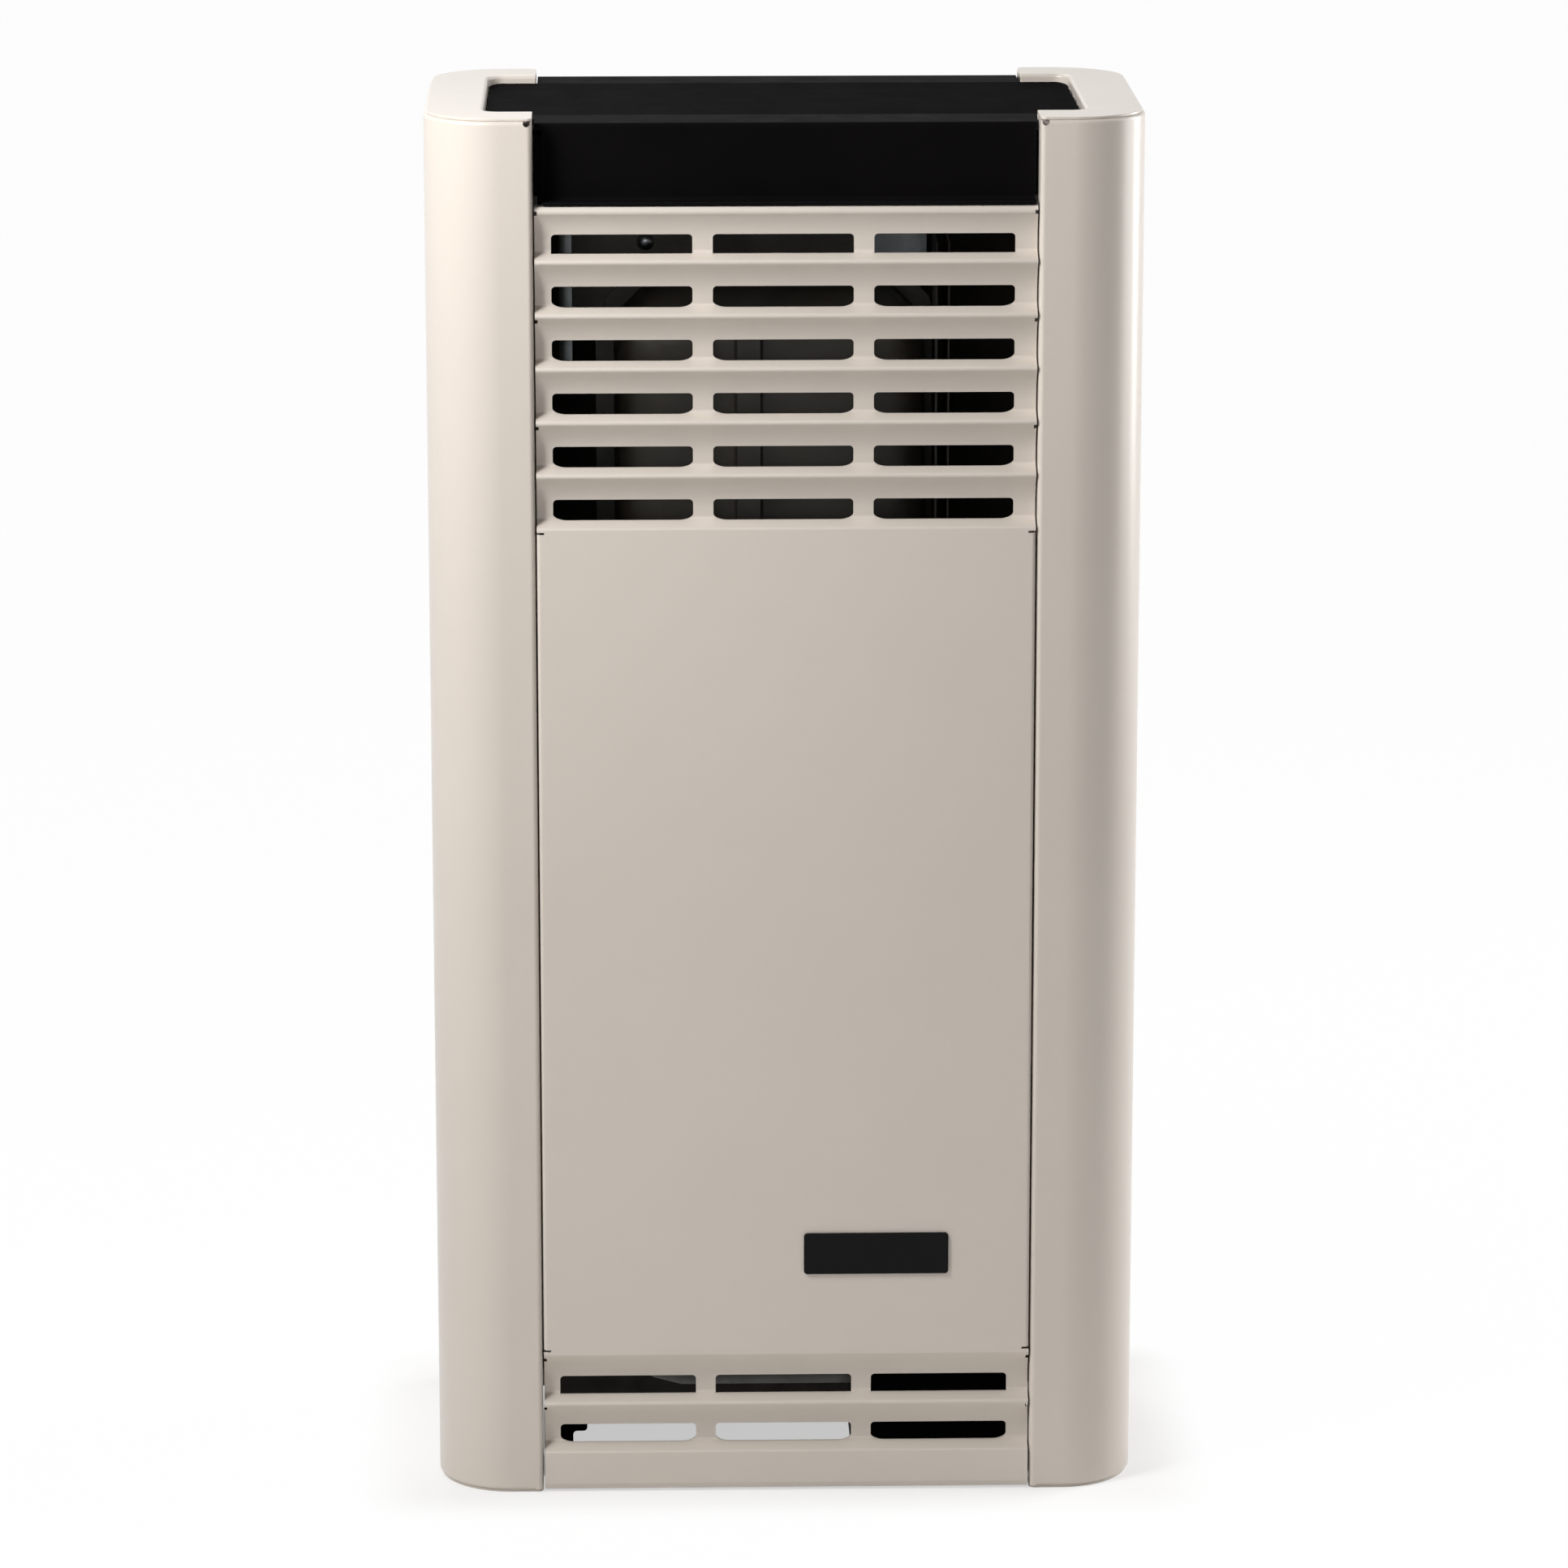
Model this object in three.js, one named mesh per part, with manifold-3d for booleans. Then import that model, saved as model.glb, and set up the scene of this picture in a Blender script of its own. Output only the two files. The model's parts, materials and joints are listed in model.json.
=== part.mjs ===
// Balanced-flue gas room heater: a tall narrow steel casing of two round-cornered side columns,
// a louvred front panel between them, a black louvred top, and behind it a pressed-steel
// combustion chamber with its burner, pilot, gas valve, igniter and concentric flue.
// Millimetres, +Z up, front facing -Y, +X to the right of someone facing the heater.
// The origin is the middle of the underside.

import * as THREE from 'three';
import { mergeVertices } from 'three/addons/utils/BufferGeometryUtils.js';
import Module from 'manifold-3d';

const wasm = await Module();
wasm.setup();

// Casing
const casingWidth = 313;
const casingDepth = 175;
const casingHeight = 620;
const columnWidth = 47.25;
const columnSheet = 1.2;
const columnCornerRadius = 33;
const columnFlangeDepth = 15;
const columnFlangeBend = 2.2;
const columnRimBend = 1.8;
const columnLip = 8;
const rimReliefRadius = 1.3;

// C-shaped end caps of the columns
const capSheet = 1.2;
const capBand = 26;
const capEdgeInset = 1.3;
const capBend = 1.6;
const capFlangeDrop = 9;

// Black top grille
const grilleSheet = 1.2;
const grilleDrop = 3.5;
const grilleBandRecess = 12;
const grilleBandLeftGap = 4.3;
const grilleBandRightGap = 1.4;
const grilleLedgeReach = 8.5;
const grilleBend = 1.6;
const grilleClearance = 0.7;
const grilleLipDepth = 28;
const grilleRearRun = 27;
const grilleStepDrop = 3.5;
const grilleStepRun = 5;
const grilleStepCount = 4;
const grilleRearDrop = 16;

// Louvred front panel
const panelSheet = 1;
const panelHeadroom = 38.5;
const panelBottom = 0.6;
const panelSideGap = 0.7;
const panelTopFlange = 10.5;
const panelTopBend = 2.2;
const panelBottomBend = 4;
const panelBottomFlange = 12;
const panelSideFlange = 10;
const panelSideBend = 1.6;
const louvrePitch = 23.4;
const louvreCount = 6;
const louvreDepth = 7;
const louvreLedgeDrop = 3.4;
const louvreNoseBend = 1.3;
const louvreFaceBend = 18;
const louvreValleyBend = 1.6;
const lowerLouvreTop = 64.4;
const lowerLouvrePitch = 22.7;
const lowerLouvreCount = 2;
const slotMargin = 9.55;
const slotBridge = 8.8;
const slotHeight = 8.4;
const slotCorner = 2;
const slotColumns = 3;
const reliefNotchWidth = 1.2;
const reliefNotchHeight = 1.8;
const sideTabDepth = 13;

// Badge plate, left bare
const badgeWidth = 64.5;
const badgeHeight = 19;
const badgeThickness = 1.2;
const badgeCorner = 1.6;
const badgeRightInset = 36.3;
const badgeCentreZ = 111.5;

// Back panel
const backSheet = 1.2;
const backSideLap = 15;
const backBottom = 3;
const backHeadroom = 8;
const backFlange = 12;
const backBeadWidth = 9;
const backBeadDepth = 2;
const backBeadInset = 27.5;
const backBeadBottom = 90;
const backBeadDrop = 80;
const wallHoleRadius = 4.5;
const wallHoleInset = 16.5;
const wallHoleDrop = 60;

// Cross rails, base brackets and sheet-metal carriers
const frameSheet = 1.2;
const frameBend = 2;
const seatGap = 0.3;
const upperRailFront = 14.5;
const upperRailDepth = 19.5;
const upperRailHeight = 27.5;
const lowerRailHeight = 22;
const lowerRailDepth = 12;
const baseBracketDepth = 56;
const baseBracketWidth = 19;
const baseBracketNeck = 9.5;
const baseBracketStep = 24;
const baseBracketHeight = 30;
const floorGap = 3;

// Combustion chamber
const chamberSheet = 2;
const chamberLeftGap = 34.5;
const chamberBottom = 34;
const chamberHeadroom = 80;
const chamberFront = 32;
const chamberRearSpace = 43;
const chamberCorner = 28;
const chamberShoulder = 20;
const seamFlange = 8;
const seamSheet = 1.2;
const ribWidth = 12.5;
const ribDepth = 5;
const ribShift = 9.4;
const ribBottom = 160;
const ribHeadroom = 20;

// Burner door with its gasket and sight glass
const doorInset = 18.5;
const doorHeight = 94;
const doorSheet = 2;
const doorCorner = 8;
const doorCentreZ = 105;
const doorGasket = 2;
const doorLap = 10;
const sightRadius = 13;
const sightGlassRadius = 16;
const sightGlassThickness = 3;
const sightRingRadius = 21;
const sightRingThickness = 4.2;
const sheetScrewRadius = 4;
const sheetScrewHead = 2.6;
const sheetScrewShank = 1.9;
const sheetScrewLength = 10;
const doorScrewInset = 6;

// Burner, its saddles and injector
const burnerRadius = 13;
const burnerSheet = 1.2;
const burnerEndInset = 21.5;
const burnerThroatRadius = 8.5;
const burnerBellRadius = 12;
const burnerThroatLength = 20;
const burnerRise = 58;
const burnerEndGap = 8;
const burnerPortPitch = 10.5;
const burnerPortWidth = 1.5;
const burnerPortLength = 9;
const saddleWidth = 24;
const saddleSheet = 1.5;
const saddleFoot = 10;
const injectorBore = 1.2;
const injectorRadius = 4;
const injectorLength = 13;
const holderRadius = 8;
const holderLength = 11;
const holderFlange = 12;
const holderFlangeSheet = 2.5;
const holderToSeam = 6;

// Pilot group
const pilotToBurner = 24;
const pilotPlateRise = 52;
const pilotPlateWidth = 35;
const pilotPlateDepth = 21.5;
const pilotSpacing = 10;
const pilotOffset = 14;
const pilotBodyRadius = 3;
const pilotCollarRadius = 4.2;
const pilotHoleRadius = 3.3;
const pilotHeadHeight = 14;
const pilotWindowShare = 0.7;
const thermocoupleRadius = 2;
const thermocoupleHeight = 24;
const electrodePinRadius = 0.9;
const electrodePinHeight = 12;
const electrodeCeramicHeight = 12;
const pilotTubeRadius = 2;
const thermocoupleLeadRadius = 1.5;
const ignitionLeadRadius = 2;
const wallHoleClearance = 0.5;

// Gas valve, its plug and spindle
const controlZ = 84;
const valveWidth = 34;
const valveToTray = 12.3;
const valveToBurner = 12.5;
const valveToChamber = 22.5;
const valveDepth = 48;
const valveHeight = 54;
const valveChamfer = 7;
const valveDrop = 28;
const bossLength = 3;
const bossRadius = 6;
const smallBossRadius = 4.5;
const plugRadius = 8;
const plugLength = 21;
const plugClearance = 0.35;
const plugSlotWidth = 6;
const plugSlotHeight = 3.2;
const plugPortRadius = 2.5;
const bonnetLength = 7;
const bonnetAcrossFlats = 24;
const bonnetBore = 3.6;
const spindleRadius = 3;
const spindleFlat = 2.2;
const tangWidth = 5;
const tangThickness = 2.4;
const tangLength = 12;
const mainGasTubeRadius = 4;
const tubeWall = 1;
const inletRadius = 5.5;
const inletBend = 8.2;
const inletRise = 18;
const inletRailGap = 2;
const inletEndZ = 12;
const inletNutRadius = 9;
const inletNutLength = 11;

// Recessed control tray in the right column
const trayInset = 53.5;
const trayHeight = 88;
const trayCentreZ = 67;
const trayCorner = 8;
const trayDepth = 24.5;
const trayWall = 1.5;
const trayFlange = 5;

// Knob
const knobRadius = 17;
const knobThickness = 16.3;
const knobFluteCount = 10;
const knobFluteDepth = 0.9;
const knobHubRadius = 6.3;
const knobHubLength = 2.6;
const knobPointerWidth = 5;
const knobPointerRise = 3.5;
const knobFace = 3.5;
const knobTravel = 4;
const knobSpringRadius = 5.1;
const knobSpringWire = 0.4;
const knobSpringTurns = 3;

// Piezo igniter
const igniterZ = 42;
const igniterRadius = 6.5;
const igniterLength = 40;
const igniterFlange = 9;
const igniterFlangeSheet = 1.6;
const igniterBore = 5.2;
const igniterStemRadius = 4.8;
const igniterStemLength = 20;
const igniterHeadRadius = 7;
const igniterHeadLength = 5.5;
const igniterTravel = 6;
const igniterSpringRadius = 4;
const igniterSpringWire = 0.5;
const igniterSpringTurns = 3;

// Valve bracket, thermostat phial, chamber hangers and heat shields
const bracketLap = 20;
const bracketWidth = 74;
const bracketFront = 28;
const bracketTop = 56;
const bracketRearLap = 2.5;
const bracketToSeam = 4.8;
const bracketRise = 5;
const phialRadius = 4;
const phialLength = 70;
const phialInset = 49;
const capillaryRadius = 1.2;
const capillaryBend = 7.2;
const phialZ = 8;
const shieldWidth = 6;
const shieldGap = 4.5;
const shieldSheet = 0.7;
const shieldRise = 20;
const shieldFront = 40;
const shieldBottom = 150;
const stripInset = 12;
const stripWidth = 4.5;
const stripLength = 85;
const stripFront = 30;
const stripDepth = 34;
const hangerInset = 24;
const hangerWidth = 26;
const hangerClearance = 5;
const deflectorSideInset = 16;
const deflectorLap = 35;
const deflectorRise = 45;
const deflectorHeadroom = 18;
const deflectorFront = 42;
const deflectorScrewInset = 33;
const deflectorScrewRise = 42;

// Concentric flue
const exhaustShare = 0.638;
const exhaustSheet = 1.2;
const exhaustFlange = 8;
const collarSheet = 1.4;
const collarFlange = 6;
const collarLength = 22;
const ductSideInset = 6.5;
const ductCollarGap = 2;
const ductBottom = 52;
const ductTopGap = 6.125;
const ductHeadroom = 9;
const ductCorner = 20;
const ductSheet = 1.2;
const intakeHeight = 50;
const intakeWidth = 80;

// Facets and welding of coincident points
const weldTolerance = 1e-4;
const cornerSegments = 6;
const bendSegments = 2;
const faceSegments = 3;
const wideBendRadius = 9;
const flueSides = 22;
const fineSides = 20;
const roundSides = 12;
const smallSides = 10;
const holeSides = 8;
const pipeSides = 8;
const leadSides = 5;
const leadSteps = 11;
const springSides = 5;
const springStepsPerTurn = 8;
const cutOverrun = 5;

// Derived planes
const frontY = -(casingDepth + badgeThickness + backSheet) / 2 + badgeThickness;
const rearY = frontY + casingDepth;
const backY = rearY + backSheet;
const columnInnerX = casingWidth / 2 - columnWidth;
const columnBottom = capSheet;
const columnTop = casingHeight - capSheet;
const grilleTop = casingHeight - grilleDrop;
const grillePitch = (casingDepth - grilleBandRecess - grilleLipDepth - grilleRearRun) / grilleStepCount;
const panelTop = casingHeight - panelHeadroom;
const panelHalfWidth = columnInnerX - panelSideGap;
const slotWidth = (2 * (columnInnerX - slotMargin) - (slotColumns - 1) * slotBridge) / slotColumns;
const slotPitch = slotWidth + slotBridge;
const trayFloorX = casingWidth / 2 - columnSheet - trayDepth;
const trayWidth = casingDepth - 2 * trayInset;
const valveRight = trayFloorX - valveToTray;
const valveLeft = valveRight - valveWidth;
const chamberLeft = chamberLeftGap - columnInnerX;
const chamberRight = valveLeft - valveToChamber;
const chamberWidth = chamberRight - chamberLeft;
const chamberCentreX = (chamberLeft + chamberRight) / 2;
const chamberTop = casingHeight - chamberHeadroom;
const chamberDepth = casingDepth - chamberFront - chamberRearSpace;
const chamberRear = chamberFront + chamberDepth;
const chamberBend = Math.min(chamberCorner, chamberWidth / 2 - burnerEndInset);
const chamberFloorRun = saddleWidth / 2 + pilotToBurner + pilotSpacing;
const shoulderBend = Math.min(chamberShoulder, (chamberDepth - chamberFloorRun) / 2);
const burnerSetback = chamberRear - shoulderBend - saddleWidth / 2;
const pilotPlaneSetback = burnerSetback - pilotToBurner;
const seamSetback = burnerSetback - holderFlange - holderToSeam;
const controlSetback = burnerSetback - valveToBurner;
const doorWidth = chamberWidth - 2 * doorInset;
const burnerLength = chamberWidth - 2 * burnerEndInset;
const burnerPorts = Math.floor((burnerLength - burnerEndGap) / burnerPortPitch);
const burnerZ = chamberBottom + burnerRise;
const pilotPlateZ = chamberBottom + pilotPlateRise;
const ductWidth = chamberWidth - 2 * ductSideInset;
const ductTop = chamberTop - deflectorLap - ductHeadroom;
const collarRadius = ductWidth / 2 - collarFlange - ductCollarGap;
const flueZ = ductTop - ductTopGap - collarFlange - collarRadius;
const exhaustRadius = exhaustShare * collarRadius;
const backTop = casingHeight - backHeadroom;
const bracketRight = valveLeft + bracketLap;
const bracketLeft = bracketRight - bracketWidth;
const upperRailBottom = grilleTop - grilleStepDrop - grilleSheet - upperRailHeight;

// Converts a depth behind the casing's front plane to Y.
const at = (depth) => frontY + depth;

// Materials
const painted = (color, roughness) => new THREE.MeshStandardMaterial({ color, roughness, metalness: 0.1 });
const metal = (color, roughness) => new THREE.MeshStandardMaterial({ color, roughness, metalness: 0.9 });
const plastic = (color, roughness) => new THREE.MeshStandardMaterial({ color, roughness, metalness: 0 });
const beigePaint = painted(0xc6bcb0, 0.42);
const capPaint = painted(0xd6cec4, 0.4);
const blackPaint = painted(0x141314, 0.45);
const chamberPaint = painted(0x2a2a28, 0.6);
const badgeGloss = plastic(0x060606, 0.15);
const zincSheet = metal(0xa9acab, 0.45);
const stainless = metal(0x8f8c86, 0.35);
const brass = metal(0xb08d4a, 0.35);
const copper = metal(0xa5673f, 0.4);
const castAluminium = metal(0x9c9d9c, 0.5);
const screwSteel = metal(0xb4b5b4, 0.35);
const springSteel = metal(0x8d8f90, 0.3);
const knobPlastic = plastic(0x1a1a1a, 0.4);
const buttonPlastic = plastic(0xb6261c, 0.35);
const trayPlastic = plastic(0x202020, 0.55);
const ceramic = plastic(0xe8e4da, 0.3);
const gasketFibre = plastic(0xcfcabb, 0.95);
const clearGlass = new THREE.MeshStandardMaterial({
  color: 0xb9c4c0, roughness: 0.05, metalness: 0, transparent: true, opacity: 0.35,
});
const leadSilicone = plastic(0x9e2b22, 0.6);

// Turns any closed geometry into a solid, dropping the slivers that a revolve leaves on its axis.
function solidOf(geometry) {
  const bare = new THREE.BufferGeometry();
  bare.setAttribute('position', geometry.getAttribute('position').clone());
  if (geometry.index) {
    bare.setIndex(geometry.index.clone());
  }
  const merged = mergeVertices(bare, weldTolerance);
  const spots = merged.getAttribute('position').array;
  const corners = [];
  for (let i = 0; i < merged.index.count; i += 3) {
    const [a, b, c] = [merged.index.getX(i), merged.index.getX(i + 1), merged.index.getX(i + 2)];
    if (a !== b && b !== c && c !== a) {
      corners.push(a, b, c);
    }
  }
  const volume = signedVolume(spots, corners);
  if (volume < 0) {
    for (let i = 0; i < corners.length; i += 3) {
      [corners[i], corners[i + 1]] = [corners[i + 1], corners[i]];
    }
  }
  const mesh = new wasm.Mesh({
    numProp: 3,
    vertProperties: new Float32Array(spots),
    triVerts: new Uint32Array(corners),
  });
  return new wasm.Manifold(mesh);
}

function signedVolume(spots, corners) {
  const [a, b, c] = [new THREE.Vector3(), new THREE.Vector3(), new THREE.Vector3()];
  let total = 0;
  for (let i = 0; i < corners.length; i += 3) {
    a.fromArray(spots, corners[i] * 3);
    b.fromArray(spots, corners[i + 1] * 3);
    c.fromArray(spots, corners[i + 2] * 3);
    total += a.dot(b.cross(c));
  }
  return total / 6;
}

function geometryOf(solid) {
  const mesh = solid.getMesh();
  const geometry = new THREE.BufferGeometry();
  geometry.setAttribute('position', new THREE.BufferAttribute(new Float32Array(mesh.vertProperties), 3));
  geometry.setIndex(new THREE.BufferAttribute(new Uint32Array(mesh.triVerts), 1));
  return geometry;
}

function joined(...geometries) {
  return geometryOf(geometries.map(solidOf).reduce((sum, solid) => sum.add(solid)));
}

function cut(base, ...tools) {
  return geometryOf(tools.map(solidOf).reduce((rest, tool) => rest.subtract(tool), solidOf(base)));
}

function common(first, second) {
  return geometryOf(solidOf(first).intersect(solidOf(second)));
}

function mirroredX(geometry) {
  const flipped = geometry.clone();
  flipped.scale(-1, 1, 1);
  return flipped;
}

function mirroredZ(geometry) {
  const flipped = geometry.clone();
  flipped.scale(1, 1, -1);
  return flipped.translate(0, 0, casingHeight);
}

// Walks a path of corners [a, b, bendRadius] and samples it with its left-hand normals.
function bentPath(corners, segments = bendSegments) {
  const samples = [];
  const count = corners.length;
  const heading = (from, to) => {
    const length = Math.hypot(to[0] - from[0], to[1] - from[1]);
    return [(to[0] - from[0]) / length, (to[1] - from[1]) / length];
  };
  for (let i = 0; i < count; i += 1) {
    const [a, b, radius = 0] = corners[i];
    const into = i > 0 ? heading(corners[i - 1], corners[i]) : null;
    const out = i < count - 1 ? heading(corners[i], corners[i + 1]) : null;
    if (!into || !out) {
      const [dx, dy] = into ?? out;
      samples.push({ a, b, na: -dy, nb: dx });
      continue;
    }
    const turn = Math.atan2(into[0] * out[1] - into[1] * out[0], into[0] * out[0] + into[1] * out[1]);
    if (radius === 0) {
      const share = 1 + into[0] * out[0] + into[1] * out[1];
      samples.push({ a, b, na: -(into[1] + out[1]) / share, nb: (into[0] + out[0]) / share });
      continue;
    }
    const side = Math.sign(turn);
    const run = radius * Math.tan(Math.abs(turn) / 2);
    const centreA = a - into[0] * run - into[1] * radius * side;
    const centreB = b - into[1] * run + into[0] * radius * side;
    const steps = radius > wideBendRadius ? Math.max(faceSegments, segments) : segments;
    for (let k = 0; k <= steps; k += 1) {
      const angle = (turn * k) / steps;
      const na = -into[1] * Math.cos(angle) - into[0] * Math.sin(angle);
      const nb = into[0] * Math.cos(angle) - into[1] * Math.sin(angle);
      samples.push({ a: centreA - na * radius * side, b: centreB - nb * radius * side, na, nb });
    }
  }
  return samples;
}

// Closed outline of a bent sheet: its reference face and the face one thickness to the left of it.
function sheetOutline(corners, thickness, segments = bendSegments) {
  const samples = bentPath(corners, segments);
  const face = samples.map(({ a, b }) => [a, b]);
  const back = samples.map(({ a, b, na, nb }) => [a + na * thickness, b + nb * thickness]);
  return face.concat(back.reverse());
}

function roundedOutline(centreA, centreB, width, height, radius, segments = bendSegments) {
  const outline = [];
  for (let corner = 0; corner < 4; corner += 1) {
    const signA = corner === 0 || corner === 3 ? 1 : -1;
    const signB = corner < 2 ? 1 : -1;
    for (let k = 0; k <= segments; k += 1) {
      const angle = (corner + k / segments) * (Math.PI / 2);
      outline.push([
        centreA + signA * (width / 2 - radius) + Math.cos(angle) * radius,
        centreB + signB * (height / 2 - radius) + Math.sin(angle) * radius,
      ]);
    }
  }
  return outline;
}

function roundOutline(centreA, centreB, radius, sides = fineSides) {
  const outline = [];
  for (let k = 0; k < sides; k += 1) {
    const angle = ((k + 0.5) / sides) * Math.PI * 2;
    outline.push([centreA + Math.cos(angle) * radius, centreB + Math.sin(angle) * radius]);
  }
  return outline;
}

function extruded(outline, length, holes) {
  const shape = new THREE.Shape(outline.map(([a, b]) => new THREE.Vector2(a, b)));
  shape.holes = holes.map((hole) => new THREE.Path(hole.map(([a, b]) => new THREE.Vector2(a, b))));
  return new THREE.ExtrudeGeometry(shape, { depth: length, bevelEnabled: false });
}

// Extrusions of outlines drawn in (x, y), (y, z) and (x, z).
function alongZ(outline, z0, z1, holes = []) {
  return extruded(outline, z1 - z0, holes).translate(0, 0, z0);
}

function alongX(outline, x0, x1, holes = []) {
  return extruded(outline, x1 - x0, holes).rotateX(Math.PI / 2).rotateZ(Math.PI / 2).translate(x0, 0, 0);
}

function alongY(outline, y0, y1, holes = []) {
  return extruded(outline, y1 - y0, holes).rotateX(Math.PI / 2).translate(0, y1, 0);
}

function block(x0, x1, y0, y1, z0, z1) {
  const box = new THREE.BoxGeometry(x1 - x0, y1 - y0, z1 - z0);
  return box.translate((x0 + x1) / 2, (y0 + y1) / 2, (z0 + z1) / 2);
}

// Revolves a profile of [radius, height] about X, Y or Z and sets its zero height at the given place.
function revolved(profile, axis, x, y, z, sides = fineSides) {
  const points = profile.map(([radius, height]) => new THREE.Vector2(radius, height));
  const geometry = new THREE.LatheGeometry(points, sides);
  if (axis === 'x') {
    geometry.rotateZ(-Math.PI / 2);
  } else if (axis === 'z') {
    geometry.rotateX(Math.PI / 2);
  }
  return geometry.translate(x, y, z);
}

function ringProfile(inner, outer, from, to) {
  return [[inner, from], [outer, from], [outer, to], [inner, to], [inner, from]];
}

function rodProfile(radius, from, to) {
  return [[0, from], [radius, from], [radius, to], [0, to]];
}

// Joins rings of equal point count into one closed body; the end rings are capped flat.
function bridged(rings, endOutline) {
  const count = endOutline.length;
  const index = [];
  for (let i = 0; i + 1 < rings.length; i += 1) {
    for (let j = 0; j < count; j += 1) {
      const next = (j + 1) % count;
      const [a, b] = [i * count + j, i * count + next];
      index.push(a, b, b + count, a, b + count, a + count);
    }
  }
  const last = (rings.length - 1) * count;
  for (const [a, b, c] of capTriangles(endOutline)) {
    index.push(c, b, a, last + a, last + b, last + c);
  }
  const geometry = new THREE.BufferGeometry();
  geometry.setAttribute('position', new THREE.Float32BufferAttribute(rings.flat(2), 3));
  geometry.setIndex(index);
  return geometry;
}

// Triangles that fill an outline, wound the same way round as the outline itself.
function capTriangles(outline) {
  const spots = outline.map(([a, b]) => new THREE.Vector2(a, b));
  const clockwise = THREE.ShapeUtils.area(spots) < 0;
  return THREE.ShapeUtils.triangulateShape(spots, []).map(([a, b, c]) => {
    const turned = THREE.ShapeUtils.area([spots[a], spots[b], spots[c]]) < 0;
    return turned === clockwise ? [a, b, c] : [c, b, a];
  });
}

// Sweeps a profile of [inset, z] round a plan path.
function sweptRound(path, profile) {
  const ringAt = ({ a, b, na, nb }) => profile.map(([inset, z]) => [a + na * inset, b + nb * inset, z]);
  const rings = path.map(ringAt);
  return bridged(rings, profile);
}

// A tube of the given radius along straight runs with rounded bends.
function tube(points, radius, bend, sides, steps) {
  const spots = points.map(([x, y, z]) => new THREE.Vector3(x, y, z));
  const path = new THREE.CurvePath();
  let from = spots[0];
  for (let i = 1; i < spots.length; i += 1) {
    if (i === spots.length - 1) {
      path.add(new THREE.LineCurve3(from, spots[i]));
      continue;
    }
    const before = spots[i].clone().add(spots[i - 1].clone().sub(spots[i]).setLength(bend));
    const after = spots[i].clone().add(spots[i + 1].clone().sub(spots[i]).setLength(bend));
    path.add(new THREE.LineCurve3(from, before));
    path.add(new THREE.QuadraticBezierCurve3(before, spots[i], after));
    from = after;
  }
  const outline = roundOutline(0, 0, radius, sides).map(([a, b]) => new THREE.Vector2(a, b));
  const section = new THREE.Shape(outline);
  return new THREE.ExtrudeGeometry(section, { steps, bevelEnabled: false, extrudePath: path });
}

// A coil spring about an X axis, as one unbroken wire.
function coilSpring(x0, x1, y, z, radius, wire, turns) {
  const steps = springStepsPerTurn * turns;
  const rings = [];
  for (let i = 0; i <= steps; i += 1) {
    const angle = (i / springStepsPerTurn) * Math.PI * 2;
    const centreX = x0 + wire + ((x1 - x0 - 2 * wire) * i) / steps;
    const [aside, above] = [Math.cos(angle), Math.sin(angle)];
    const ring = [];
    for (let k = 0; k < springSides; k += 1) {
      const round = (k / springSides) * Math.PI * 2;
      const reach = radius + Math.cos(round) * wire;
      ring.push([centreX + Math.sin(round) * wire, y + aside * reach, z + above * reach]);
    }
    rings.push(ring);
  }
  return bridged(rings, roundOutline(0, 0, wire, springSides));
}

// Columns: a C-shaped wall with in-turned lips top and bottom and a return flange at its front
// inner edge; a relief hole ends the lip where the flange begins.
function sideColumn() {
  const edge = columnInnerX + columnFlangeBend;
  const path = bentPath([
    [edge, frontY],
    [casingWidth / 2, frontY, columnCornerRadius],
    [casingWidth / 2, rearY, columnCornerRadius],
    [columnInnerX, rearY],
  ], cornerSegments);
  const wall = sweptRound(path, sheetOutline([
    [columnLip, columnBottom],
    [0, columnBottom, columnRimBend],
    [0, columnTop, columnRimBend],
    [columnLip, columnTop],
  ], -columnSheet));
  const flange = alongZ(sheetOutline([
    [columnInnerX, at(columnFlangeDepth)],
    [columnInnerX, frontY, columnFlangeBend],
    [edge + columnSheet, frontY],
  ], columnSheet), columnBottom + 2 * columnRimBend, columnTop - 2 * columnRimBend);
  const relief = alongY(roundOutline(edge, columnTop - 2 * columnRimBend, rimReliefRadius, holeSides),
    frontY - cutOverrun, frontY + cutOverrun);
  return cut(joined(wall, flange), relief);
}

function rightColumn() {
  const window = alongX(roundedOutline(at(controlSetback), trayCentreZ, trayWidth, trayHeight, trayCorner),
    casingWidth / 2 - cutOverrun, casingWidth / 2 + cutOverrun);
  return cut(sideColumn(), window);
}

// Cap: a C-shaped plate lying on the column's lip, with a down-turned inner flange.
function endCap() {
  const path = bentPath([
    [columnInnerX, frontY],
    [casingWidth / 2, frontY, columnCornerRadius],
    [casingWidth / 2, rearY, columnCornerRadius],
    [columnInnerX, rearY],
  ], cornerSegments);
  const profile = sheetOutline([
    [capEdgeInset, casingHeight],
    [capBand, casingHeight, capBend],
    [capBand, casingHeight - capFlangeDrop],
  ], -capSheet);
  return sweptRound(path, profile);
}

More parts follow.
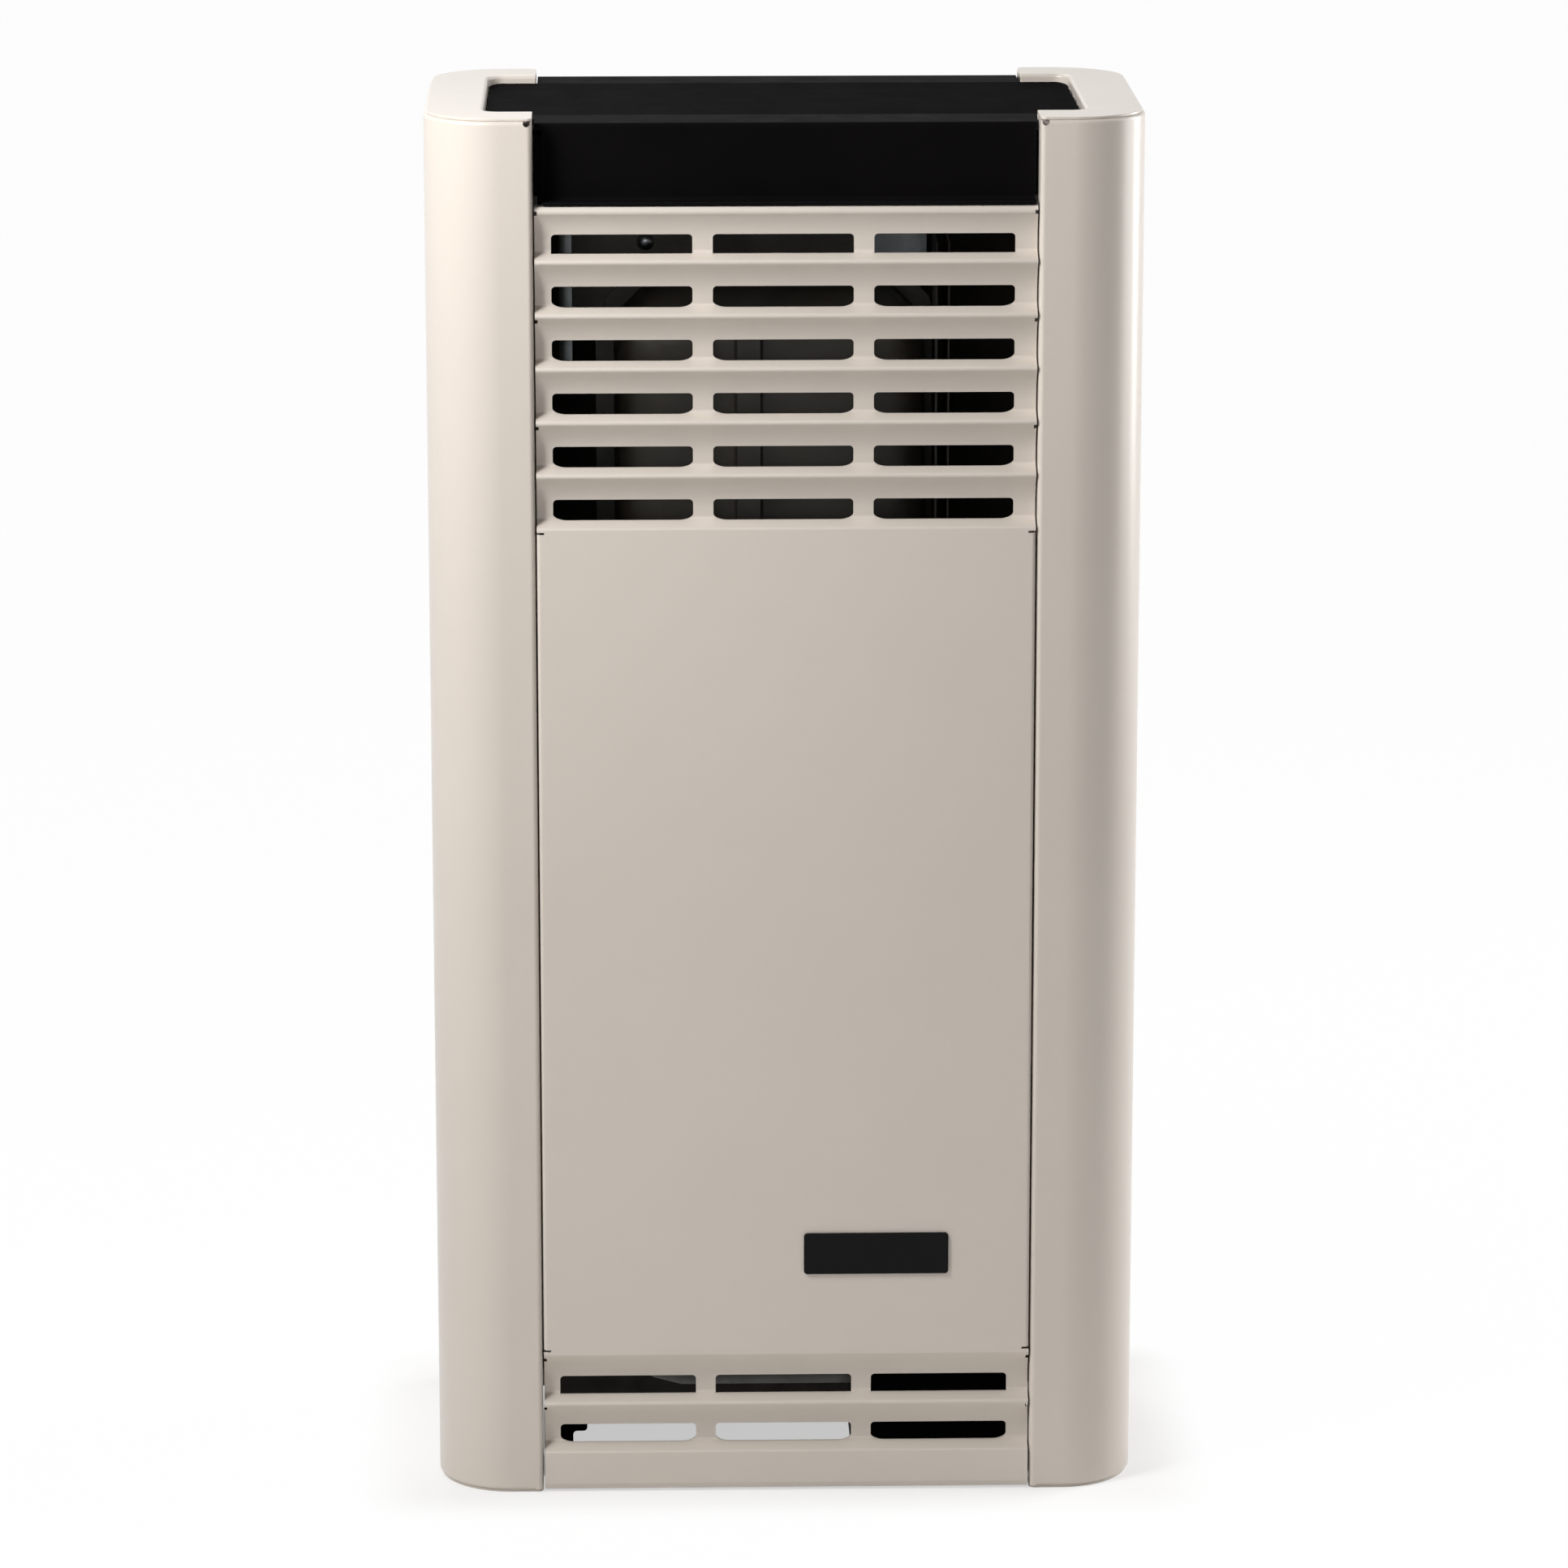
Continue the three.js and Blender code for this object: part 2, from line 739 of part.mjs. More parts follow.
// Top grille: front band with its out-turned ledge, stepped louvre top, rear down-flange.
function topGrille() {
  const ledgeZ = panelTop + 2 * seatGap + grilleSheet;
  const bandY = at(grilleBandRecess);
  const rear = rearY - seatGap;
  const corners = [
    [bandY - grilleLedgeReach, ledgeZ],
    [bandY, ledgeZ, grilleBend],
    [bandY, grilleTop, grilleBend],
  ];
  const slots = [];
  for (let k = 0; k < grilleStepCount; k += 1) {
    const stepY = bandY + grilleLipDepth + k * grillePitch;
    corners.push([stepY, grilleTop, grilleBend]);
    corners.push([stepY + grilleStepRun, grilleTop - grilleStepDrop, grilleBend]);
    for (let column = 0; column < slotColumns; column += 1) {
      const centreX = (column - (slotColumns - 1) / 2) * slotPitch;
      slots.push(block(centreX - slotWidth / 2, centreX + slotWidth / 2,
        stepY + grilleBend, stepY + grilleStepRun + grilleBend, grilleTop - cutOverrun - grilleStepDrop,
        grilleTop + cutOverrun));
    }
  }
  const lastStep = bandY + grilleLipDepth + grilleStepCount * grillePitch;
  corners.push([lastStep, grilleTop, grilleBend]);
  corners.push([rear, grilleTop, grilleBend]);
  corners.push([rear, grilleTop - grilleRearDrop]);
  const wide = casingWidth / 2 - capBand - grilleClearance;
  const narrow = columnInnerX - grilleClearance;
  const sideFront = at(capBand + grilleClearance);
  const sideRear = rearY - capBand - grilleClearance;
  const corner = columnCornerRadius - capBand - grilleClearance;
  const plan = bentPath([
    [-narrow, bandY - grilleLedgeReach - cutOverrun],
    [narrow, bandY - grilleLedgeReach - cutOverrun],
    [narrow, sideFront],
    [wide, sideFront, corner],
    [wide, sideRear, corner],
    [narrow, sideRear],
    [narrow, rearY + cutOverrun],
    [-narrow, rearY + cutOverrun],
    [-narrow, sideRear],
    [-wide, sideRear, corner],
    [-wide, sideFront, corner],
    [-narrow, sideFront],
    [-narrow, bandY - grilleLedgeReach - cutOverrun],
  ]).slice(0, -1).map(({ a, b }) => [a, b]);
  const sheet = alongX(sheetOutline(corners, -grilleSheet), -wide, wide);
  const bandLeft = grilleBandLeftGap - columnInnerX;
  const bandRight = columnInnerX - grilleBandRightGap;
  const trimTop = grilleTop - capSheet - grilleBend;
  const trimBack = bandY + grilleSheet + grilleBend;
  return cut(
    common(sheet, alongZ(plan, ledgeZ - cutOverrun, grilleTop + cutOverrun)),
    block(-wide - cutOverrun, bandLeft, frontY - cutOverrun, trimBack, ledgeZ - cutOverrun, trimTop),
    block(bandRight, wide + cutOverrun, frontY - cutOverrun, trimBack, ledgeZ - cutOverrun, trimTop),
    ...slots,
  );
}

// The sawtooth of one louvre, from the front bend above it to its valley, as path corners.
function louvreCorners(noseZ, pitch) {
  const faceRun = (louvreDepth + louvreNoseBend) / louvreDepth;
  return [
    [at(louvreDepth), noseZ - louvreDepth * faceRun, louvreFaceBend],
    [at(louvreDepth), noseZ - pitch + louvreLedgeDrop, louvreValleyBend],
  ];
}

// How far a nose corner stands off so that its bend just reaches the front plane.
function noseOffset() {
  const ledgeAngle = Math.atan2(louvreDepth, louvreLedgeDrop);
  const faceAngle = Math.PI / 4;
  return louvreNoseBend * (1 / Math.cos((ledgeAngle + faceAngle) / 2) - 1);
}

function panelCorners() {
  const corners = [[at(panelTopFlange), panelTop], [frontY, panelTop, panelTopBend]];
  for (let k = 0; k < louvreCount; k += 1) {
    const noseZ = panelTop - k * louvrePitch;
    corners.push(...louvreCorners(noseZ, louvrePitch));
    const last = k === louvreCount - 1;
    corners.push([last ? frontY : frontY - noseOffset(), noseZ - louvrePitch, louvreNoseBend]);
  }
  corners.push([frontY, lowerLouvreTop, louvreNoseBend]);
  for (let k = 0; k < lowerLouvreCount; k += 1) {
    const noseZ = lowerLouvreTop - k * lowerLouvrePitch;
    corners.push(...louvreCorners(noseZ, lowerLouvrePitch));
    const last = k === lowerLouvreCount - 1;
    corners.push([last ? frontY : frontY - noseOffset(), noseZ - lowerLouvrePitch, louvreNoseBend]);
  }
  corners.push([frontY, panelBottom, panelBottomBend]);
  corners.push([at(panelBottomFlange), panelBottom]);
  return corners;
}

function louvreRows() {
  const rows = [];
  for (let k = 0; k < louvreCount; k += 1) {
    rows.push({
      noseZ: panelTop - k * louvrePitch,
      pitch: louvrePitch,
      tabbed: k % 2 === 0,
      lowest: false,
    });
  }
  for (let k = 0; k < lowerLouvreCount; k += 1) {
    rows.push({
      noseZ: lowerLouvreTop - k * lowerLouvrePitch,
      pitch: lowerLouvrePitch,
      tabbed: true,
      lowest: k === lowerLouvreCount - 1,
    });
  }
  return rows;
}

// A slot with a straight lower edge and rounded upper corners, or with all its corners rounded.
function slotOutline(centreX, z, allRound) {
  if (allRound) {
    return roundedOutline(centreX, z + slotHeight / 2, slotWidth, slotHeight, slotCorner);
  }
  const half = slotWidth / 2;
  return bentPath([
    [centreX - half, z],
    [centreX + half, z],
    [centreX + half, z + slotHeight, slotCorner],
    [centreX - half, z + slotHeight, slotCorner],
    [centreX - half, z],
  ]).slice(0, -1).map(({ a, b }) => [a, b]);
}

// Front panel: one sheet pressed into a sawtooth of louvres above and below a flat field, with
// a row of slots along each valley, side flanges on the flat field and tabs beside the louvres.
function frontPanel() {
  const sheet = alongX(sheetOutline(panelCorners(), panelSheet), -panelHalfWidth, panelHalfWidth);
  const fieldTop = panelTop - louvreCount * louvrePitch - louvreValleyBend;
  const fieldBottom = lowerLouvreTop + louvreValleyBend;
  const tools = [];
  for (const side of [-1, 1]) {
    const [near, far] = [side * (panelHalfWidth - 2 * panelSideBend), side * (panelHalfWidth + cutOverrun)];
    tools.push(block(Math.min(near, far), Math.max(near, far), frontY - cutOverrun, at(cutOverrun),
      fieldBottom, fieldTop));
  }
  const tabs = [];
  for (const { noseZ, pitch, tabbed, lowest } of louvreRows()) {
    const valleyZ = noseZ - pitch + louvreLedgeDrop;
    for (let column = 0; column < slotColumns; column += 1) {
      const centreX = (column - (slotColumns - 1) / 2) * slotPitch;
      tools.push(alongY(slotOutline(centreX, valleyZ - louvreValleyBend / 2, lowest),
        at(louvreDepth / 2), at(louvreDepth + cutOverrun)));
    }
    if (!tabbed) {
      continue;
    }
    const tabTop = noseZ - louvreDepth;
    const tabOutline = [
      [at(louvreDepth + panelSheet / 2), tabTop],
      [at(sideTabDepth), tabTop],
      [at(sideTabDepth), valleyZ],
      [at(louvreDepth + panelSheet / 2), valleyZ],
    ];
    for (const side of [-1, 1]) {
      const edge = side * panelHalfWidth;
      const inner = edge - side * panelSheet;
      tabs.push(alongX(tabOutline, Math.min(edge, inner), Math.max(edge, inner)));
      tools.push(block(edge - reliefNotchWidth, edge + reliefNotchWidth, frontY - cutOverrun,
        at(louvreDepth + cutOverrun), noseZ - 2 * reliefNotchHeight, noseZ - reliefNotchHeight));
    }
  }
  const field = alongZ(sheetOutline([
    [-panelHalfWidth, at(panelSideFlange)],
    [-panelHalfWidth, frontY, panelSideBend],
    [panelHalfWidth, frontY, panelSideBend],
    [panelHalfWidth, at(panelSideFlange)],
  ], panelSheet), fieldBottom + panelSheet, fieldTop - panelSheet);
  return joined(cut(sheet, ...tools), field, ...tabs);
}

function badgePlate() {
  const centreX = panelHalfWidth - badgeRightInset - badgeWidth / 2;
  return alongY(roundedOutline(centreX, badgeCentreZ, badgeWidth, badgeHeight, badgeCorner),
    frontY - badgeThickness, frontY);
}

function flueOutline(radius) {
  return roundOutline(chamberCentreX, flueZ, radius, flueSides);
}

// Back panel: flat sheet on the rear of the columns with flanges between them, two beads,
// the flue opening and two wall-fixing holes.
function backPanel() {
  const half = columnInnerX + backSideLap;
  const flangeHalf = columnInnerX - seatGap;
  const inset = rearY - backFlange;
  const beadTop = flueZ - backBeadDrop;
  const sheetHeight = backTop - backBottom;
  const outline = roundedOutline(0, backBottom + sheetHeight / 2, 2 * half, sheetHeight, backBeadDepth);
  const sheet = alongY(outline, rearY, backY);
  const channel = alongX(sheetOutline([
    [inset, backBottom],
    [backY, backBottom, frameBend],
    [backY, backTop - grilleRearDrop, frameBend],
    [inset, backTop - grilleRearDrop],
  ], backSheet), -flangeHalf, flangeHalf);
  const additions = [channel];
  const tools = [alongY(flueOutline(collarRadius + 2 * seatGap), inset, backY + cutOverrun)];
  for (const side of [-1, 1]) {
    const beadX = side * (columnInnerX - backBeadInset);
    const bead = (width, from, to) => alongY(roundedOutline(beadX, (backBeadBottom + beadTop) / 2,
      width, beadTop - backBeadBottom + width, width / 2), from, to);
    additions.push(bead(backBeadWidth, rearY - backBeadDepth, rearY));
    tools.push(bead(backBeadWidth - 2 * backSheet, rearY - backBeadDepth + backSheet, backY + cutOverrun));
    const holeX = side * (columnInnerX - wallHoleInset);
    tools.push(alongY(roundOutline(holeX, casingHeight - wallHoleDrop, wallHoleRadius, roundSides),
      inset, backY + cutOverrun));
  }
  return cut(joined(sheet, ...additions), ...tools);
}

function upperCrossRail() {
  const rear = upperRailFront + upperRailDepth;
  const top = upperRailBottom + upperRailHeight - seatGap;
  const half = columnInnerX - seatGap;
  return alongX(sheetOutline([
    [at(rear), top],
    [at(upperRailFront), top, frameBend],
    [at(upperRailFront), upperRailBottom, frameBend],
    [at(rear), upperRailBottom],
  ], frameSheet), -half, half);
}

function lowerCrossRail() {
  const half = columnInnerX - seatGap;
  const rear = lowerRailFront() + lowerRailDepth;
  return alongX(sheetOutline([
    [rear, floorGap],
    [lowerRailFront(), floorGap, frameBend],
    [lowerRailFront(), floorGap + lowerRailHeight, frameBend],
    [rear, floorGap + lowerRailHeight],
  ], -frameSheet), -half, half);
}

// Base bracket: an L-shaped foot plate with an upstand beside the column's flange.
function baseBracket() {
  const outer = columnInnerX - seatGap;
  const front = at(columnFlangeDepth);
  const plate = alongZ([
    [outer, front],
    [outer, front + baseBracketDepth],
    [outer - baseBracketNeck, front + baseBracketDepth],
    [outer - baseBracketNeck, front + baseBracketStep],
    [outer - baseBracketWidth, front + baseBracketStep],
    [outer - baseBracketWidth, front],
  ], floorGap, floorGap + frameSheet);
  const upstand = block(outer - frameSheet, outer, front - frameSheet, front + baseBracketDepth,
    floorGap, floorGap + baseBracketHeight);
  return joined(plate, upstand);
}

// Pressed chamber half: a rounded tray with a drawn shoulder and a seam flange at its mouth.
function chamberShell(forward) {
  const centreZ = (chamberBottom + chamberTop) / 2;
  const height = chamberTop - chamberBottom;
  const depth = forward ? seamSetback - chamberFront : chamberRear - seamSetback;
  const mouth = at(seamSetback);
  const way = forward ? -1 : 1;
  const tray = (skin, overrun) => {
    const levels = [[-overrun, skin]];
    const shoulder = shoulderBend - skin;
    for (let k = 0; k <= cornerSegments / 2; k += 1) {
      const angle = (k / (cornerSegments / 2)) * (Math.PI / 2);
      levels.push([
        depth - shoulderBend + Math.sin(angle) * shoulder,
        skin + (1 - Math.cos(angle)) * shoulder,
      ]);
    }
    const outlines = levels.map(([, inset]) => roundedOutline(chamberCentreX, centreZ,
      chamberWidth - 2 * inset, height - 2 * inset, chamberBend - inset, cornerSegments / 2));
    const rings = levels.map(([reach], i) => outlines[i].map(([x, z]) => [x, mouth + way * reach, z]));
    return bridged(rings, outlines[0]);
  };
  const flange = roundedOutline(chamberCentreX, centreZ, chamberWidth + 2 * seamFlange,
    height + 2 * seamFlange, chamberBend + seamFlange, cornerSegments / 2);
  const ends = [mouth, mouth + way * seamSheet].sort((a, b) => a - b);
  return cut(joined(tray(0, 0), alongY(flange, ends[0], ends[1])), tray(chamberSheet, cutOverrun));
}

function wallPort(setback, z, radius) {
  return revolved(rodProfile(radius, -cutOverrun, cutOverrun), 'x', chamberRight, at(setback), z,
    holeSides);
}

// Where the pilot tube, the thermocouple lead and the ignition lead end, and how thick they are.
function pilotLines() {
  const firstX = chamberCentreX + burnerLength / 2 - pilotOffset;
  const leadZ = pilotPlateZ - 2 * pilotSpacing - thermocoupleRadius;
  return [
    { x: firstX, z: pilotPlateZ - pilotSpacing, radius: pilotTubeRadius },
    { x: firstX - pilotSpacing, z: leadZ, radius: thermocoupleLeadRadius },
    { x: firstX - 2 * pilotSpacing, z: pilotPlateZ - 3 * pilotSpacing, radius: ignitionLeadRadius },
  ];
}

function chamberFrontShell() {
  const [from, to] = [at(chamberFront - cutOverrun), at(chamberFront + cutOverrun)];
  const portOf = ({ z, radius }) => wallPort(pilotPlaneSetback, z, radius + wallHoleClearance);
  const screwHoles = doorScrewHoles().map((hole) => alongY(hole, from, to));
  return cut(
    chamberShell(true),
    alongY(doorOpening(), from, to),
    ...pilotLines().map(portOf),
    ...screwHoles,
  );
}

function chamberRearShell() {
  const [from, to] = [at(chamberRear - cutOverrun), at(chamberRear + cutOverrun)];
  const intakeZ = ductBottom + ductCorner + intakeHeight / 2;
  return cut(
    chamberShell(false),
    alongY(flueOutline(exhaustRadius + 2 * seatGap), from, to),
    alongY(roundedOutline(chamberCentreX, intakeZ, intakeWidth, intakeHeight, doorCorner), from, to),
    wallPort(burnerSetback, burnerZ, injectorRadius + seatGap),
  );
}

function chamberFrontRib() {
  const left = chamberCentreX - ribShift - ribWidth / 2;
  const right = left + ribWidth;
  const profile = [
    [left, at(chamberFront) - 2 * seatGap],
    [left + ribDepth / 4, at(chamberFront - ribDepth)],
    [right - ribDepth / 4, at(chamberFront - ribDepth)],
    [right, at(chamberFront) - 2 * seatGap],
  ];
  return alongZ(sheetOutline(profile, frameSheet), ribBottom, chamberTop - ribHeadroom);
}

function chamberHanger() {
  const left = chamberRight - hangerInset;
  const top = upperRailBottom - seatGap;
  const leg = at(seamSetback) - seamSheet - seatGap - frameSheet;
  return alongX(sheetOutline([
    [at(upperRailFront + frameBend), top],
    [leg + frameSheet, top, frameBend],
    [leg + frameSheet, chamberTop + hangerClearance],
  ], -frameSheet), left, left + hangerWidth);
}

// Flue parts
function rearAirDuct() {
  const centreZ = (ductBottom + ductTop) / 2;
  const outline = (inset) => roundedOutline(chamberCentreX, centreZ, ductWidth - 2 * inset,
    ductTop - ductBottom - 2 * inset, ductCorner - inset);
  const front = at(chamberRear) + seatGap;
  return cut(
    alongY(outline(0), front, rearY - seatGap),
    alongY(outline(ductSheet), front - cutOverrun, rearY - seatGap - ductSheet),
    alongY(flueOutline(collarRadius + 2 * seatGap), front, rearY + cutOverrun),
  );
}

function flueCollar() {
  const inner = collarRadius - collarSheet;
  const seat = rearY - 2 * seatGap - ductSheet;
  return revolved([
    [inner, backY - collarLength],
    [collarRadius, backY - collarLength],
    [collarRadius, seat - collarSheet],
    [collarRadius + collarFlange, seat - collarSheet],
    [collarRadius + collarFlange, seat],
    [collarRadius, seat],
    [collarRadius, backY],
    [inner, backY],
    [inner, backY - collarLength],
  ], 'y', chamberCentreX, 0, flueZ, flueSides);
}

function exhaustSpigot() {
  const bore = exhaustRadius - exhaustSheet;
  const seat = at(chamberRear - chamberSheet) - seatGap;
  return revolved([
    [bore, seat - exhaustSheet],
    [exhaustRadius + exhaustFlange, seat - exhaustSheet],
    [exhaustRadius + exhaustFlange, seat],
    [exhaustRadius, seat],
    [exhaustRadius, backY],
    [bore, backY],
    [bore, seat - exhaustSheet],
  ], 'y', chamberCentreX, 0, flueZ, flueSides);
}

// Burner door group
function doorScrewPlaces() {
  const places = [];
  for (const sideX of [-1, 1]) {
    for (const sideZ of [-1, 1]) {
      places.push([
        chamberCentreX + sideX * (doorWidth / 2 - doorScrewInset),
        doorCentreZ + sideZ * (doorHeight / 2 - doorScrewInset),
      ]);
    }
  }
  return places;
}

function doorScrewHoles() {
  return doorScrewPlaces().map(([x, z]) => roundOutline(x, z, sheetScrewShank + seatGap, holeSides));
}

// The opening of the chamber behind the door, which the gasket goes round.
function doorOpening() {
  return roundedOutline(chamberCentreX, doorCentreZ, doorWidth - 2 * doorLap, doorHeight - 2 * doorLap,
    doorCorner);
}

function doorSheetBody(rear, front, opening) {
  const outline = roundedOutline(chamberCentreX, doorCentreZ, doorWidth, doorHeight, doorCorner);
  return alongY(outline, front, rear, [opening, ...doorScrewHoles()]);
}

function burnerDoor() {
  const rear = at(chamberFront - doorGasket);
  return doorSheetBody(rear, rear - doorSheet, roundOutline(chamberCentreX, doorCentreZ, sightRadius));
}

function doorGasketRing() {
  return doorSheetBody(at(chamberFront), at(chamberFront - doorGasket), doorOpening());
}

function sightGlass() {
  const rear = at(chamberFront - doorGasket) - doorSheet - seatGap;
  const disc = rodProfile(sightGlassRadius, -sightGlassThickness, 0);
  return revolved(disc, 'y', chamberCentreX, rear, doorCentreZ);
}

function sightGlassRing() {
  const rear = at(chamberFront - doorGasket) - doorSheet;
  const lip = sightGlassThickness + 2 * seatGap;
  return revolved([
    [sightGlassRadius + seatGap, 0],
    [sightRingRadius, 0],
    [sightRingRadius, -sightRingThickness + burnerSheet],
    [sightRingRadius - burnerSheet, -sightRingThickness - seatGap],
    [sightRadius, -sightRingThickness - seatGap],
    [sightRadius, -lip],
    [sightGlassRadius + seatGap, -lip],
    [sightGlassRadius + seatGap, 0],
  ], 'y', chamberCentreX, rear, doorCentreZ);
}

// A pan-head sheet screw driven along +Y, its head's seat at the given point.
function sheetScrew(x, y, z) {
  return revolved([
    [0, -sheetScrewHead],
    [sheetScrewRadius - sheetScrewHead / 2, -sheetScrewHead],
    [sheetScrewRadius, -sheetScrewHead / 2],
    [sheetScrewRadius, 0],
    [sheetScrewShank, 0],
    [sheetScrewShank, sheetScrewLength - sheetScrewShank],
    [0, sheetScrewLength],
  ], 'y', x, y, z, smallSides);
}

// Burner: a closed tube with a row of flame slots across its top, narrowing to a throat and bell.
function burnerTube() {
  const left = chamberCentreX - burnerLength / 2 - burnerEndGap;
  const mouth = burnerLength + burnerThroatLength;
  const skin = burnerSheet;
  const shape = revolved([
    [0, 0],
    [burnerRadius - skin, 0],
    [burnerRadius, skin],
    [burnerRadius, burnerLength],
    [burnerThroatRadius + skin, burnerLength + burnerThroatLength / 2],
    [burnerBellRadius + skin, mouth],
    [burnerBellRadius, mouth],
    [burnerThroatRadius, burnerLength + burnerThroatLength / 2],
    [burnerRadius - skin, burnerLength],
    [burnerRadius - skin, skin],
    [0, skin],
  ], 'x', left, at(burnerSetback), burnerZ, roundSides);
  const [front, rear] = [at(burnerSetback) - burnerPortLength, at(burnerSetback) + burnerPortLength];
  const [bottom, top] = [burnerZ + burnerRadius / 3, burnerZ + burnerRadius + cutOverrun];
  const ports = [];
  for (let k = 0; k < burnerPorts; k += 1) {
    const portX = left + burnerEndGap + k * burnerPortPitch;
    ports.push(block(portX, portX + burnerPortWidth, front, rear, bottom, top));
  }
  return cut(shape, ...ports);
}

function burnerSaddle(x) {
  const floor = chamberBottom + chamberSheet + seatGap;
  const centre = at(burnerSetback);
  const half = saddleWidth / 2;
  const plate = alongX([
    [centre - half, floor],
    [centre + half, floor],
    [centre + half, burnerZ],
    [centre - half, burnerZ],
  ], x, x + saddleSheet);
  const foot = block(x, x + saddleFoot, centre - half, centre + half, floor, floor + saddleSheet);
  const cradle = revolved(rodProfile(burnerRadius + seatGap, -cutOverrun, saddleFoot + cutOverrun), 'x',
    x, centre, burnerZ);
  return cut(joined(plate, foot), cradle);
}

function injectorNozzle() {
  const tip = chamberRight + bossLength - injectorLength;
  return revolved([
    [injectorBore, 0],
    [injectorRadius - injectorBore, 0],
    [injectorRadius, injectorBore * 2],
    [injectorRadius, injectorLength],
    [injectorBore, injectorLength],
    [injectorBore, 0],
  ], 'x', tip, at(burnerSetback), burnerZ, smallSides);
}

function injectorHolder() {
  const seat = chamberRight + seatGap;
  const socket = injectorRadius + seatGap;
  const bore = mainGasTubeRadius + seatGap;
  return revolved([
    [socket, 0],
    [holderFlange, 0],
    [holderFlange, holderFlangeSheet],
    [holderRadius, holderFlangeSheet],
    [holderRadius, holderLength],
    [bore, holderLength],
    [bore, bossLength + 2 * seatGap],
    [socket, bossLength + 2 * seatGap],
    [socket, 0],
  ], 'x', seat, at(burnerSetback), burnerZ, roundSides);
}

function mainGasTube() {
  const start = chamberRight + seatGap + bossLength + 3 * seatGap;
  const end = valveLeft - bossLength - seatGap;
  return revolved(ringProfile(mainGasTubeRadius - tubeWall, mainGasTubeRadius, start, end), 'x', 0,
    at(burnerSetback), burnerZ, smallSides);
}

// Pilot group on its plate beside the burner
function pilotBracket() {
  const lines = pilotLines();
  const centreX = lines[1].x;
  const front = at(pilotPlaneSetback) - pilotSpacing;
  const rear = front + pilotPlateDepth;
  const plate = alongX(sheetOutline([
    [rear, pilotPlateZ],
    [front, pilotPlateZ, frameBend],
    [front, chamberBottom + chamberSheet + seatGap],
  ], frameSheet), centreX - pilotPlateWidth / 2, centreX + pilotPlateWidth / 2);
  const holes = lines.map(({ x }) => revolved(rodProfile(pilotHoleRadius, -cutOverrun, cutOverrun), 'z',
    x, at(pilotPlaneSetback), pilotPlateZ, roundSides));
  return cut(plate, ...holes);
}

function pilotBurner() {
  const { x } = pilotLines()[0];
  const skin = pilotBodyRadius / 3;
  const body = revolved([
    [0, -frameSheet - seatGap],
    [pilotBodyRadius, -frameSheet - seatGap],
    [pilotBodyRadius, seatGap],
    [pilotCollarRadius, seatGap],
    [pilotCollarRadius, seatGap + skin],
    [pilotBodyRadius, seatGap + skin],
    [pilotBodyRadius, pilotHeadHeight],
    [pilotBodyRadius - skin, pilotHeadHeight],
    [pilotBodyRadius - skin, pilotHeadHeight / 2],
    [0, pilotHeadHeight / 2],
  ], 'z', x, at(pilotPlaneSetback), pilotPlateZ, roundSides);
  const window = block(x - skin, x + skin, at(pilotPlaneSetback), at(pilotPlaneSetback) + cutOverrun,
    pilotPlateZ + pilotWindowShare * pilotHeadHeight, pilotPlateZ + pilotHeadHeight + cutOverrun);
  return cut(body, window);
}

function thermocoupleProbe() {
  const { x } = pilotLines()[1];
  return revolved([
    [0, -frameSheet - seatGap],
    [pilotBodyRadius, -frameSheet - seatGap],
    [pilotBodyRadius, seatGap],
    [pilotCollarRadius, seatGap],
    [pilotCollarRadius, thermocoupleRadius],
    [thermocoupleRadius, thermocoupleRadius],
    [thermocoupleRadius, thermocoupleHeight - thermocoupleRadius],
    [0, thermocoupleHeight],
  ], 'z', x, at(pilotPlaneSetback), pilotPlateZ, smallSides);
}

function sparkElectrode() {
  const { x } = pilotLines()[2];
  return revolved([
    [0, -frameSheet - seatGap],
    [pilotBodyRadius, -frameSheet - seatGap],
    [pilotBodyRadius, seatGap],
    [pilotCollarRadius, seatGap],
    [pilotCollarRadius, thermocoupleRadius],
    [pilotBodyRadius, thermocoupleRadius],
    [pilotBodyRadius - electrodePinRadius, electrodeCeramicHeight],
    [electrodePinRadius, electrodeCeramicHeight],
    [electrodePinRadius, electrodeCeramicHeight + electrodePinHeight],
    [0, electrodeCeramicHeight + electrodePinHeight + electrodePinRadius],
  ], 'z', x, at(pilotPlaneSetback), pilotPlateZ, smallSides);
}

function pilotLineTube(index) {
  const line = pilotLines()[index];
  const y = at(pilotPlaneSetback);
  const end = pilotPlateZ - frameSheet - 2 * seatGap;
  return tube([
    [valveLeft - bossLength - seatGap, y, line.z],
    [line.x, y, line.z],
    [line.x, y, end],
  ], line.radius, 2 * line.radius + electrodePinRadius, leadSides, leadSteps);
}

// The ignition lead leaves the rear of the igniter, passes under the valve and enters the chamber.
function ignitionLead() {
  const line = pilotLines()[2];
  const y = at(pilotPlaneSetback);
  const start = igniterRearX() - seatGap;
  const bend = 3 * line.radius;
  return tube([
    [start, at(controlSetback), igniterZ],
    [chamberRight + 2 * bossRadius, at(controlSetback), igniterZ],
    [chamberRight + 2 * bossRadius, y, line.z],
    [line.x, y, line.z],
    [line.x, y, pilotPlateZ - frameSheet - 2 * seatGap],
  ], line.radius, bend, leadSides, 2 * leadSteps);
}

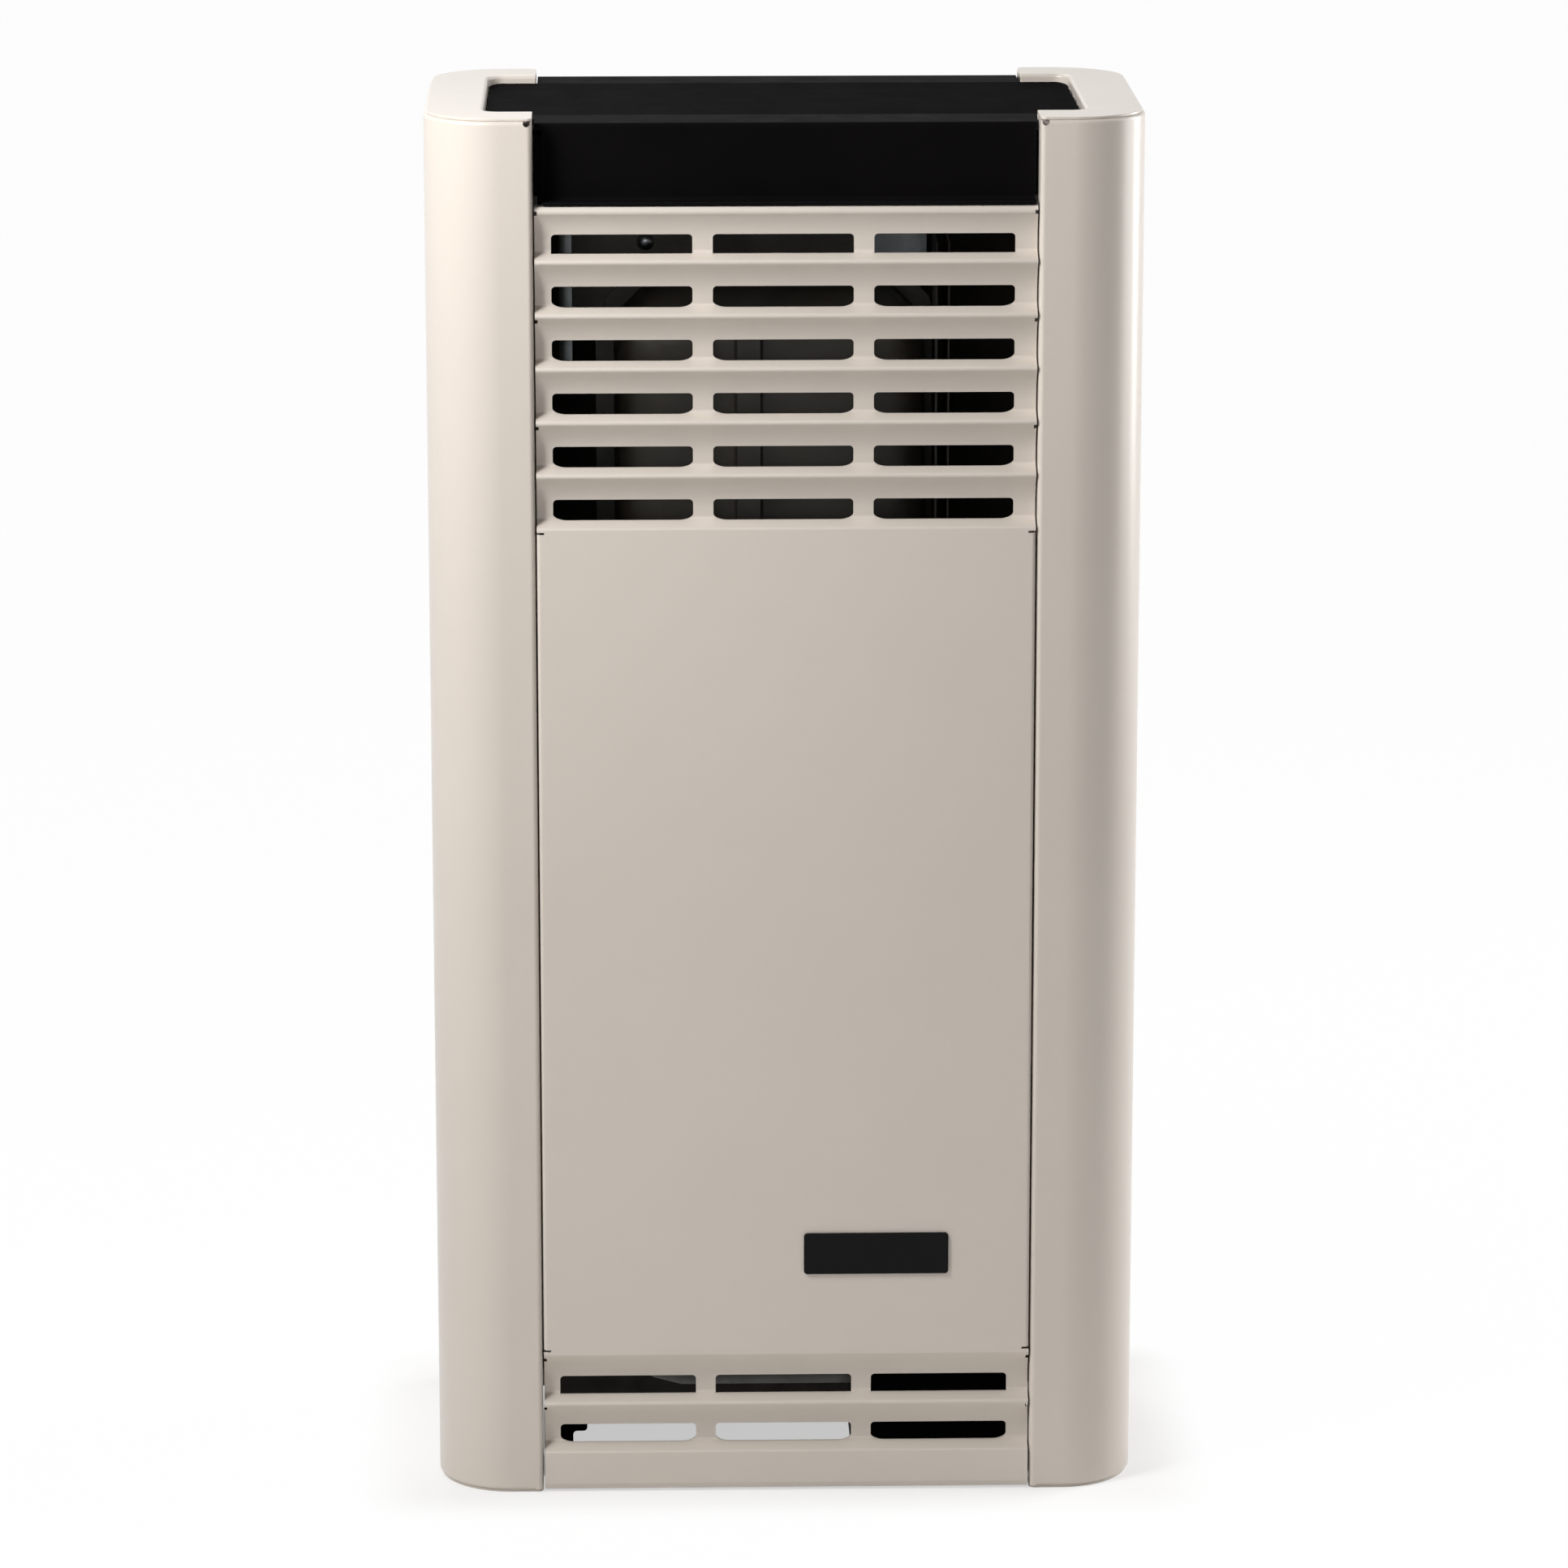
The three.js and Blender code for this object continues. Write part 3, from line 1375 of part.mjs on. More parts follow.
// Gas valve
function gasValveBody() {
  const y = at(controlSetback);
  const bottom = controlZ - valveDrop;
  const [front, rear, top] = [y - valveDepth / 2, y + valveDepth / 2, bottom + valveHeight];
  const c = valveChamfer;
  const prism = alongX([
    [front + c, bottom], [rear - c, bottom], [rear, bottom + c], [rear, top - c],
    [rear - c, top], [front + c, top], [front, top - c], [front, bottom + c],
  ], valveLeft, valveRight);
  const lines = pilotLines();
  const boss = (setback, z, radius) => revolved(rodProfile(radius, -bossLength, cutOverrun), 'x',
    valveLeft, at(setback), z, smallSides);
  const inlet = revolved(rodProfile(inletNutRadius, -cutOverrun, bossLength), 'y',
    valveLeft + valveWidth / 2, rear, bottom + inletRise, smallSides);
  const bore = revolved(rodProfile(plugRadius + plugClearance, -plugLength - 2 * seatGap, cutOverrun), 'x',
    valveRight, y, controlZ);
  const bosses = [
    boss(burnerSetback, burnerZ, bossRadius),
    boss(pilotPlaneSetback, lines[0].z, smallBossRadius),
    boss(pilotPlaneSetback, lines[1].z, smallBossRadius),
  ];
  return cut(joined(prism, inlet, ...bosses), bore);
}

function valvePlug() {
  const y = at(controlSetback);
  const right = valveRight - seatGap;
  const body = revolved(rodProfile(plugRadius, right - plugLength, right), 'x', 0, y, controlZ);
  const slotEnd = right - tangLength - knobTravel - cutOverrun / 2;
  const slot = block(slotEnd, right + cutOverrun, y - plugSlotWidth / 2, y + plugSlotWidth / 2,
    controlZ - plugSlotHeight / 2, controlZ + plugSlotHeight / 2);
  const port = revolved(rodProfile(plugPortRadius, -2 * plugRadius, 2 * plugRadius), 'z',
    right - plugLength + plugPortRadius + bossLength / 2, y, controlZ, smallSides);
  return cut(body, slot, port);
}

// Bonnet: a hexagonal nut that closes the valve's bore and guides the spindle.
function valveBonnet() {
  const y = at(controlSetback);
  const hexRadius = bonnetAcrossFlats / Math.sqrt(3);
  return alongX(roundOutline(y, controlZ, hexRadius, 6), valveRight, valveRight + bonnetLength,
    [roundOutline(y, controlZ, bonnetBore, roundSides)]);
}

function knobBackX() {
  return trayFloorX + trayWall + knobTravel + 2 * seatGap;
}

function knobFrontX() {
  return knobBackX() + knobThickness;
}

// Spindle: a round bar with a driving tang in the plug and a flat for the knob.
function knobSpindle() {
  const y = at(controlSetback);
  const tangEnd = valveRight - seatGap - tangLength;
  const barStart = valveRight + knobTravel;
  const end = knobFrontX() - knobFace;
  const bar = revolved([
    [0, barStart],
    [spindleRadius, barStart],
    [spindleRadius, end - seatGap],
    [spindleRadius - seatGap, end],
    [0, end],
  ], 'x', 0, y, controlZ, roundSides);
  const tang = block(tangEnd, barStart + seatGap, y - tangWidth / 2, y + tangWidth / 2,
    controlZ - tangThickness / 2, controlZ + tangThickness / 2);
  const flat = block(knobBackX(), end + cutOverrun, y - cutOverrun, y + cutOverrun,
    controlZ + spindleFlat, controlZ + cutOverrun);
  return cut(joined(bar, tang), flat);
}

// Knob: a fluted skirt with a pointer bar across its face and a hub bored for the spindle.
function controlKnob() {
  const y = at(controlSetback);
  const [back, front] = [knobBackX(), knobFrontX()];
  const outline = [];
  const steps = knobFluteCount * 4;
  for (let k = 0; k < steps; k += 1) {
    const angle = (k / steps) * Math.PI * 2;
    const radius = knobRadius - (knobFluteDepth / 2) * (1 + Math.cos(angle * knobFluteCount));
    outline.push([y + Math.cos(angle) * radius, controlZ + Math.sin(angle) * radius]);
  }
  const faceX = front - knobPointerRise;
  const skirt = alongX(outline, back, faceX);
  const pointerLength = 2 * (knobRadius - 2 * knobFluteDepth);
  const pointer = alongX(roundedOutline(y, controlZ, knobPointerWidth, pointerLength, knobPointerWidth / 2),
    faceX - knobFace / 2, front);
  const rod = (radius, from, to) => revolved(rodProfile(radius, from, to), 'x', 0, y, controlZ, roundSides);
  const hollow = rod(knobRadius - knobFace, back - cutOverrun, faceX - knobFace);
  const hub = rod(knobHubRadius, back - knobHubLength, faceX - knobFace / 2);
  const bore = cut(
    rod(spindleRadius + seatGap, back - knobHubLength - cutOverrun, front - knobFace + seatGap),
    block(back, front, y - cutOverrun, y + cutOverrun, controlZ + spindleFlat + seatGap,
      controlZ + cutOverrun),
  );
  return cut(joined(cut(joined(skirt, pointer), hollow), hub), bore);
}

function knobSpring() {
  const start = valveRight + bonnetLength + seatGap;
  const end = knobBackX() - knobHubLength - seatGap;
  return coilSpring(start, end, at(controlSetback), controlZ, knobSpringRadius, knobSpringWire,
    knobSpringTurns);
}

// Control tray: a dished plastic recess behind the window of the right column.
function controlTray() {
  const y = at(controlSetback);
  const mouth = casingWidth / 2 - columnSheet - seatGap;
  const outline = (grow) => roundedOutline(y, trayCentreZ, trayWidth + 2 * grow, trayHeight + 2 * grow,
    trayCorner + grow);
  const walls = alongX(outline(0), trayFloorX, mouth);
  const flange = alongX(outline(trayFlange), mouth - trayWall, mouth);
  const hollow = alongX(outline(-trayWall), trayFloorX + trayWall, mouth + cutOverrun);
  const spindleHole = revolved(rodProfile(knobHubRadius + 4 * seatGap, -cutOverrun, cutOverrun), 'x',
    trayFloorX, y, controlZ);
  const igniterHole = revolved(rodProfile(igniterRadius + seatGap, -cutOverrun, cutOverrun), 'x',
    trayFloorX, y, igniterZ);
  return cut(joined(walls, flange), hollow, spindleHole, igniterHole);
}

// Igniter
function igniterFlangeX() {
  return trayFloorX + trayWall + seatGap;
}

function igniterRearX() {
  return igniterFlangeX() + igniterFlangeSheet - igniterLength;
}

function igniterBoreEnd() {
  return igniterFlangeX() + igniterFlangeSheet + igniterTravel + 2 * seatGap - igniterStemLength
    - igniterTravel - 2 * (igniterSpringTurns + 2) * igniterSpringWire;
}

function igniterBody() {
  const front = igniterFlangeX() + igniterFlangeSheet;
  return revolved([
    [0, igniterRearX()],
    [igniterRadius - igniterFlangeSheet, igniterRearX()],
    [igniterRadius, igniterRearX() + igniterFlangeSheet],
    [igniterRadius, igniterFlangeX()],
    [igniterFlange, igniterFlangeX()],
    [igniterFlange, front - igniterFlangeSheet / 2],
    [igniterFlange - igniterFlangeSheet / 2, front],
    [igniterBore, front],
    [igniterBore, igniterBoreEnd()],
    [0, igniterBoreEnd()],
  ], 'x', 0, at(controlSetback), igniterZ, roundSides);
}

function igniterButton() {
  const front = igniterFlangeX() + igniterFlangeSheet;
  const headBack = front + igniterTravel + 2 * seatGap;
  return revolved([
    [0, headBack - igniterStemLength],
    [igniterStemRadius, headBack - igniterStemLength],
    [igniterStemRadius, headBack],
    [igniterHeadRadius, headBack],
    [igniterHeadRadius, headBack + igniterHeadLength - igniterFlangeSheet],
    [igniterHeadRadius - igniterFlangeSheet, headBack + igniterHeadLength],
    [0, headBack + igniterHeadLength + seatGap],
  ], 'x', 0, at(controlSetback), igniterZ, roundSides);
}

function igniterSpring() {
  const stemEnd = igniterFlangeX() + igniterFlangeSheet + igniterTravel + 2 * seatGap - igniterStemLength;
  return coilSpring(igniterBoreEnd() + seatGap, stemEnd - seatGap, at(controlSetback), igniterZ,
    igniterSpringRadius, igniterSpringWire, igniterSpringTurns);
}

function lowerRailFront() {
  return rearY - backFlange - seatGap - lowerRailDepth;
}

function inletY() {
  return lowerRailFront() - inletRailGap - inletNutRadius;
}

// Gas inlet: a pipe from the valve's rear face down to an open end with a union nut.
function gasInletPipe() {
  const x = valveLeft + valveWidth / 2;
  const start = at(controlSetback) + valveDepth / 2 + bossLength + seatGap;
  const z = controlZ - valveDrop + inletRise;
  return tube([
    [x, start, z],
    [x, inletY(), z],
    [x, inletY(), inletEndZ],
  ], inletRadius, inletBend, pipeSides, leadSteps);
}

function inletUnionNut() {
  const x = valveLeft + valveWidth / 2;
  return alongZ(roundOutline(x, inletY(), inletNutRadius, 6), inletEndZ, inletEndZ + inletNutLength,
    [roundOutline(x, inletY(), inletRadius + seatGap, roundSides)]);
}

// Valve bracket: front web, floor web and a post that the valve stands on.
function valveBracket() {
  const web = alongX(sheetOutline([
    [at(bracketFront), bracketTop],
    [at(bracketFront), bracketRise, frameBend],
    [at(controlSetback) + valveDepth / 2 + bracketRearLap, bracketRise],
  ], frameSheet), bracketLeft, bracketRight);
  const side = block(bracketLeft, bracketLeft + frameSheet, at(bracketFront),
    at(seamSetback) - seamSheet - bracketToSeam, bracketRise, chamberBottom - seatGap);
  const postFront = at(controlSetback) + valveDepth / 2 - valveChamfer - 2 * frameSheet;
  const post = block(valveLeft, bracketRight, postFront, postFront + frameSheet, bracketRise,
    controlZ - valveDrop - seatGap);
  return joined(web, side, post);
}

// Thermostat phial in the return air, with the capillary that joins it to the valve.
function thermostatPhial() {
  const y = lowerRailFront() - seatGap - phialRadius;
  const phialLeft = phialInset - columnInnerX;
  const phialRight = phialLeft + phialLength;
  const bulb = revolved([
    [0, phialLeft],
    [phialRadius / 2, phialLeft],
    [phialRadius, phialLeft + phialRadius / 2],
    [phialRadius, phialRight - phialRadius],
    [capillaryRadius, phialRight],
    [0, phialRight],
  ], 'x', 0, y, phialZ, smallSides);
  const x = valveRight - valveChamfer;
  const capillary = tube([
    [x, at(pilotPlaneSetback), controlZ - valveDrop - seatGap],
    [x, at(pilotPlaneSetback), phialZ],
    [x, y, phialZ],
    [phialRight - capillaryRadius, y, phialZ],
  ], capillaryRadius, capillaryBend, leadSides, 2 * leadSteps);
  return joined(bulb, capillary);
}

// Sheet-metal carriers and shields
function rightHeatShield() {
  const rear = at(seamSetback) - seamSheet - seatGap;
  const left = chamberRight + shieldGap;
  return alongZ(sheetOutline([
    [left, at(shieldFront)],
    [left, rear, frameBend],
    [left + shieldWidth, rear, frameBend],
    [left + shieldWidth, at(shieldFront)],
  ], -shieldSheet), shieldBottom, chamberTop + shieldRise);
}

function leftHangerStrip() {
  const left = stripInset - columnInnerX;
  const top = upperRailBottom - seatGap;
  return alongZ(sheetOutline([
    [left + stripWidth, at(stripFront)],
    [left, at(stripFront), frameBend],
    [left, at(stripFront + stripDepth)],
  ], frameSheet), top - stripLength, top);
}

function deflectorScrewPlace() {
  const x = deflectorSideInset - columnInnerX + deflectorScrewInset;
  return [x, at(chamberRear), chamberTop - deflectorLap + deflectorScrewRise];
}

function hotAirDeflector() {
  const back = at(chamberRear) + seatGap;
  const sheet = alongX(sheetOutline([
    [back, chamberTop - deflectorLap],
    [back, chamberTop + deflectorRise, 2 * frameBend],
    [at(deflectorFront), casingHeight - deflectorHeadroom],
  ], -frameSheet), deflectorSideInset - columnInnerX, chamberRight);
  const [screwX, , screwZ] = deflectorScrewPlace();
  const hole = alongY(roundOutline(screwX, screwZ, sheetScrewShank + seatGap, smallSides),
    back - cutOverrun, back + cutOverrun);
  return cut(sheet, hole);
}

// Assembly
const heater = new THREE.Group();
heater.name = 'gas_heater';

function add(name, geometry, material) {
  const whole = geometryOf(solidOf(geometry));
  whole.computeVertexNormals();
  const mesh = new THREE.Mesh(whole, material);
  mesh.name = name;
  heater.add(mesh);
}

add('left_side_column', mirroredX(sideColumn()), beigePaint);
add('right_side_column', rightColumn(), beigePaint);
add('left_top_cap', mirroredX(endCap()), capPaint);
add('right_top_cap', endCap(), capPaint);
add('left_bottom_cap', mirroredX(mirroredZ(endCap())), beigePaint);
add('right_bottom_cap', mirroredZ(endCap()), beigePaint);
add('top_grille', topGrille(), blackPaint);
add('front_panel', frontPanel(), beigePaint);
add('badge_plate', badgePlate(), badgeGloss);
add('back_panel', backPanel(), zincSheet);
add('upper_cross_rail', upperCrossRail(), zincSheet);
add('lower_cross_rail', lowerCrossRail(), zincSheet);
add('left_base_bracket', mirroredX(baseBracket()), blackPaint);
add('right_base_bracket', baseBracket(), blackPaint);
add('left_hanger_strip', leftHangerStrip(), zincSheet);
add('right_heat_shield', rightHeatShield(), zincSheet);
add('hot_air_deflector', hotAirDeflector(), blackPaint);
add('deflector_screw', sheetScrew(...deflectorScrewPlace()), screwSteel);
add('chamber_front_shell', chamberFrontShell(), chamberPaint);
add('chamber_rear_shell', chamberRearShell(), chamberPaint);
add('chamber_front_rib', chamberFrontRib(), chamberPaint);
add('chamber_hanger', chamberHanger(), zincSheet);
add('rear_air_duct', rearAirDuct(), zincSheet);
add('flue_collar', flueCollar(), zincSheet);
add('exhaust_spigot', exhaustSpigot(), stainless);
add('burner_door', burnerDoor(), chamberPaint);
add('burner_door_gasket', doorGasketRing(), gasketFibre);
add('sight_glass', sightGlass(), clearGlass);
add('sight_glass_ring', sightGlassRing(), stainless);
doorScrewPlaces().forEach(([x, z], i) => {
  const screw = sheetScrew(x, at(chamberFront - doorGasket) - doorSheet, z);
  add(`burner_door_screw_${i + 1}`, screw, screwSteel);
});
add('burner_tube', burnerTube(), stainless);
add('burner_saddle_left', burnerSaddle(chamberCentreX - burnerLength / 3), zincSheet);
add('burner_saddle_right', burnerSaddle(chamberCentreX + burnerLength / 6), zincSheet);
add('injector_holder', injectorHolder(), brass);
add('injector_nozzle', injectorNozzle(), brass);
add('main_gas_tube', mainGasTube(), copper);
add('pilot_bracket', pilotBracket(), zincSheet);
add('pilot_burner', pilotBurner(), stainless);
add('thermocouple', thermocoupleProbe(), copper);
add('spark_electrode', sparkElectrode(), ceramic);
add('pilot_gas_tube', pilotLineTube(0), copper);
add('thermocouple_lead', pilotLineTube(1), copper);
add('ignition_lead', ignitionLead(), leadSilicone);
add('valve_bracket', valveBracket(), blackPaint);
add('gas_valve_body', gasValveBody(), castAluminium);
add('valve_bonnet', valveBonnet(), brass);
add('valve_plug', valvePlug(), brass);
add('knob_spindle', knobSpindle(), screwSteel);
add('knob_spring', knobSpring(), springSteel);
add('control_knob', controlKnob(), knobPlastic);
add('control_tray', controlTray(), trayPlastic);
add('igniter_body', igniterBody(), knobPlastic);
add('igniter_spring', igniterSpring(), springSteel);
add('igniter_button', igniterButton(), buttonPlastic);
add('gas_inlet_pipe', gasInletPipe(), copper);
add('inlet_union_nut', inletUnionNut(), brass);
add('thermostat_phial', thermostatPhial(), copper);

export default heater;
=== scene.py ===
"""Dresses a room-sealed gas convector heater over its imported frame, for a studio picture.

Lengths in the sub-assembly classes are in millimetres, as on a drawing, and become metres where a
mesh is made. Each piece is drawn at its own place in the heater: X to the right, Y to the back, Z
up, from the middle of the underside.
"""

from __future__ import annotations

import json
import logging
import math
from collections.abc import Iterable, Sequence
from dataclasses import dataclass, field, replace
from enum import Enum

import bmesh
import bpy
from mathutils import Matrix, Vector

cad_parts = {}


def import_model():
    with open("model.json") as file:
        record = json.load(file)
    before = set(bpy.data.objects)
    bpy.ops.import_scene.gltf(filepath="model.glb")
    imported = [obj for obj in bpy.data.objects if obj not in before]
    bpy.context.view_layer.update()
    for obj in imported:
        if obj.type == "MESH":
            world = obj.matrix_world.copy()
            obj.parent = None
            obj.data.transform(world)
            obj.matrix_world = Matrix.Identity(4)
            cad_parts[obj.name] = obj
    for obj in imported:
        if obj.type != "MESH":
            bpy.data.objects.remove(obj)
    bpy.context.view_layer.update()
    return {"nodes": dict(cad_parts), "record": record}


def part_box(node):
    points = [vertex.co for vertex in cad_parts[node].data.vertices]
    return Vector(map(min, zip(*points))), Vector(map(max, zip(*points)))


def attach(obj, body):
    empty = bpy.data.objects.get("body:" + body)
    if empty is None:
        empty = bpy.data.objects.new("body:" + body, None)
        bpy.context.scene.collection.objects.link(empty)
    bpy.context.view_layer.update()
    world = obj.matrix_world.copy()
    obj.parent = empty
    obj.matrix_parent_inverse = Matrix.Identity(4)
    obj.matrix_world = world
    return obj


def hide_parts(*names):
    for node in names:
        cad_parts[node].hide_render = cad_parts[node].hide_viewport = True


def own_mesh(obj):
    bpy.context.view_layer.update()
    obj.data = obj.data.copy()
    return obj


LOG = logging.getLogger("gas_heater")

MM = 0.001
MM_PER_METRE = 1000.0
PHOTO_WIDTH = 1932
SENSOR_WIDTH = 36.0

# Facets of a bend: their usual length in mm, the most of them and the fewest.
FACET_MM = 0.35
MOST_FACETS = 28
FEWEST_FACETS = 4

# Facets of a quarter round that is drawn point by point.
QUARTER_STEPS = 8

# Points of a drawn mesh closer than this many mm are one, and the round end of a bar keeps this
# much of its flat side, so that its two curves never meet in one point.
WELD_MM = 1e-4
LEAST_FLAT_MM = 0.01

# Points of a frame mesh closer than this many metres are one, and it is creased where it turns by
# more than this many degrees.
FRAME_WELD_M = 1e-6
FRAME_CREASE = 50.0

# Nearly all values of a noise texture lie between these.
NOISE_LOW = 0.3
NOISE_HIGH = 0.7

# How well a rounded normal agrees with the true one where an edge starts to show, and where it
# shows in full.
EDGE_STARTS = 0.99
EDGE_IS_FULL = 0.75

Tree = bpy.types.NodeTree
Socket = bpy.types.NodeSocket
Point2 = tuple[float, float]
Corner = tuple[float, float, float]
Sample = tuple[float, float, float, float]
Corners = list[tuple[float, ...]]
Settings = dict[str | int, object]


class Body(Enum):
    """The bodies of the frame that pieces ride on."""

    CASING = "casing"
    KNOB = "control_knob"
    BUTTON = "igniter_button"


class Axis(Enum):
    """The direction in which an outline is drawn out."""

    X = "x"
    Y = "y"
    Z = "z"


# Colour and node helpers


def linear(hex_colour: str) -> tuple[float, float, float, float]:
    """Turns an sRGB hex colour into the linear colour that a shader works in.

    Args:
        hex_colour: Six hex digits, red first.

    Returns:
        Linear red, green, blue and an alpha of one.
    """
    shares = [int(hex_colour[i : i + 2], 16) / 255 for i in (0, 2, 4)]
    red, green, blue = (s / 12.92 if s <= 0.04045 else ((s + 0.055) / 1.055) ** 2.4 for s in shares)
    return red, green, blue, 1.0


def per_metre(size_mm: float) -> float:
    """Gives the texture scale whose pattern repeats about every size_mm."""
    return MM_PER_METRE / size_mm


def add_node(
    tree: Tree,
    kind: str,
    settings: Settings | None = None,
    links: dict[str | int, Socket] | None = None,
) -> bpy.types.Node:
    """Adds a node to a tree with its settings and incoming links.

    Args:
        tree: The node tree to build in.
        kind: Blender's identifier of the node type.
        settings: Values of the node's properties, or of its input sockets by name or number.
        links: The output sockets that feed this node's input sockets, by name or number.

    Returns:
        The new node.
    """
    node = tree.nodes.new(kind)
    for name, value in (settings or {}).items():
        if isinstance(name, str) and hasattr(node, name):
            setattr(node, name, value)
        else:
            node.inputs[name].default_value = value
    for name, source in (links or {}).items():
        tree.links.new(source, node.inputs[name])
    return node


# Finishes


@dataclass(frozen=True)
class Finish:
    """What every finish shares: its base colour, gloss and the way it varies over a surface.

    Args:
        name: The material's name: what it is and how its surface was made.
        slot: The record's slot that the finish belongs to.
        colour: Main sRGB colour.
        shade: Second sRGB colour that the surface drifts towards in soft clouds.
        cloud_mm: Width of those clouds.
        cloud_share: How much of the second colour shows in them, zero to one.
        roughness: Mean roughness of the surface.
        roughness_drift: How far the roughness wanders either way.
        metallic: One for bare metal, zero for paint, plastic, ceramic and glass.
        ior: Index of refraction of a surface that is no metal.
        specular: Strength of its plain reflection, where one half is a clean surface.
    """

    name: str
    slot: str
    colour: str
    shade: str
    cloud_mm: float = 60.0
    cloud_share: float = 0.35
    roughness: float = 0.4
    roughness_drift: float = 0.05
    metallic: float = 0.0
    ior: float = 1.5
    specular: float = 0.5

    def material(self) -> bpy.types.Material:
        """Builds the material, once.

        Returns:
            The new material, or the one that was built before.
        """
        made = bpy.data.materials.get(self.name)
        if made:
            return made
        made = bpy.data.materials.new(self.name)
        made.use_nodes = True
        tree = made.node_tree
        tree.nodes.clear()
        place = add_node(tree, "ShaderNodeTexCoord").outputs["Object"]
        shader = add_node(
            tree,
            "ShaderNodeBsdfPrincipled",
            {"Metallic": self.metallic, "IOR": self.ior, "Specular IOR Level": self.specular},
            {
                "Base Color": self.colour_socket(tree, place),
                "Roughness": self.roughness_socket(tree, place),
            },
        )
        relief = self.relief_socket(tree, place)
        if relief is not None:
            tree.links.new(relief, shader.inputs["Normal"])
        self.finish_shader(shader)
        add_node(tree, "ShaderNodeOutputMaterial", None, {"Surface": shader.outputs["BSDF"]})
        made.diffuse_color = linear(self.colour)
        return made

    def colour_socket(self, tree: Tree, place: Socket) -> Socket:
        """Mixes the main colour with its shade in soft clouds.

        Args:
            tree: The material's node tree.
            place: Coordinates on the object, in metres.

        Returns:
            The socket that carries the colour.
        """
        cloud = add_node(
            tree,
            "ShaderNodeTexNoise",
            {"Scale": per_metre(self.cloud_mm), "Detail": 4.0, "Roughness": 0.55},
            {"Vector": place},
        )
        amount = add_node(
            tree,
            "ShaderNodeMapRange",
            {"From Min": NOISE_LOW, "From Max": NOISE_HIGH, "To Max": self.cloud_share},
            {"Value": cloud.outputs["Fac"]},
        )
        mix = add_node(
            tree,
            "ShaderNodeMix",
            {"data_type": "RGBA", 6: linear(self.colour), 7: linear(self.shade)},
            {0: amount.outputs["Result"]},
        )
        return mix.outputs[2]

    def roughness_socket(self, tree: Tree, place: Socket) -> Socket:
        """Lets the roughness wander, as handling and dust do.

        Args:
            tree: The material's node tree.
            place: Coordinates on the object, in metres.

        Returns:
            The socket that carries the roughness.
        """
        smear = add_node(
            tree,
            "ShaderNodeTexNoise",
            {"Scale": per_metre(self.cloud_mm / 3), "Detail": 6.0, "Roughness": 0.6},
            {"Vector": place},
        )
        span = add_node(
            tree,
            "ShaderNodeMapRange",
            {
                "From Min": NOISE_LOW,
                "From Max": NOISE_HIGH,
                "To Min": self.roughness - self.roughness_drift,
                "To Max": self.roughness + self.roughness_drift,
            },
            {"Value": smear.outputs["Fac"]},
        )
        return span.outputs["Result"]

    def bump_socket(
        self, tree: Tree, place: Socket, width_mm: float, height_mm: float, noise: Point2
    ) -> Socket:
        """Draws a noise as a bump.

        Args:
            tree: The material's node tree.
            place: Coordinates on the object, in metres.
            width_mm: Width of the noise's largest forms.
            height_mm: Height of the bump.
            noise: How many finer layers the noise has, and how strong they are.

        Returns:
            The socket that carries the bent normal.
        """
        detail, roughness = noise
        forms = add_node(
            tree,
            "ShaderNodeTexNoise",
            {"Scale": per_metre(width_mm), "Detail": detail, "Roughness": roughness},
            {"Vector": place},
        )
        bump = add_node(
            tree,
            "ShaderNodeBump",
            {"Strength": 1.0, "Distance": height_mm * MM},
            {"Height": forms.outputs["Fac"]},
        )
        return bump.outputs["Normal"]

    def relief_socket(self, tree: Tree, place: Socket) -> Socket | None:
        """Gives the surface relief, which a plain finish doesn't have."""
        return None

    def finish_shader(self, shader: bpy.types.Node) -> None:
        """Sets what only this finish has on its shader, which is nothing for a plain one."""


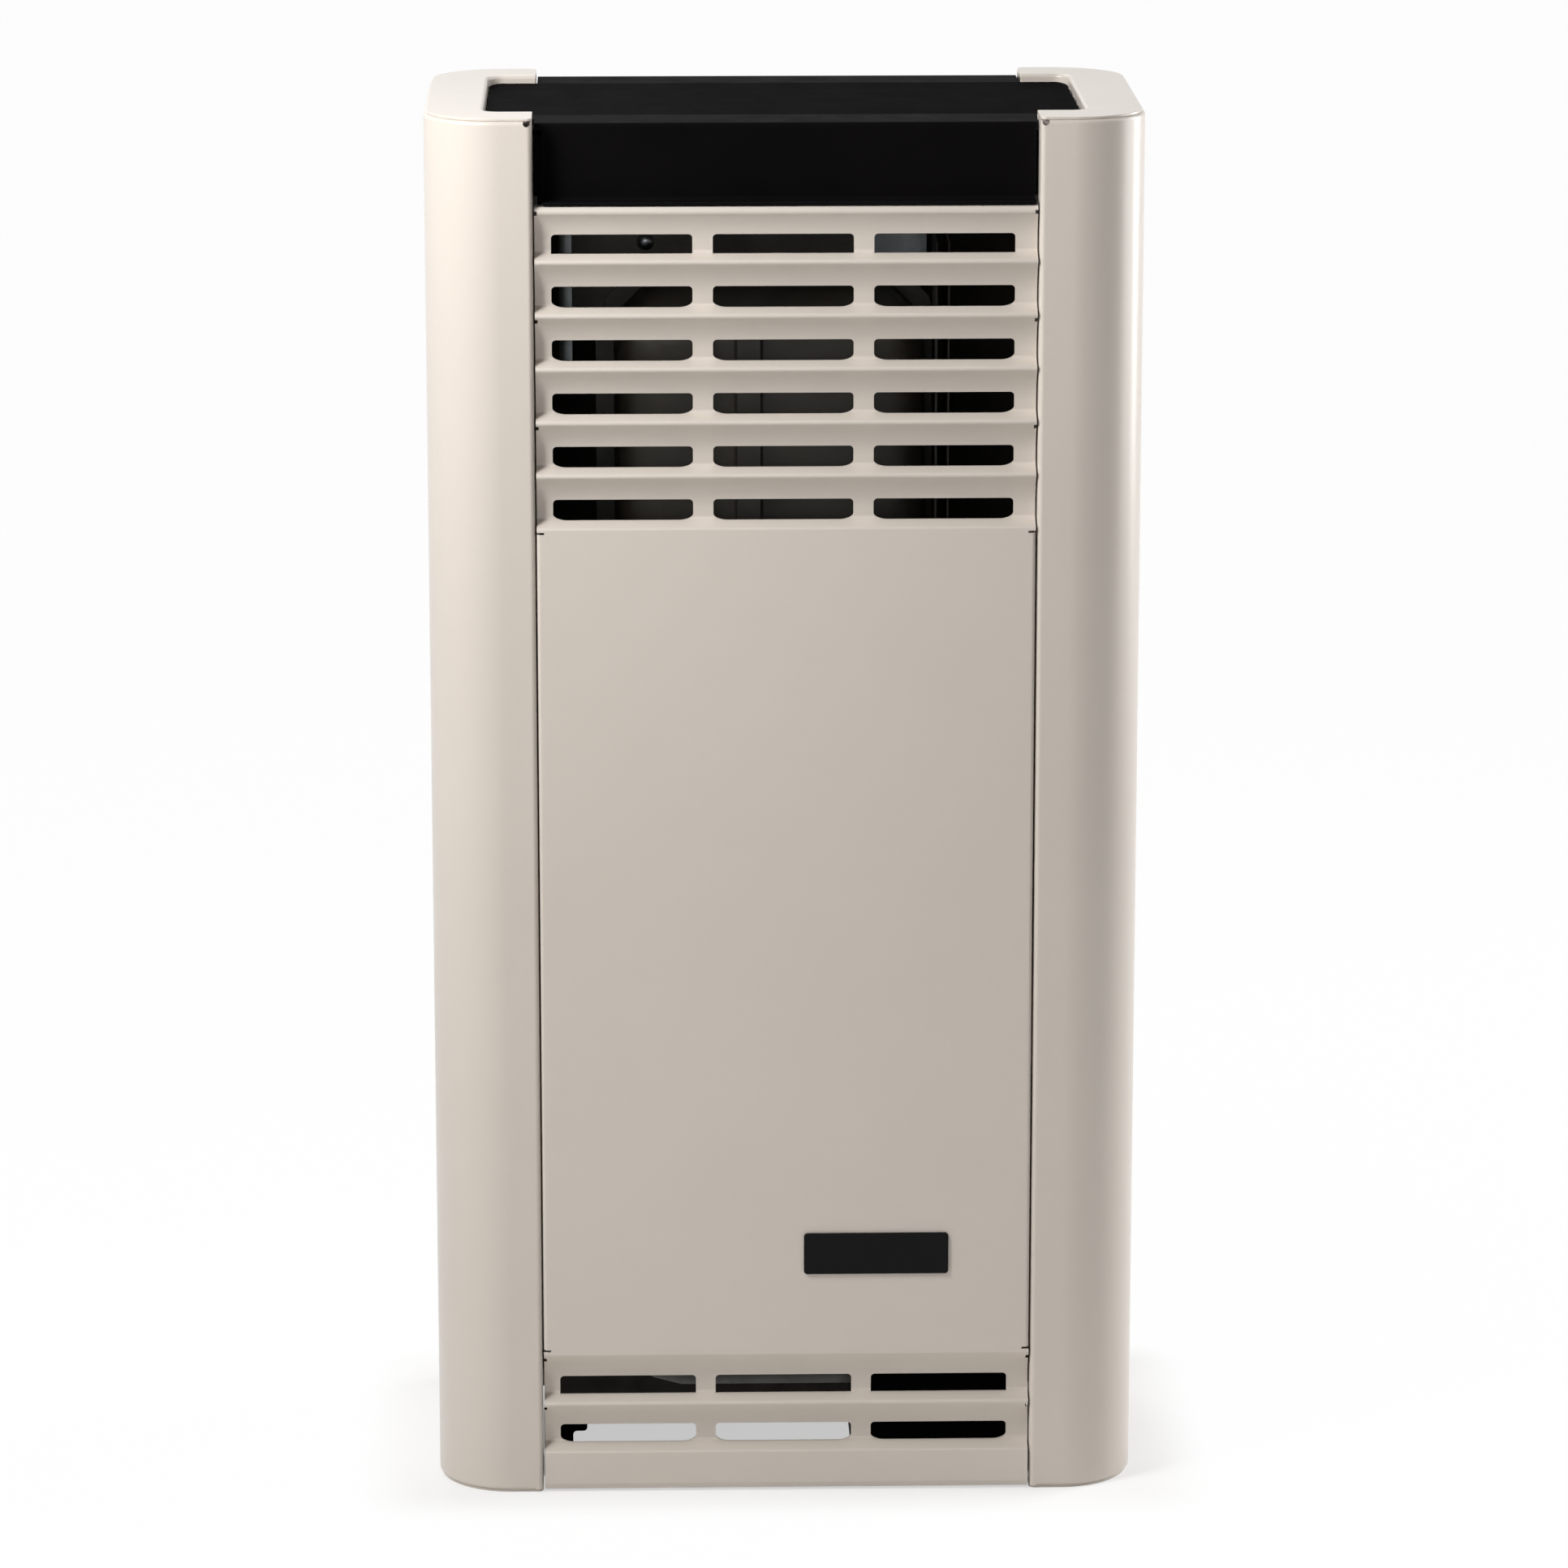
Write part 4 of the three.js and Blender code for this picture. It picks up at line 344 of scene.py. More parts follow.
@dataclass(frozen=True)
class SprayedFinish(Finish):
    """A sprayed and stoved coat, whose skin keeps a fine ripple and thins on sharp edges.

    Args:
        ripple_mm: Pitch of the ripple.
        ripple_height_mm: Height of the ripple.
        edge: sRGB colour that shows through on sharp edges.
        edge_mm: How far the thin edge reaches.
        edge_share: How much of the edge colour shows.
        coat: Weight of the clear skin that gives the coat its second, sharper gloss.
        coat_roughness: Roughness of that skin.
    """

    ripple_mm: float = 1.6
    ripple_height_mm: float = 0.012
    edge: str = "d8d0c5"
    edge_mm: float = 0.6
    edge_share: float = 0.4
    coat: float = 0.0
    coat_roughness: float = 0.2

    def colour_socket(self, tree: Tree, place: Socket) -> Socket:
        """Adds the thin edges to the clouds: where a rounded normal leaves the true one.

        Args:
            tree: The material's node tree.
            place: Coordinates on the object, in metres.

        Returns:
            The socket that carries the colour.
        """
        clouds = super().colour_socket(tree, place)
        rounded = add_node(tree, "ShaderNodeBevel", {"samples": 4, "Radius": self.edge_mm * MM})
        flat = add_node(tree, "ShaderNodeNewGeometry")
        match = add_node(
            tree,
            "ShaderNodeVectorMath",
            {"operation": "DOT_PRODUCT"},
            {0: rounded.outputs["Normal"], 1: flat.outputs["Normal"]},
        )
        worn = add_node(
            tree,
            "ShaderNodeMapRange",
            {"From Min": EDGE_STARTS, "From Max": EDGE_IS_FULL, "To Max": self.edge_share},
            {"Value": match.outputs["Value"]},
        )
        mix = add_node(
            tree,
            "ShaderNodeMix",
            {"data_type": "RGBA", 7: linear(self.edge)},
            {0: worn.outputs["Result"], 6: clouds},
        )
        return mix.outputs[2]

    def relief_socket(self, tree: Tree, place: Socket) -> Socket | None:
        """Draws the ripple of the sprayed skin."""
        return self.bump_socket(tree, place, self.ripple_mm, self.ripple_height_mm, (2.0, 0.4))

    def finish_shader(self, shader: bpy.types.Node) -> None:
        """Gives the shader its clear skin."""
        shader.inputs["Coat Weight"].default_value = self.coat
        shader.inputs["Coat Roughness"].default_value = self.coat_roughness


@dataclass(frozen=True)
class SpangledFinish(Finish):
    """Hot-dip zinc on sheet steel: flat crystals, each of its own brightness.

    Args:
        metallic: One, as it is bare metal.
        spangle_mm: Width of a crystal.
        spangle_share: How much the crystals differ from each other.
    """

    metallic: float = 1.0
    spangle_mm: float = 6.0
    spangle_share: float = 0.5

    def colour_socket(self, tree: Tree, place: Socket) -> Socket:
        """Gives each crystal its own brightness over the soft clouds.

        Args:
            tree: The material's node tree.
            place: Coordinates on the object, in metres.

        Returns:
            The socket that carries the colour.
        """
        clouds = super().colour_socket(tree, place)
        crystals = add_node(
            tree, "ShaderNodeTexVoronoi", {"Scale": per_metre(self.spangle_mm)}, {"Vector": place}
        )
        tone = add_node(
            tree,
            "ShaderNodeMapRange",
            {"To Max": self.spangle_share},
            {"Value": crystals.outputs["Color"]},
        )
        mix = add_node(
            tree,
            "ShaderNodeMix",
            {"data_type": "RGBA", 7: linear(self.shade)},
            {0: tone.outputs["Result"], 6: clouds},
        )
        return mix.outputs[2]


@dataclass(frozen=True)
class BrushedFinish(Finish):
    """Metal that kept the lines of drawing, rolling or turning along one axis.

    Args:
        metallic: One, as it is bare metal.
        along: The axis that the lines follow.
        line_mm: Distance between lines. The real ones lie about 0.05 mm apart, too fine to show,
            so they are drawn this coarse.
        line_height_mm: Depth of the lines.
        stretch: How much longer than wide a line is.
    """

    metallic: float = 1.0
    along: Axis = Axis.Z
    line_mm: float = 0.5
    line_height_mm: float = 0.01
    stretch: float = 40.0

    def relief_socket(self, tree: Tree, place: Socket) -> Socket | None:
        """Draws the lines as a noise that is stretched along its axis.

        Args:
            tree: The material's node tree.
            place: Coordinates on the object, in metres.

        Returns:
            The socket that carries the bent normal.
        """
        squeeze = tuple(1 / self.stretch if axis is self.along else 1.0 for axis in Axis)
        drawn = add_node(tree, "ShaderNodeMapping", {"Scale": squeeze}, {"Vector": place})
        lines = drawn.outputs["Vector"]
        return self.bump_socket(tree, lines, self.line_mm, self.line_height_mm, (3.0, 0.5))


@dataclass(frozen=True)
class GrainyFinish(Finish):
    """A cast, moulded, fibrous or dusty surface with an even grain.

    Args:
        grain_mm: Width of a grain. Mould grain and dust are some 0.1 mm wide, too fine to show, so
            they are drawn this coarse.
        grain_height_mm: Height of a grain.
        sheen: Weight of the soft glow of fibres seen edge-on.
    """

    grain_mm: float = 0.8
    grain_height_mm: float = 0.03
    sheen: float = 0.0

    def relief_socket(self, tree: Tree, place: Socket) -> Socket | None:
        """Draws the grain."""
        return self.bump_socket(tree, place, self.grain_mm, self.grain_height_mm, (5.0, 0.65))

    def finish_shader(self, shader: bpy.types.Node) -> None:
        """Gives the shader its sheen."""
        shader.inputs["Sheen Weight"].default_value = self.sheen


@dataclass(frozen=True)
class ClearFinish(Finish):
    """Glass that light passes through, with a faint smear on its face.

    Args:
        transmission: Share of the light that isn't held back by the smear.
    """

    transmission: float = 0.9

    def finish_shader(self, shader: bpy.types.Node) -> None:
        """Makes the shader let light through."""
        shader.inputs["Transmission Weight"].default_value = self.transmission


# Stoved polyester enamel on sheet steel, sprayed: an even champagne skin, half gloss, with a fine
# ripple that softens its reflections.
CHAMPAGNE_ENAMEL = SprayedFinish(
    name="champagne_stoved_enamel",
    slot="beige_paint",
    colour="d3cac0",
    shade="ccc2b8",
    cloud_mm=140.0,
    cloud_share=0.5,
    roughness=0.34,
    roughness_drift=0.04,
    coat=0.25,
    coat_roughness=0.22,
)

# Heat-resisting black enamel, sprayed: a flat satin black whose edges wear to dark grey.
BLACK_ENAMEL = SprayedFinish(
    name="black_stoved_enamel",
    slot="black_paint",
    colour="0e0d0e",
    shade="151314",
    cloud_mm=50.0,
    roughness=0.45,
    specular=0.0015,
    ripple_mm=1.0,
    edge="2b292b",
    edge_share=0.7,
)

# The same enamel above the chamber, baked dull; its pale grey colour is painted light, so that it
# still shows as grey where little light falls.
ENAMEL_WITH_PAINTED_LIGHT = GrainyFinish(
    name="heat_dulled_enamel_with_painted_light",
    slot="black_paint",
    colour="aaa6a1",
    shade="8c8883",
    cloud_mm=40.0,
    cloud_share=0.8,
    roughness=0.62,
    roughness_drift=0.1,
    specular=0.3,
    grain_mm=0.7,
    grain_height_mm=0.02,
)

# The same enamel low in the casing, where it stays cool: near-black with a brown bloom of dust.
SHADED_ENAMEL = replace(
    ENAMEL_WITH_PAINTED_LIGHT,
    name="dusty_black_enamel",
    colour="4a453f",
    shade="36322d",
    cloud_mm=30.0,
    roughness=0.65,
    grain_mm=0.6,
)

# Dark high-temperature enamel on pressed steel, dipped and fired: olive black with browned clouds.
CHAMBER_ENAMEL = SprayedFinish(
    name="olive_black_fired_enamel",
    slot="chamber_enamel",
    colour="24231e",
    shade="332c22",
    cloud_mm=45.0,
    cloud_share=0.7,
    roughness=0.5,
    roughness_drift=0.1,
    ripple_mm=2.2,
    ripple_height_mm=0.04,
    edge="3a372f",
    edge_share=0.6,
)

# Hot-dip zinc on rolled sheet: cool grey crystals of uneven brightness.
ZINC_SHEET = SpangledFinish(
    name="hot_dip_zinc_sheet",
    slot="zinc_sheet",
    colour="b4b7b7",
    shade="8d9294",
    roughness=0.42,
    roughness_drift=0.08,
)

# The same sheet inside the casing: dulled to a flatter finish, and a darker grey that is painted
# shade.
SHADE_DARKENED_ZINC = replace(
    ZINC_SHEET,
    name="zinc_sheet_darkened_as_painted_shade",
    colour="8a8e90",
    shade="63686a",
    roughness=0.55,
    roughness_drift=0.1,
)

# The inner face of the back sheet, the duct and the heat shield: a near-black brown that is painted
# shade for the deep shade inside the casing.
SHADE_BLACKENED_ZINC = GrainyFinish(
    name="zinc_sheet_blackened_as_painted_shade",
    slot="zinc_sheet",
    colour="35322f",
    shade="4a4641",
    cloud_mm=35.0,
    cloud_share=0.7,
    roughness=0.7,
    roughness_drift=0.1,
    specular=0.2,
    grain_height_mm=0.02,
)

# Cold-rolled stainless sheet, straw-tinted by heat, with lines along the tube.
STAINLESS = BrushedFinish(
    name="rolled_stainless_steel",
    slot="stainless",
    colour="a39c90",
    shade="8a7a66",
    cloud_share=0.5,
    roughness=0.32,
    along=Axis.Y,
)

# Bright zinc plate on a cold-headed screw: smooth and slightly blue.
PLATED_SCREW = BrushedFinish(
    name="zinc_plated_screw_steel",
    slot="screw_steel",
    colour="bcbec2",
    shade="9a9da3",
    cloud_mm=8.0,
    roughness=0.3,
    along=Axis.Y,
    line_mm=0.3,
)

# Hard-drawn spring wire: dark, oiled, with lines along the wire.
SPRING_WIRE = BrushedFinish(
    name="hard_drawn_spring_wire",
    slot="spring_steel",
    colour="8f9295",
    shade="6f7275",
    cloud_mm=5.0,
    roughness=0.28,
    along=Axis.X,
    line_mm=0.25,
)

# Turned brass: warm yellow with rings from the tool.
TURNED_BRASS = BrushedFinish(
    name="turned_brass",
    slot="brass",
    colour="c2a15c",
    shade="9c7c41",
    cloud_mm=12.0,
    roughness=0.3,
    line_mm=0.35,
)

# Drawn copper tube: red-brown, dulled in patches by handling.
DRAWN_COPPER = BrushedFinish(
    name="drawn_copper_tube",
    slot="copper",
    colour="b5714a",
    shade="7d4a32",
    cloud_mm=14.0,
    cloud_share=0.6,
    roughness=0.36,
    along=Axis.X,
    line_mm=0.4,
)

# Die-cast aluminium: pale grey with the fine grain of the die.
CAST_ALUMINIUM = GrainyFinish(
    name="die_cast_aluminium",
    slot="cast_aluminium",
    colour="a9abab",
    shade="919495",
    cloud_mm=18.0,
    metallic=1.0,
    roughness=0.48,
    grain_mm=0.6,
)

# Black acrylic sheet with a polished face: deep gloss and next to no grain.
BADGE_ACRYLIC = SprayedFinish(
    name="polished_black_acrylic",
    slot="badge_gloss",
    colour="060606",
    shade="0b0a0a",
    cloud_mm=25.0,
    roughness=0.14,
    roughness_drift=0.04,
    ior=1.49,
    specular=0.12,
    ripple_mm=6.0,
    ripple_height_mm=0.01,
    edge="1d1c1c",
    edge_mm=0.4,
)

# Moulded phenolic: near-black, half matt, with the fine grain of its mould.
PHENOLIC = GrainyFinish(
    name="moulded_black_phenolic",
    slot="black_plastic",
    colour="1b1a1b",
    shade="232122",
    cloud_mm=20.0,
    roughness=0.42,
    ior=1.6,
    grain_mm=0.5,
    grain_height_mm=0.015,
)

# Moulded ABS button: saturated red, smooth and half gloss.
RED_ABS = GrainyFinish(
    name="moulded_red_abs",
    slot="red_plastic",
    colour="a6231a",
    shade="8b1a14",
    cloud_mm=8.0,
    roughness=0.3,
    ior=1.54,
    grain_mm=0.4,
    grain_height_mm=0.006,
)

# Cream enamel filled into a groove: the only pale mark on the knob, thick and a little dulled.
LINE_PAINT = GrainyFinish(
    name="cream_filled_line",
    slot="ceramic",
    colour="e4dcc8",
    shade="cfc5ac",
    cloud_mm=3.0,
    roughness=0.45,
    grain_mm=0.3,
    grain_height_mm=0.01,
)

# Glazed alumina: warm white with a wet gloss.
GLAZED_CERAMIC = GrainyFinish(
    name="glazed_alumina",
    slot="ceramic",
    colour="e9e4d8",
    shade="d8cfbd",
    cloud_mm=6.0,
    roughness=0.2,
    ior=1.6,
    grain_mm=1.2,
    grain_height_mm=0.008,
)

# Pressed ceramic fibre: matt, off-white and furred.
FIBRE_GASKET = GrainyFinish(
    name="pressed_ceramic_fibre",
    slot="gasket_fibre",
    colour="cfc9ba",
    shade="b3a993",
    cloud_mm=7.0,
    roughness=0.95,
    roughness_drift=0.03,
    grain_mm=0.5,
    grain_height_mm=0.12,
    sheen=0.3,
)

# Extruded silicone sleeve: dull brick red.
SILICONE_SLEEVE = GrainyFinish(
    name="extruded_red_silicone",
    slot="silicone",
    colour="94302a",
    shade="772620",
    cloud_mm=10.0,
    roughness=0.6,
    ior=1.43,
    grain_mm=0.7,
    grain_height_mm=0.02,
)

# Toughened borosilicate glass: clear, with a faint bloom from the burner.
SIGHT_GLASS = ClearFinish(
    name="toughened_borosilicate_glass",
    slot="glass",
    colour="f4f6f4",
    shade="e6e4da",
    cloud_mm=10.0,
    roughness=0.06,
    roughness_drift=0.04,
    ior=1.47,
)

# A frame piece gets the finish of its slot in the record, unless it stands inside the casing, where
# its colour carries painted shade, or painted light on the deflector.
SLOT_FINISHES: dict[str, Finish] = {
    finish.slot: finish
    for finish in (
        CHAMPAGNE_ENAMEL,
        BLACK_ENAMEL,
        CHAMBER_ENAMEL,
        ZINC_SHEET,
        STAINLESS,
        PLATED_SCREW,
        SPRING_WIRE,
        TURNED_BRASS,
        DRAWN_COPPER,
        CAST_ALUMINIUM,
        BADGE_ACRYLIC,
        PHENOLIC,
        RED_ABS,
        GLAZED_CERAMIC,
        FIBRE_GASKET,
        SILICONE_SLEEVE,
        SIGHT_GLASS,
    )
}
CHANGED_FINISHES: dict[str, Finish] = {
    "hot_air_deflector": ENAMEL_WITH_PAINTED_LIGHT,
    "lower_cross_rail": SHADE_DARKENED_ZINC,
    "left_hanger_strip": SHADE_DARKENED_ZINC,
    "chamber_hanger": SHADE_DARKENED_ZINC,
    "burner_saddle_left": SHADE_DARKENED_ZINC,
    "burner_saddle_right": SHADE_DARKENED_ZINC,
    "pilot_bracket": SHADE_DARKENED_ZINC,
    "right_heat_shield": SHADE_BLACKENED_ZINC,
    "rear_air_duct": SHADE_BLACKENED_ZINC,
}


# Mesh helpers


def smooth_group() -> Tree:
    """Builds the geometry tree that welds a frame mesh and shades it smooth up to its creases.

    Returns:
        The node tree for a Nodes modifier.
    """
    name = "weld_and_shade"
    made = bpy.data.node_groups.get(name)
    if made:
        return made
    tree = bpy.data.node_groups.new(name, "GeometryNodeTree")
    tree.interface.new_socket("Geometry", in_out="INPUT", socket_type="NodeSocketGeometry")
    tree.interface.new_socket("Geometry", in_out="OUTPUT", socket_type="NodeSocketGeometry")
    start = add_node(tree, "NodeGroupInput")
    weld = add_node(
        tree,
        "GeometryNodeMergeByDistance",
        {"Distance": FRAME_WELD_M},
        {"Geometry": start.outputs[0]},
    )
    angle = add_node(tree, "GeometryNodeInputMeshEdgeAngle")
    below = add_node(
        tree,
        "FunctionNodeCompare",
        {"data_type": "FLOAT", "operation": "LESS_EQUAL", 1: math.radians(FRAME_CREASE)},
        {0: angle.outputs["Unsigned Angle"]},
    )
    faces = add_node(
        tree,
        "GeometryNodeSetShadeSmooth",
        {"domain": "FACE", "Shade Smooth": True},
        {"Geometry": weld.outputs["Geometry"]},
    )
    edges = add_node(
        tree,
        "GeometryNodeSetShadeSmooth",
        {"domain": "EDGE"},
        {"Geometry": faces.outputs["Geometry"], "Shade Smooth": below.outputs["Result"]},
    )
    add_node(tree, "NodeGroupOutput", None, {0: edges.outputs["Geometry"]})
    return tree


def even_normals(shaded: bpy.types.Object) -> None:
    """Weighs an object's normals by the area of its faces, so that flat faces look flat.

    Args:
        shaded: The object.
    """
    normals = shaded.modifiers.new("even_normals", "WEIGHTED_NORMAL")
    normals.mode = "FACE_AREA"
    normals.keep_sharp = True


def shade_frame_node(node: bpy.types.Object) -> None:
    """Rounds a frame node's shading over its bends and keeps its folds crisp."""
    node.modifiers.new("weld_and_shade", "NODES").node_group = smooth_group()
    even_normals(node)


# Solid modelling in millimetres


class Cut(Enum):
    """What one solid does to another."""

    JOIN = "UNION"
    TAKE = "DIFFERENCE"
    KEEP = "INTERSECT"


def heading(start: Sequence[float], end: Sequence[float]) -> Point2:
    """Gives the unit direction from one point of a path to the next.

    Args:
        start: The one point.
        end: The next.

    Returns:
        The direction.
    """
    run, rise = end[0] - start[0], end[1] - start[1]
    length = math.hypot(run, rise)
    return run / length, rise / length


def facets(arc: float, facet_mm: float = FACET_MM) -> int:
    """Gives the number of facets for an arc of that many mm."""
    return min(MOST_FACETS, max(FEWEST_FACETS, math.ceil(arc / facet_mm)))


def bent_path(corners: Sequence[Sequence[float]], facet_mm: float = FACET_MM) -> list[Sample]:
    """Walks a path of corners and rounds its bends.

    Args:
        corners: Corner points, each with an optional bend radius.
        facet_mm: Longest facet wanted along a bend.

    Returns:
        Points along the path, each with its left-hand normal.
    """
    samples: list[Sample] = []
    for i, (a, b, *rest) in enumerate(corners):
        into = heading(corners[i - 1], corners[i]) if i else None
        out = heading(corners[i], corners[i + 1]) if i + 1 < len(corners) else None
        if into is None or out is None:
            along = into or out
            samples.append((a, b, -along[1], along[0]))
            continue
        cosine = into[0] * out[0] + into[1] * out[1]
        turn = math.atan2(into[0] * out[1] - into[1] * out[0], cosine)
        radius = rest[0] if rest else 0.0
        if radius == 0.0:
            stretch = 1 + cosine
            samples.append((a, b, -(into[1] + out[1]) / stretch, (into[0] + out[0]) / stretch))
            continue
        side = math.copysign(1.0, turn)
        run = radius * math.tan(abs(turn) / 2)
        centre_a = a - into[0] * run - into[1] * radius * side
        centre_b = b - into[1] * run + into[0] * radius * side
        steps = facets(abs(turn) * radius, facet_mm)
        for k in range(steps + 1):
            angle = turn * k / steps
            na = -into[1] * math.cos(angle) - into[0] * math.sin(angle)
            nb = into[0] * math.cos(angle) - into[1] * math.sin(angle)
            samples.append((centre_a - na * radius * side, centre_b - nb * radius * side, na, nb))
    return samples


def sheet_outline(corners: Sequence[Sequence[float]], thickness: float) -> list[Point2]:
    """Draws the closed section of a bent sheet.

    Args:
        corners: Corners of its reference face, with bend radii.
        thickness: Sheet thickness, laid to the left of the path, or to the right if negative.

    Returns:
        The closed outline.
    """
    samples = bent_path(corners)
    face = [(a, b) for a, b, _, _ in samples]
    back = [(a + na * thickness, b + nb * thickness) for a, b, na, nb in samples]
    return face + back[::-1]


def rounded_outline(centre: Point2, width: float, height: float, radius: float) -> list[Point2]:
    """Draws a rectangle with rounded corners.

    Args:
        centre: Its middle.
        width: Its size in the first direction.
        height: Its size in the second direction.
        radius: Corner radius.

    Returns:
        The closed outline.
    """
    steps = facets(math.pi / 2 * radius)
    outline = []
    for corner, (side_a, side_b) in enumerate(((1, 1), (-1, 1), (-1, -1), (1, -1))):
        for k in range(steps + 1):
            angle = (corner + k / steps) * math.pi / 2
            a = centre[0] + side_a * (width / 2 - radius) + math.cos(angle) * radius
            b = centre[1] + side_b * (height / 2 - radius) + math.sin(angle) * radius
            outline.append((a, b))
    return outline


def round_outline(centre: Point2, radius: float, sides: int = 48) -> list[Point2]:
    """Draws a circle of straight sides."""
    turns = [(k + 0.5) / sides * math.tau for k in range(sides)]
    return [(centre[0] + math.cos(t) * radius, centre[1] + math.sin(t) * radius) for t in turns]


@dataclass
class Solid:
    """A closed surface.

    Args:
        points: Its points, in millimetres.
        faces: The corners of each face, as places in points.
    """

    points: list[Corner] = field(default_factory=list)
    faces: list[tuple[int, ...]] = field(default_factory=list)

    def mesh(self, name: str, scale: float = MM) -> bpy.types.Mesh:
        """Makes a mesh whose faces all look outwards.

        Args:
            name: The mesh's name.
            scale: Mesh units per millimetre.

        Returns:
            The new mesh.
        """
        mesh = bpy.data.meshes.new(name)
        mesh.from_pydata([tuple(c * scale for c in p) for p in self.points], [], self.faces)
        shell = bmesh.new()
        shell.from_mesh(mesh)
        bmesh.ops.remove_doubles(shell, verts=shell.verts, dist=WELD_MM * scale)
        bmesh.ops.recalc_face_normals(shell, faces=shell.faces)
        shell.to_mesh(mesh)
        shell.free()
        return mesh

    def mirrored(self, axis: Axis, plane: float = 0.0) -> Solid:
        """Gives the mirror image across a plane square to an axis.

        Args:
            axis: The axis.
            plane: Where the plane crosses it.

        Returns:
            The mirror image.
        """
        place = list(Axis).index(axis)
        points = [
            tuple(2 * plane - c if i == place else c for i, c in enumerate(p)) for p in self.points
        ]
        return Solid(points, [face[::-1] for face in self.faces])

    def moved(self, x: float, y: float, z: float) -> Solid:
        """Gives a copy at another place."""
        return Solid([(p[0] + x, p[1] + y, p[2] + z) for p in self.points], self.faces)


def gathered(solids: Iterable[Solid]) -> Solid:
    """Puts solids that don't touch into one.

    Args:
        solids: The solids.

    Returns:
        The one.
    """
    whole = Solid()
    for solid in solids:
        start = len(whole.points)
        whole.points.extend(solid.points)
        whole.faces.extend(tuple(i + start for i in face) for face in solid.faces)
    return whole


def skinned(points: list[Corner], count: int) -> Solid:
    """Skins a row of closed sections and closes its two ends.

    Args:
        points: The points of the sections, one section after another.
        count: Number of points in a section.

    Returns:
        The solid.
    """
    faces: list[tuple[int, ...]] = []
    last = len(points) - count
    for here in range(last):
        beside = here + 1 if (here + 1) % count else here + 1 - count
        faces.append((here, beside, beside + count, here + count))
    faces.append(tuple(range(count))[::-1])
    faces.append(tuple(range(last, last + count)))
    return Solid(points, faces)


def prism(outline: Sequence[Point2], axis: Axis, start: float, end: float) -> Solid:
    """Draws a closed outline out along an axis.

    Args:
        outline: Points in (y, z), (x, z) or (x, y) for the axes X, Y and Z.
        axis: The direction of the length.
        start: Where the length starts.
        end: Where it ends.

    Returns:
        The solid.
    """
    place = list(Axis).index(axis)
    points = [(*p[:place], level, *p[place:]) for level in (start, end) for p in outline]
    return skinned(points, len(outline))


def block(low: Corner, high: Corner) -> Solid:
    """Makes a box between two corners, as a tool that cuts."""
    outline = [(low[0], low[1]), (high[0], low[1]), (high[0], high[1]), (low[0], high[1])]
    return prism(outline, Axis.Z, low[2], high[2])


def swept(path: Sequence[Sample], profile: Sequence[Point2]) -> Solid:
    """Carries a closed profile of (inset along the normal, z) along a plan path."""
    points = [(a + na * inset, b + nb * inset, z) for a, b, na, nb in path for inset, z in profile]
    return skinned(points, len(profile))


def turned(
    profile: Sequence[Point2], axis: Axis, centre: Point2, sides: int = 96, closed: bool = True
) -> Solid:
    """Turns a profile of (radius, length) about an axis.

    Args:
        profile: The section, from one end to the other.
        axis: The axis that it turns about.
        centre: Where the axis crosses the plane square to it.
        sides: Facets round the axis.
        closed: Whether the profile is a ring that comes back to its start.

    Returns:
        The solid.
    """
    place = list(Axis).index(axis)
    count = len(profile)
    points = []
    for k in range(sides):
        cosine, sine = math.cos(k / sides * math.tau), math.sin(k / sides * math.tau)
        for radius, along in profile:
            across = (centre[0] + cosine * radius, centre[1] + sine * radius)
            points.append((*across[:place], along, *across[place:]))
    faces: list[tuple[int, ...]] = []
    for k in range(sides):
        beside = (k + 1) % sides
        for j in range(count if closed else count - 1):
            nxt = (j + 1) % count
            faces.append((k * count + j, k * count + nxt, beside * count + nxt, beside * count + j))
    return Solid(points, faces)


def rod(radius: float, axis: Axis, centre: Point2, start: float, end: float) -> Solid:
    """Makes a plain round bar, as a tool that bores."""
    return prism(round_outline(centre, radius), axis, start, end)


def carved(base: Solid, *steps: tuple[Cut, Solid]) -> Solid:
    """Joins, cuts and trims a solid with others, one after another.

    Args:
        base: The solid to start from.
        steps: What to do, and with which solid.

    Returns:
        The finished solid.
    """
    collection = bpy.context.scene.collection
    objects = [bpy.data.objects.new("base", base.mesh("base", 1.0))]
    collection.objects.link(objects[0])
    for cut, tool in steps:
        holder = bpy.data.objects.new("tool", tool.mesh("tool", 1.0))
        collection.objects.link(holder)
        objects.append(holder)
        boolean = objects[0].modifiers.new(cut.name, "BOOLEAN")
        boolean.operation = cut.value
        boolean.solver = "MANIFOLD"
        boolean.object = holder
    bpy.context.view_layer.update()
    result = objects[0].evaluated_get(bpy.context.evaluated_depsgraph_get()).data
    points = [tuple(vertex.co) for vertex in result.vertices]
    finished = Solid(points, [tuple(face.vertices) for face in result.polygons])
    for holder in objects:
        mesh = holder.data
        bpy.data.objects.remove(holder)
        bpy.data.meshes.remove(mesh)
    return finished


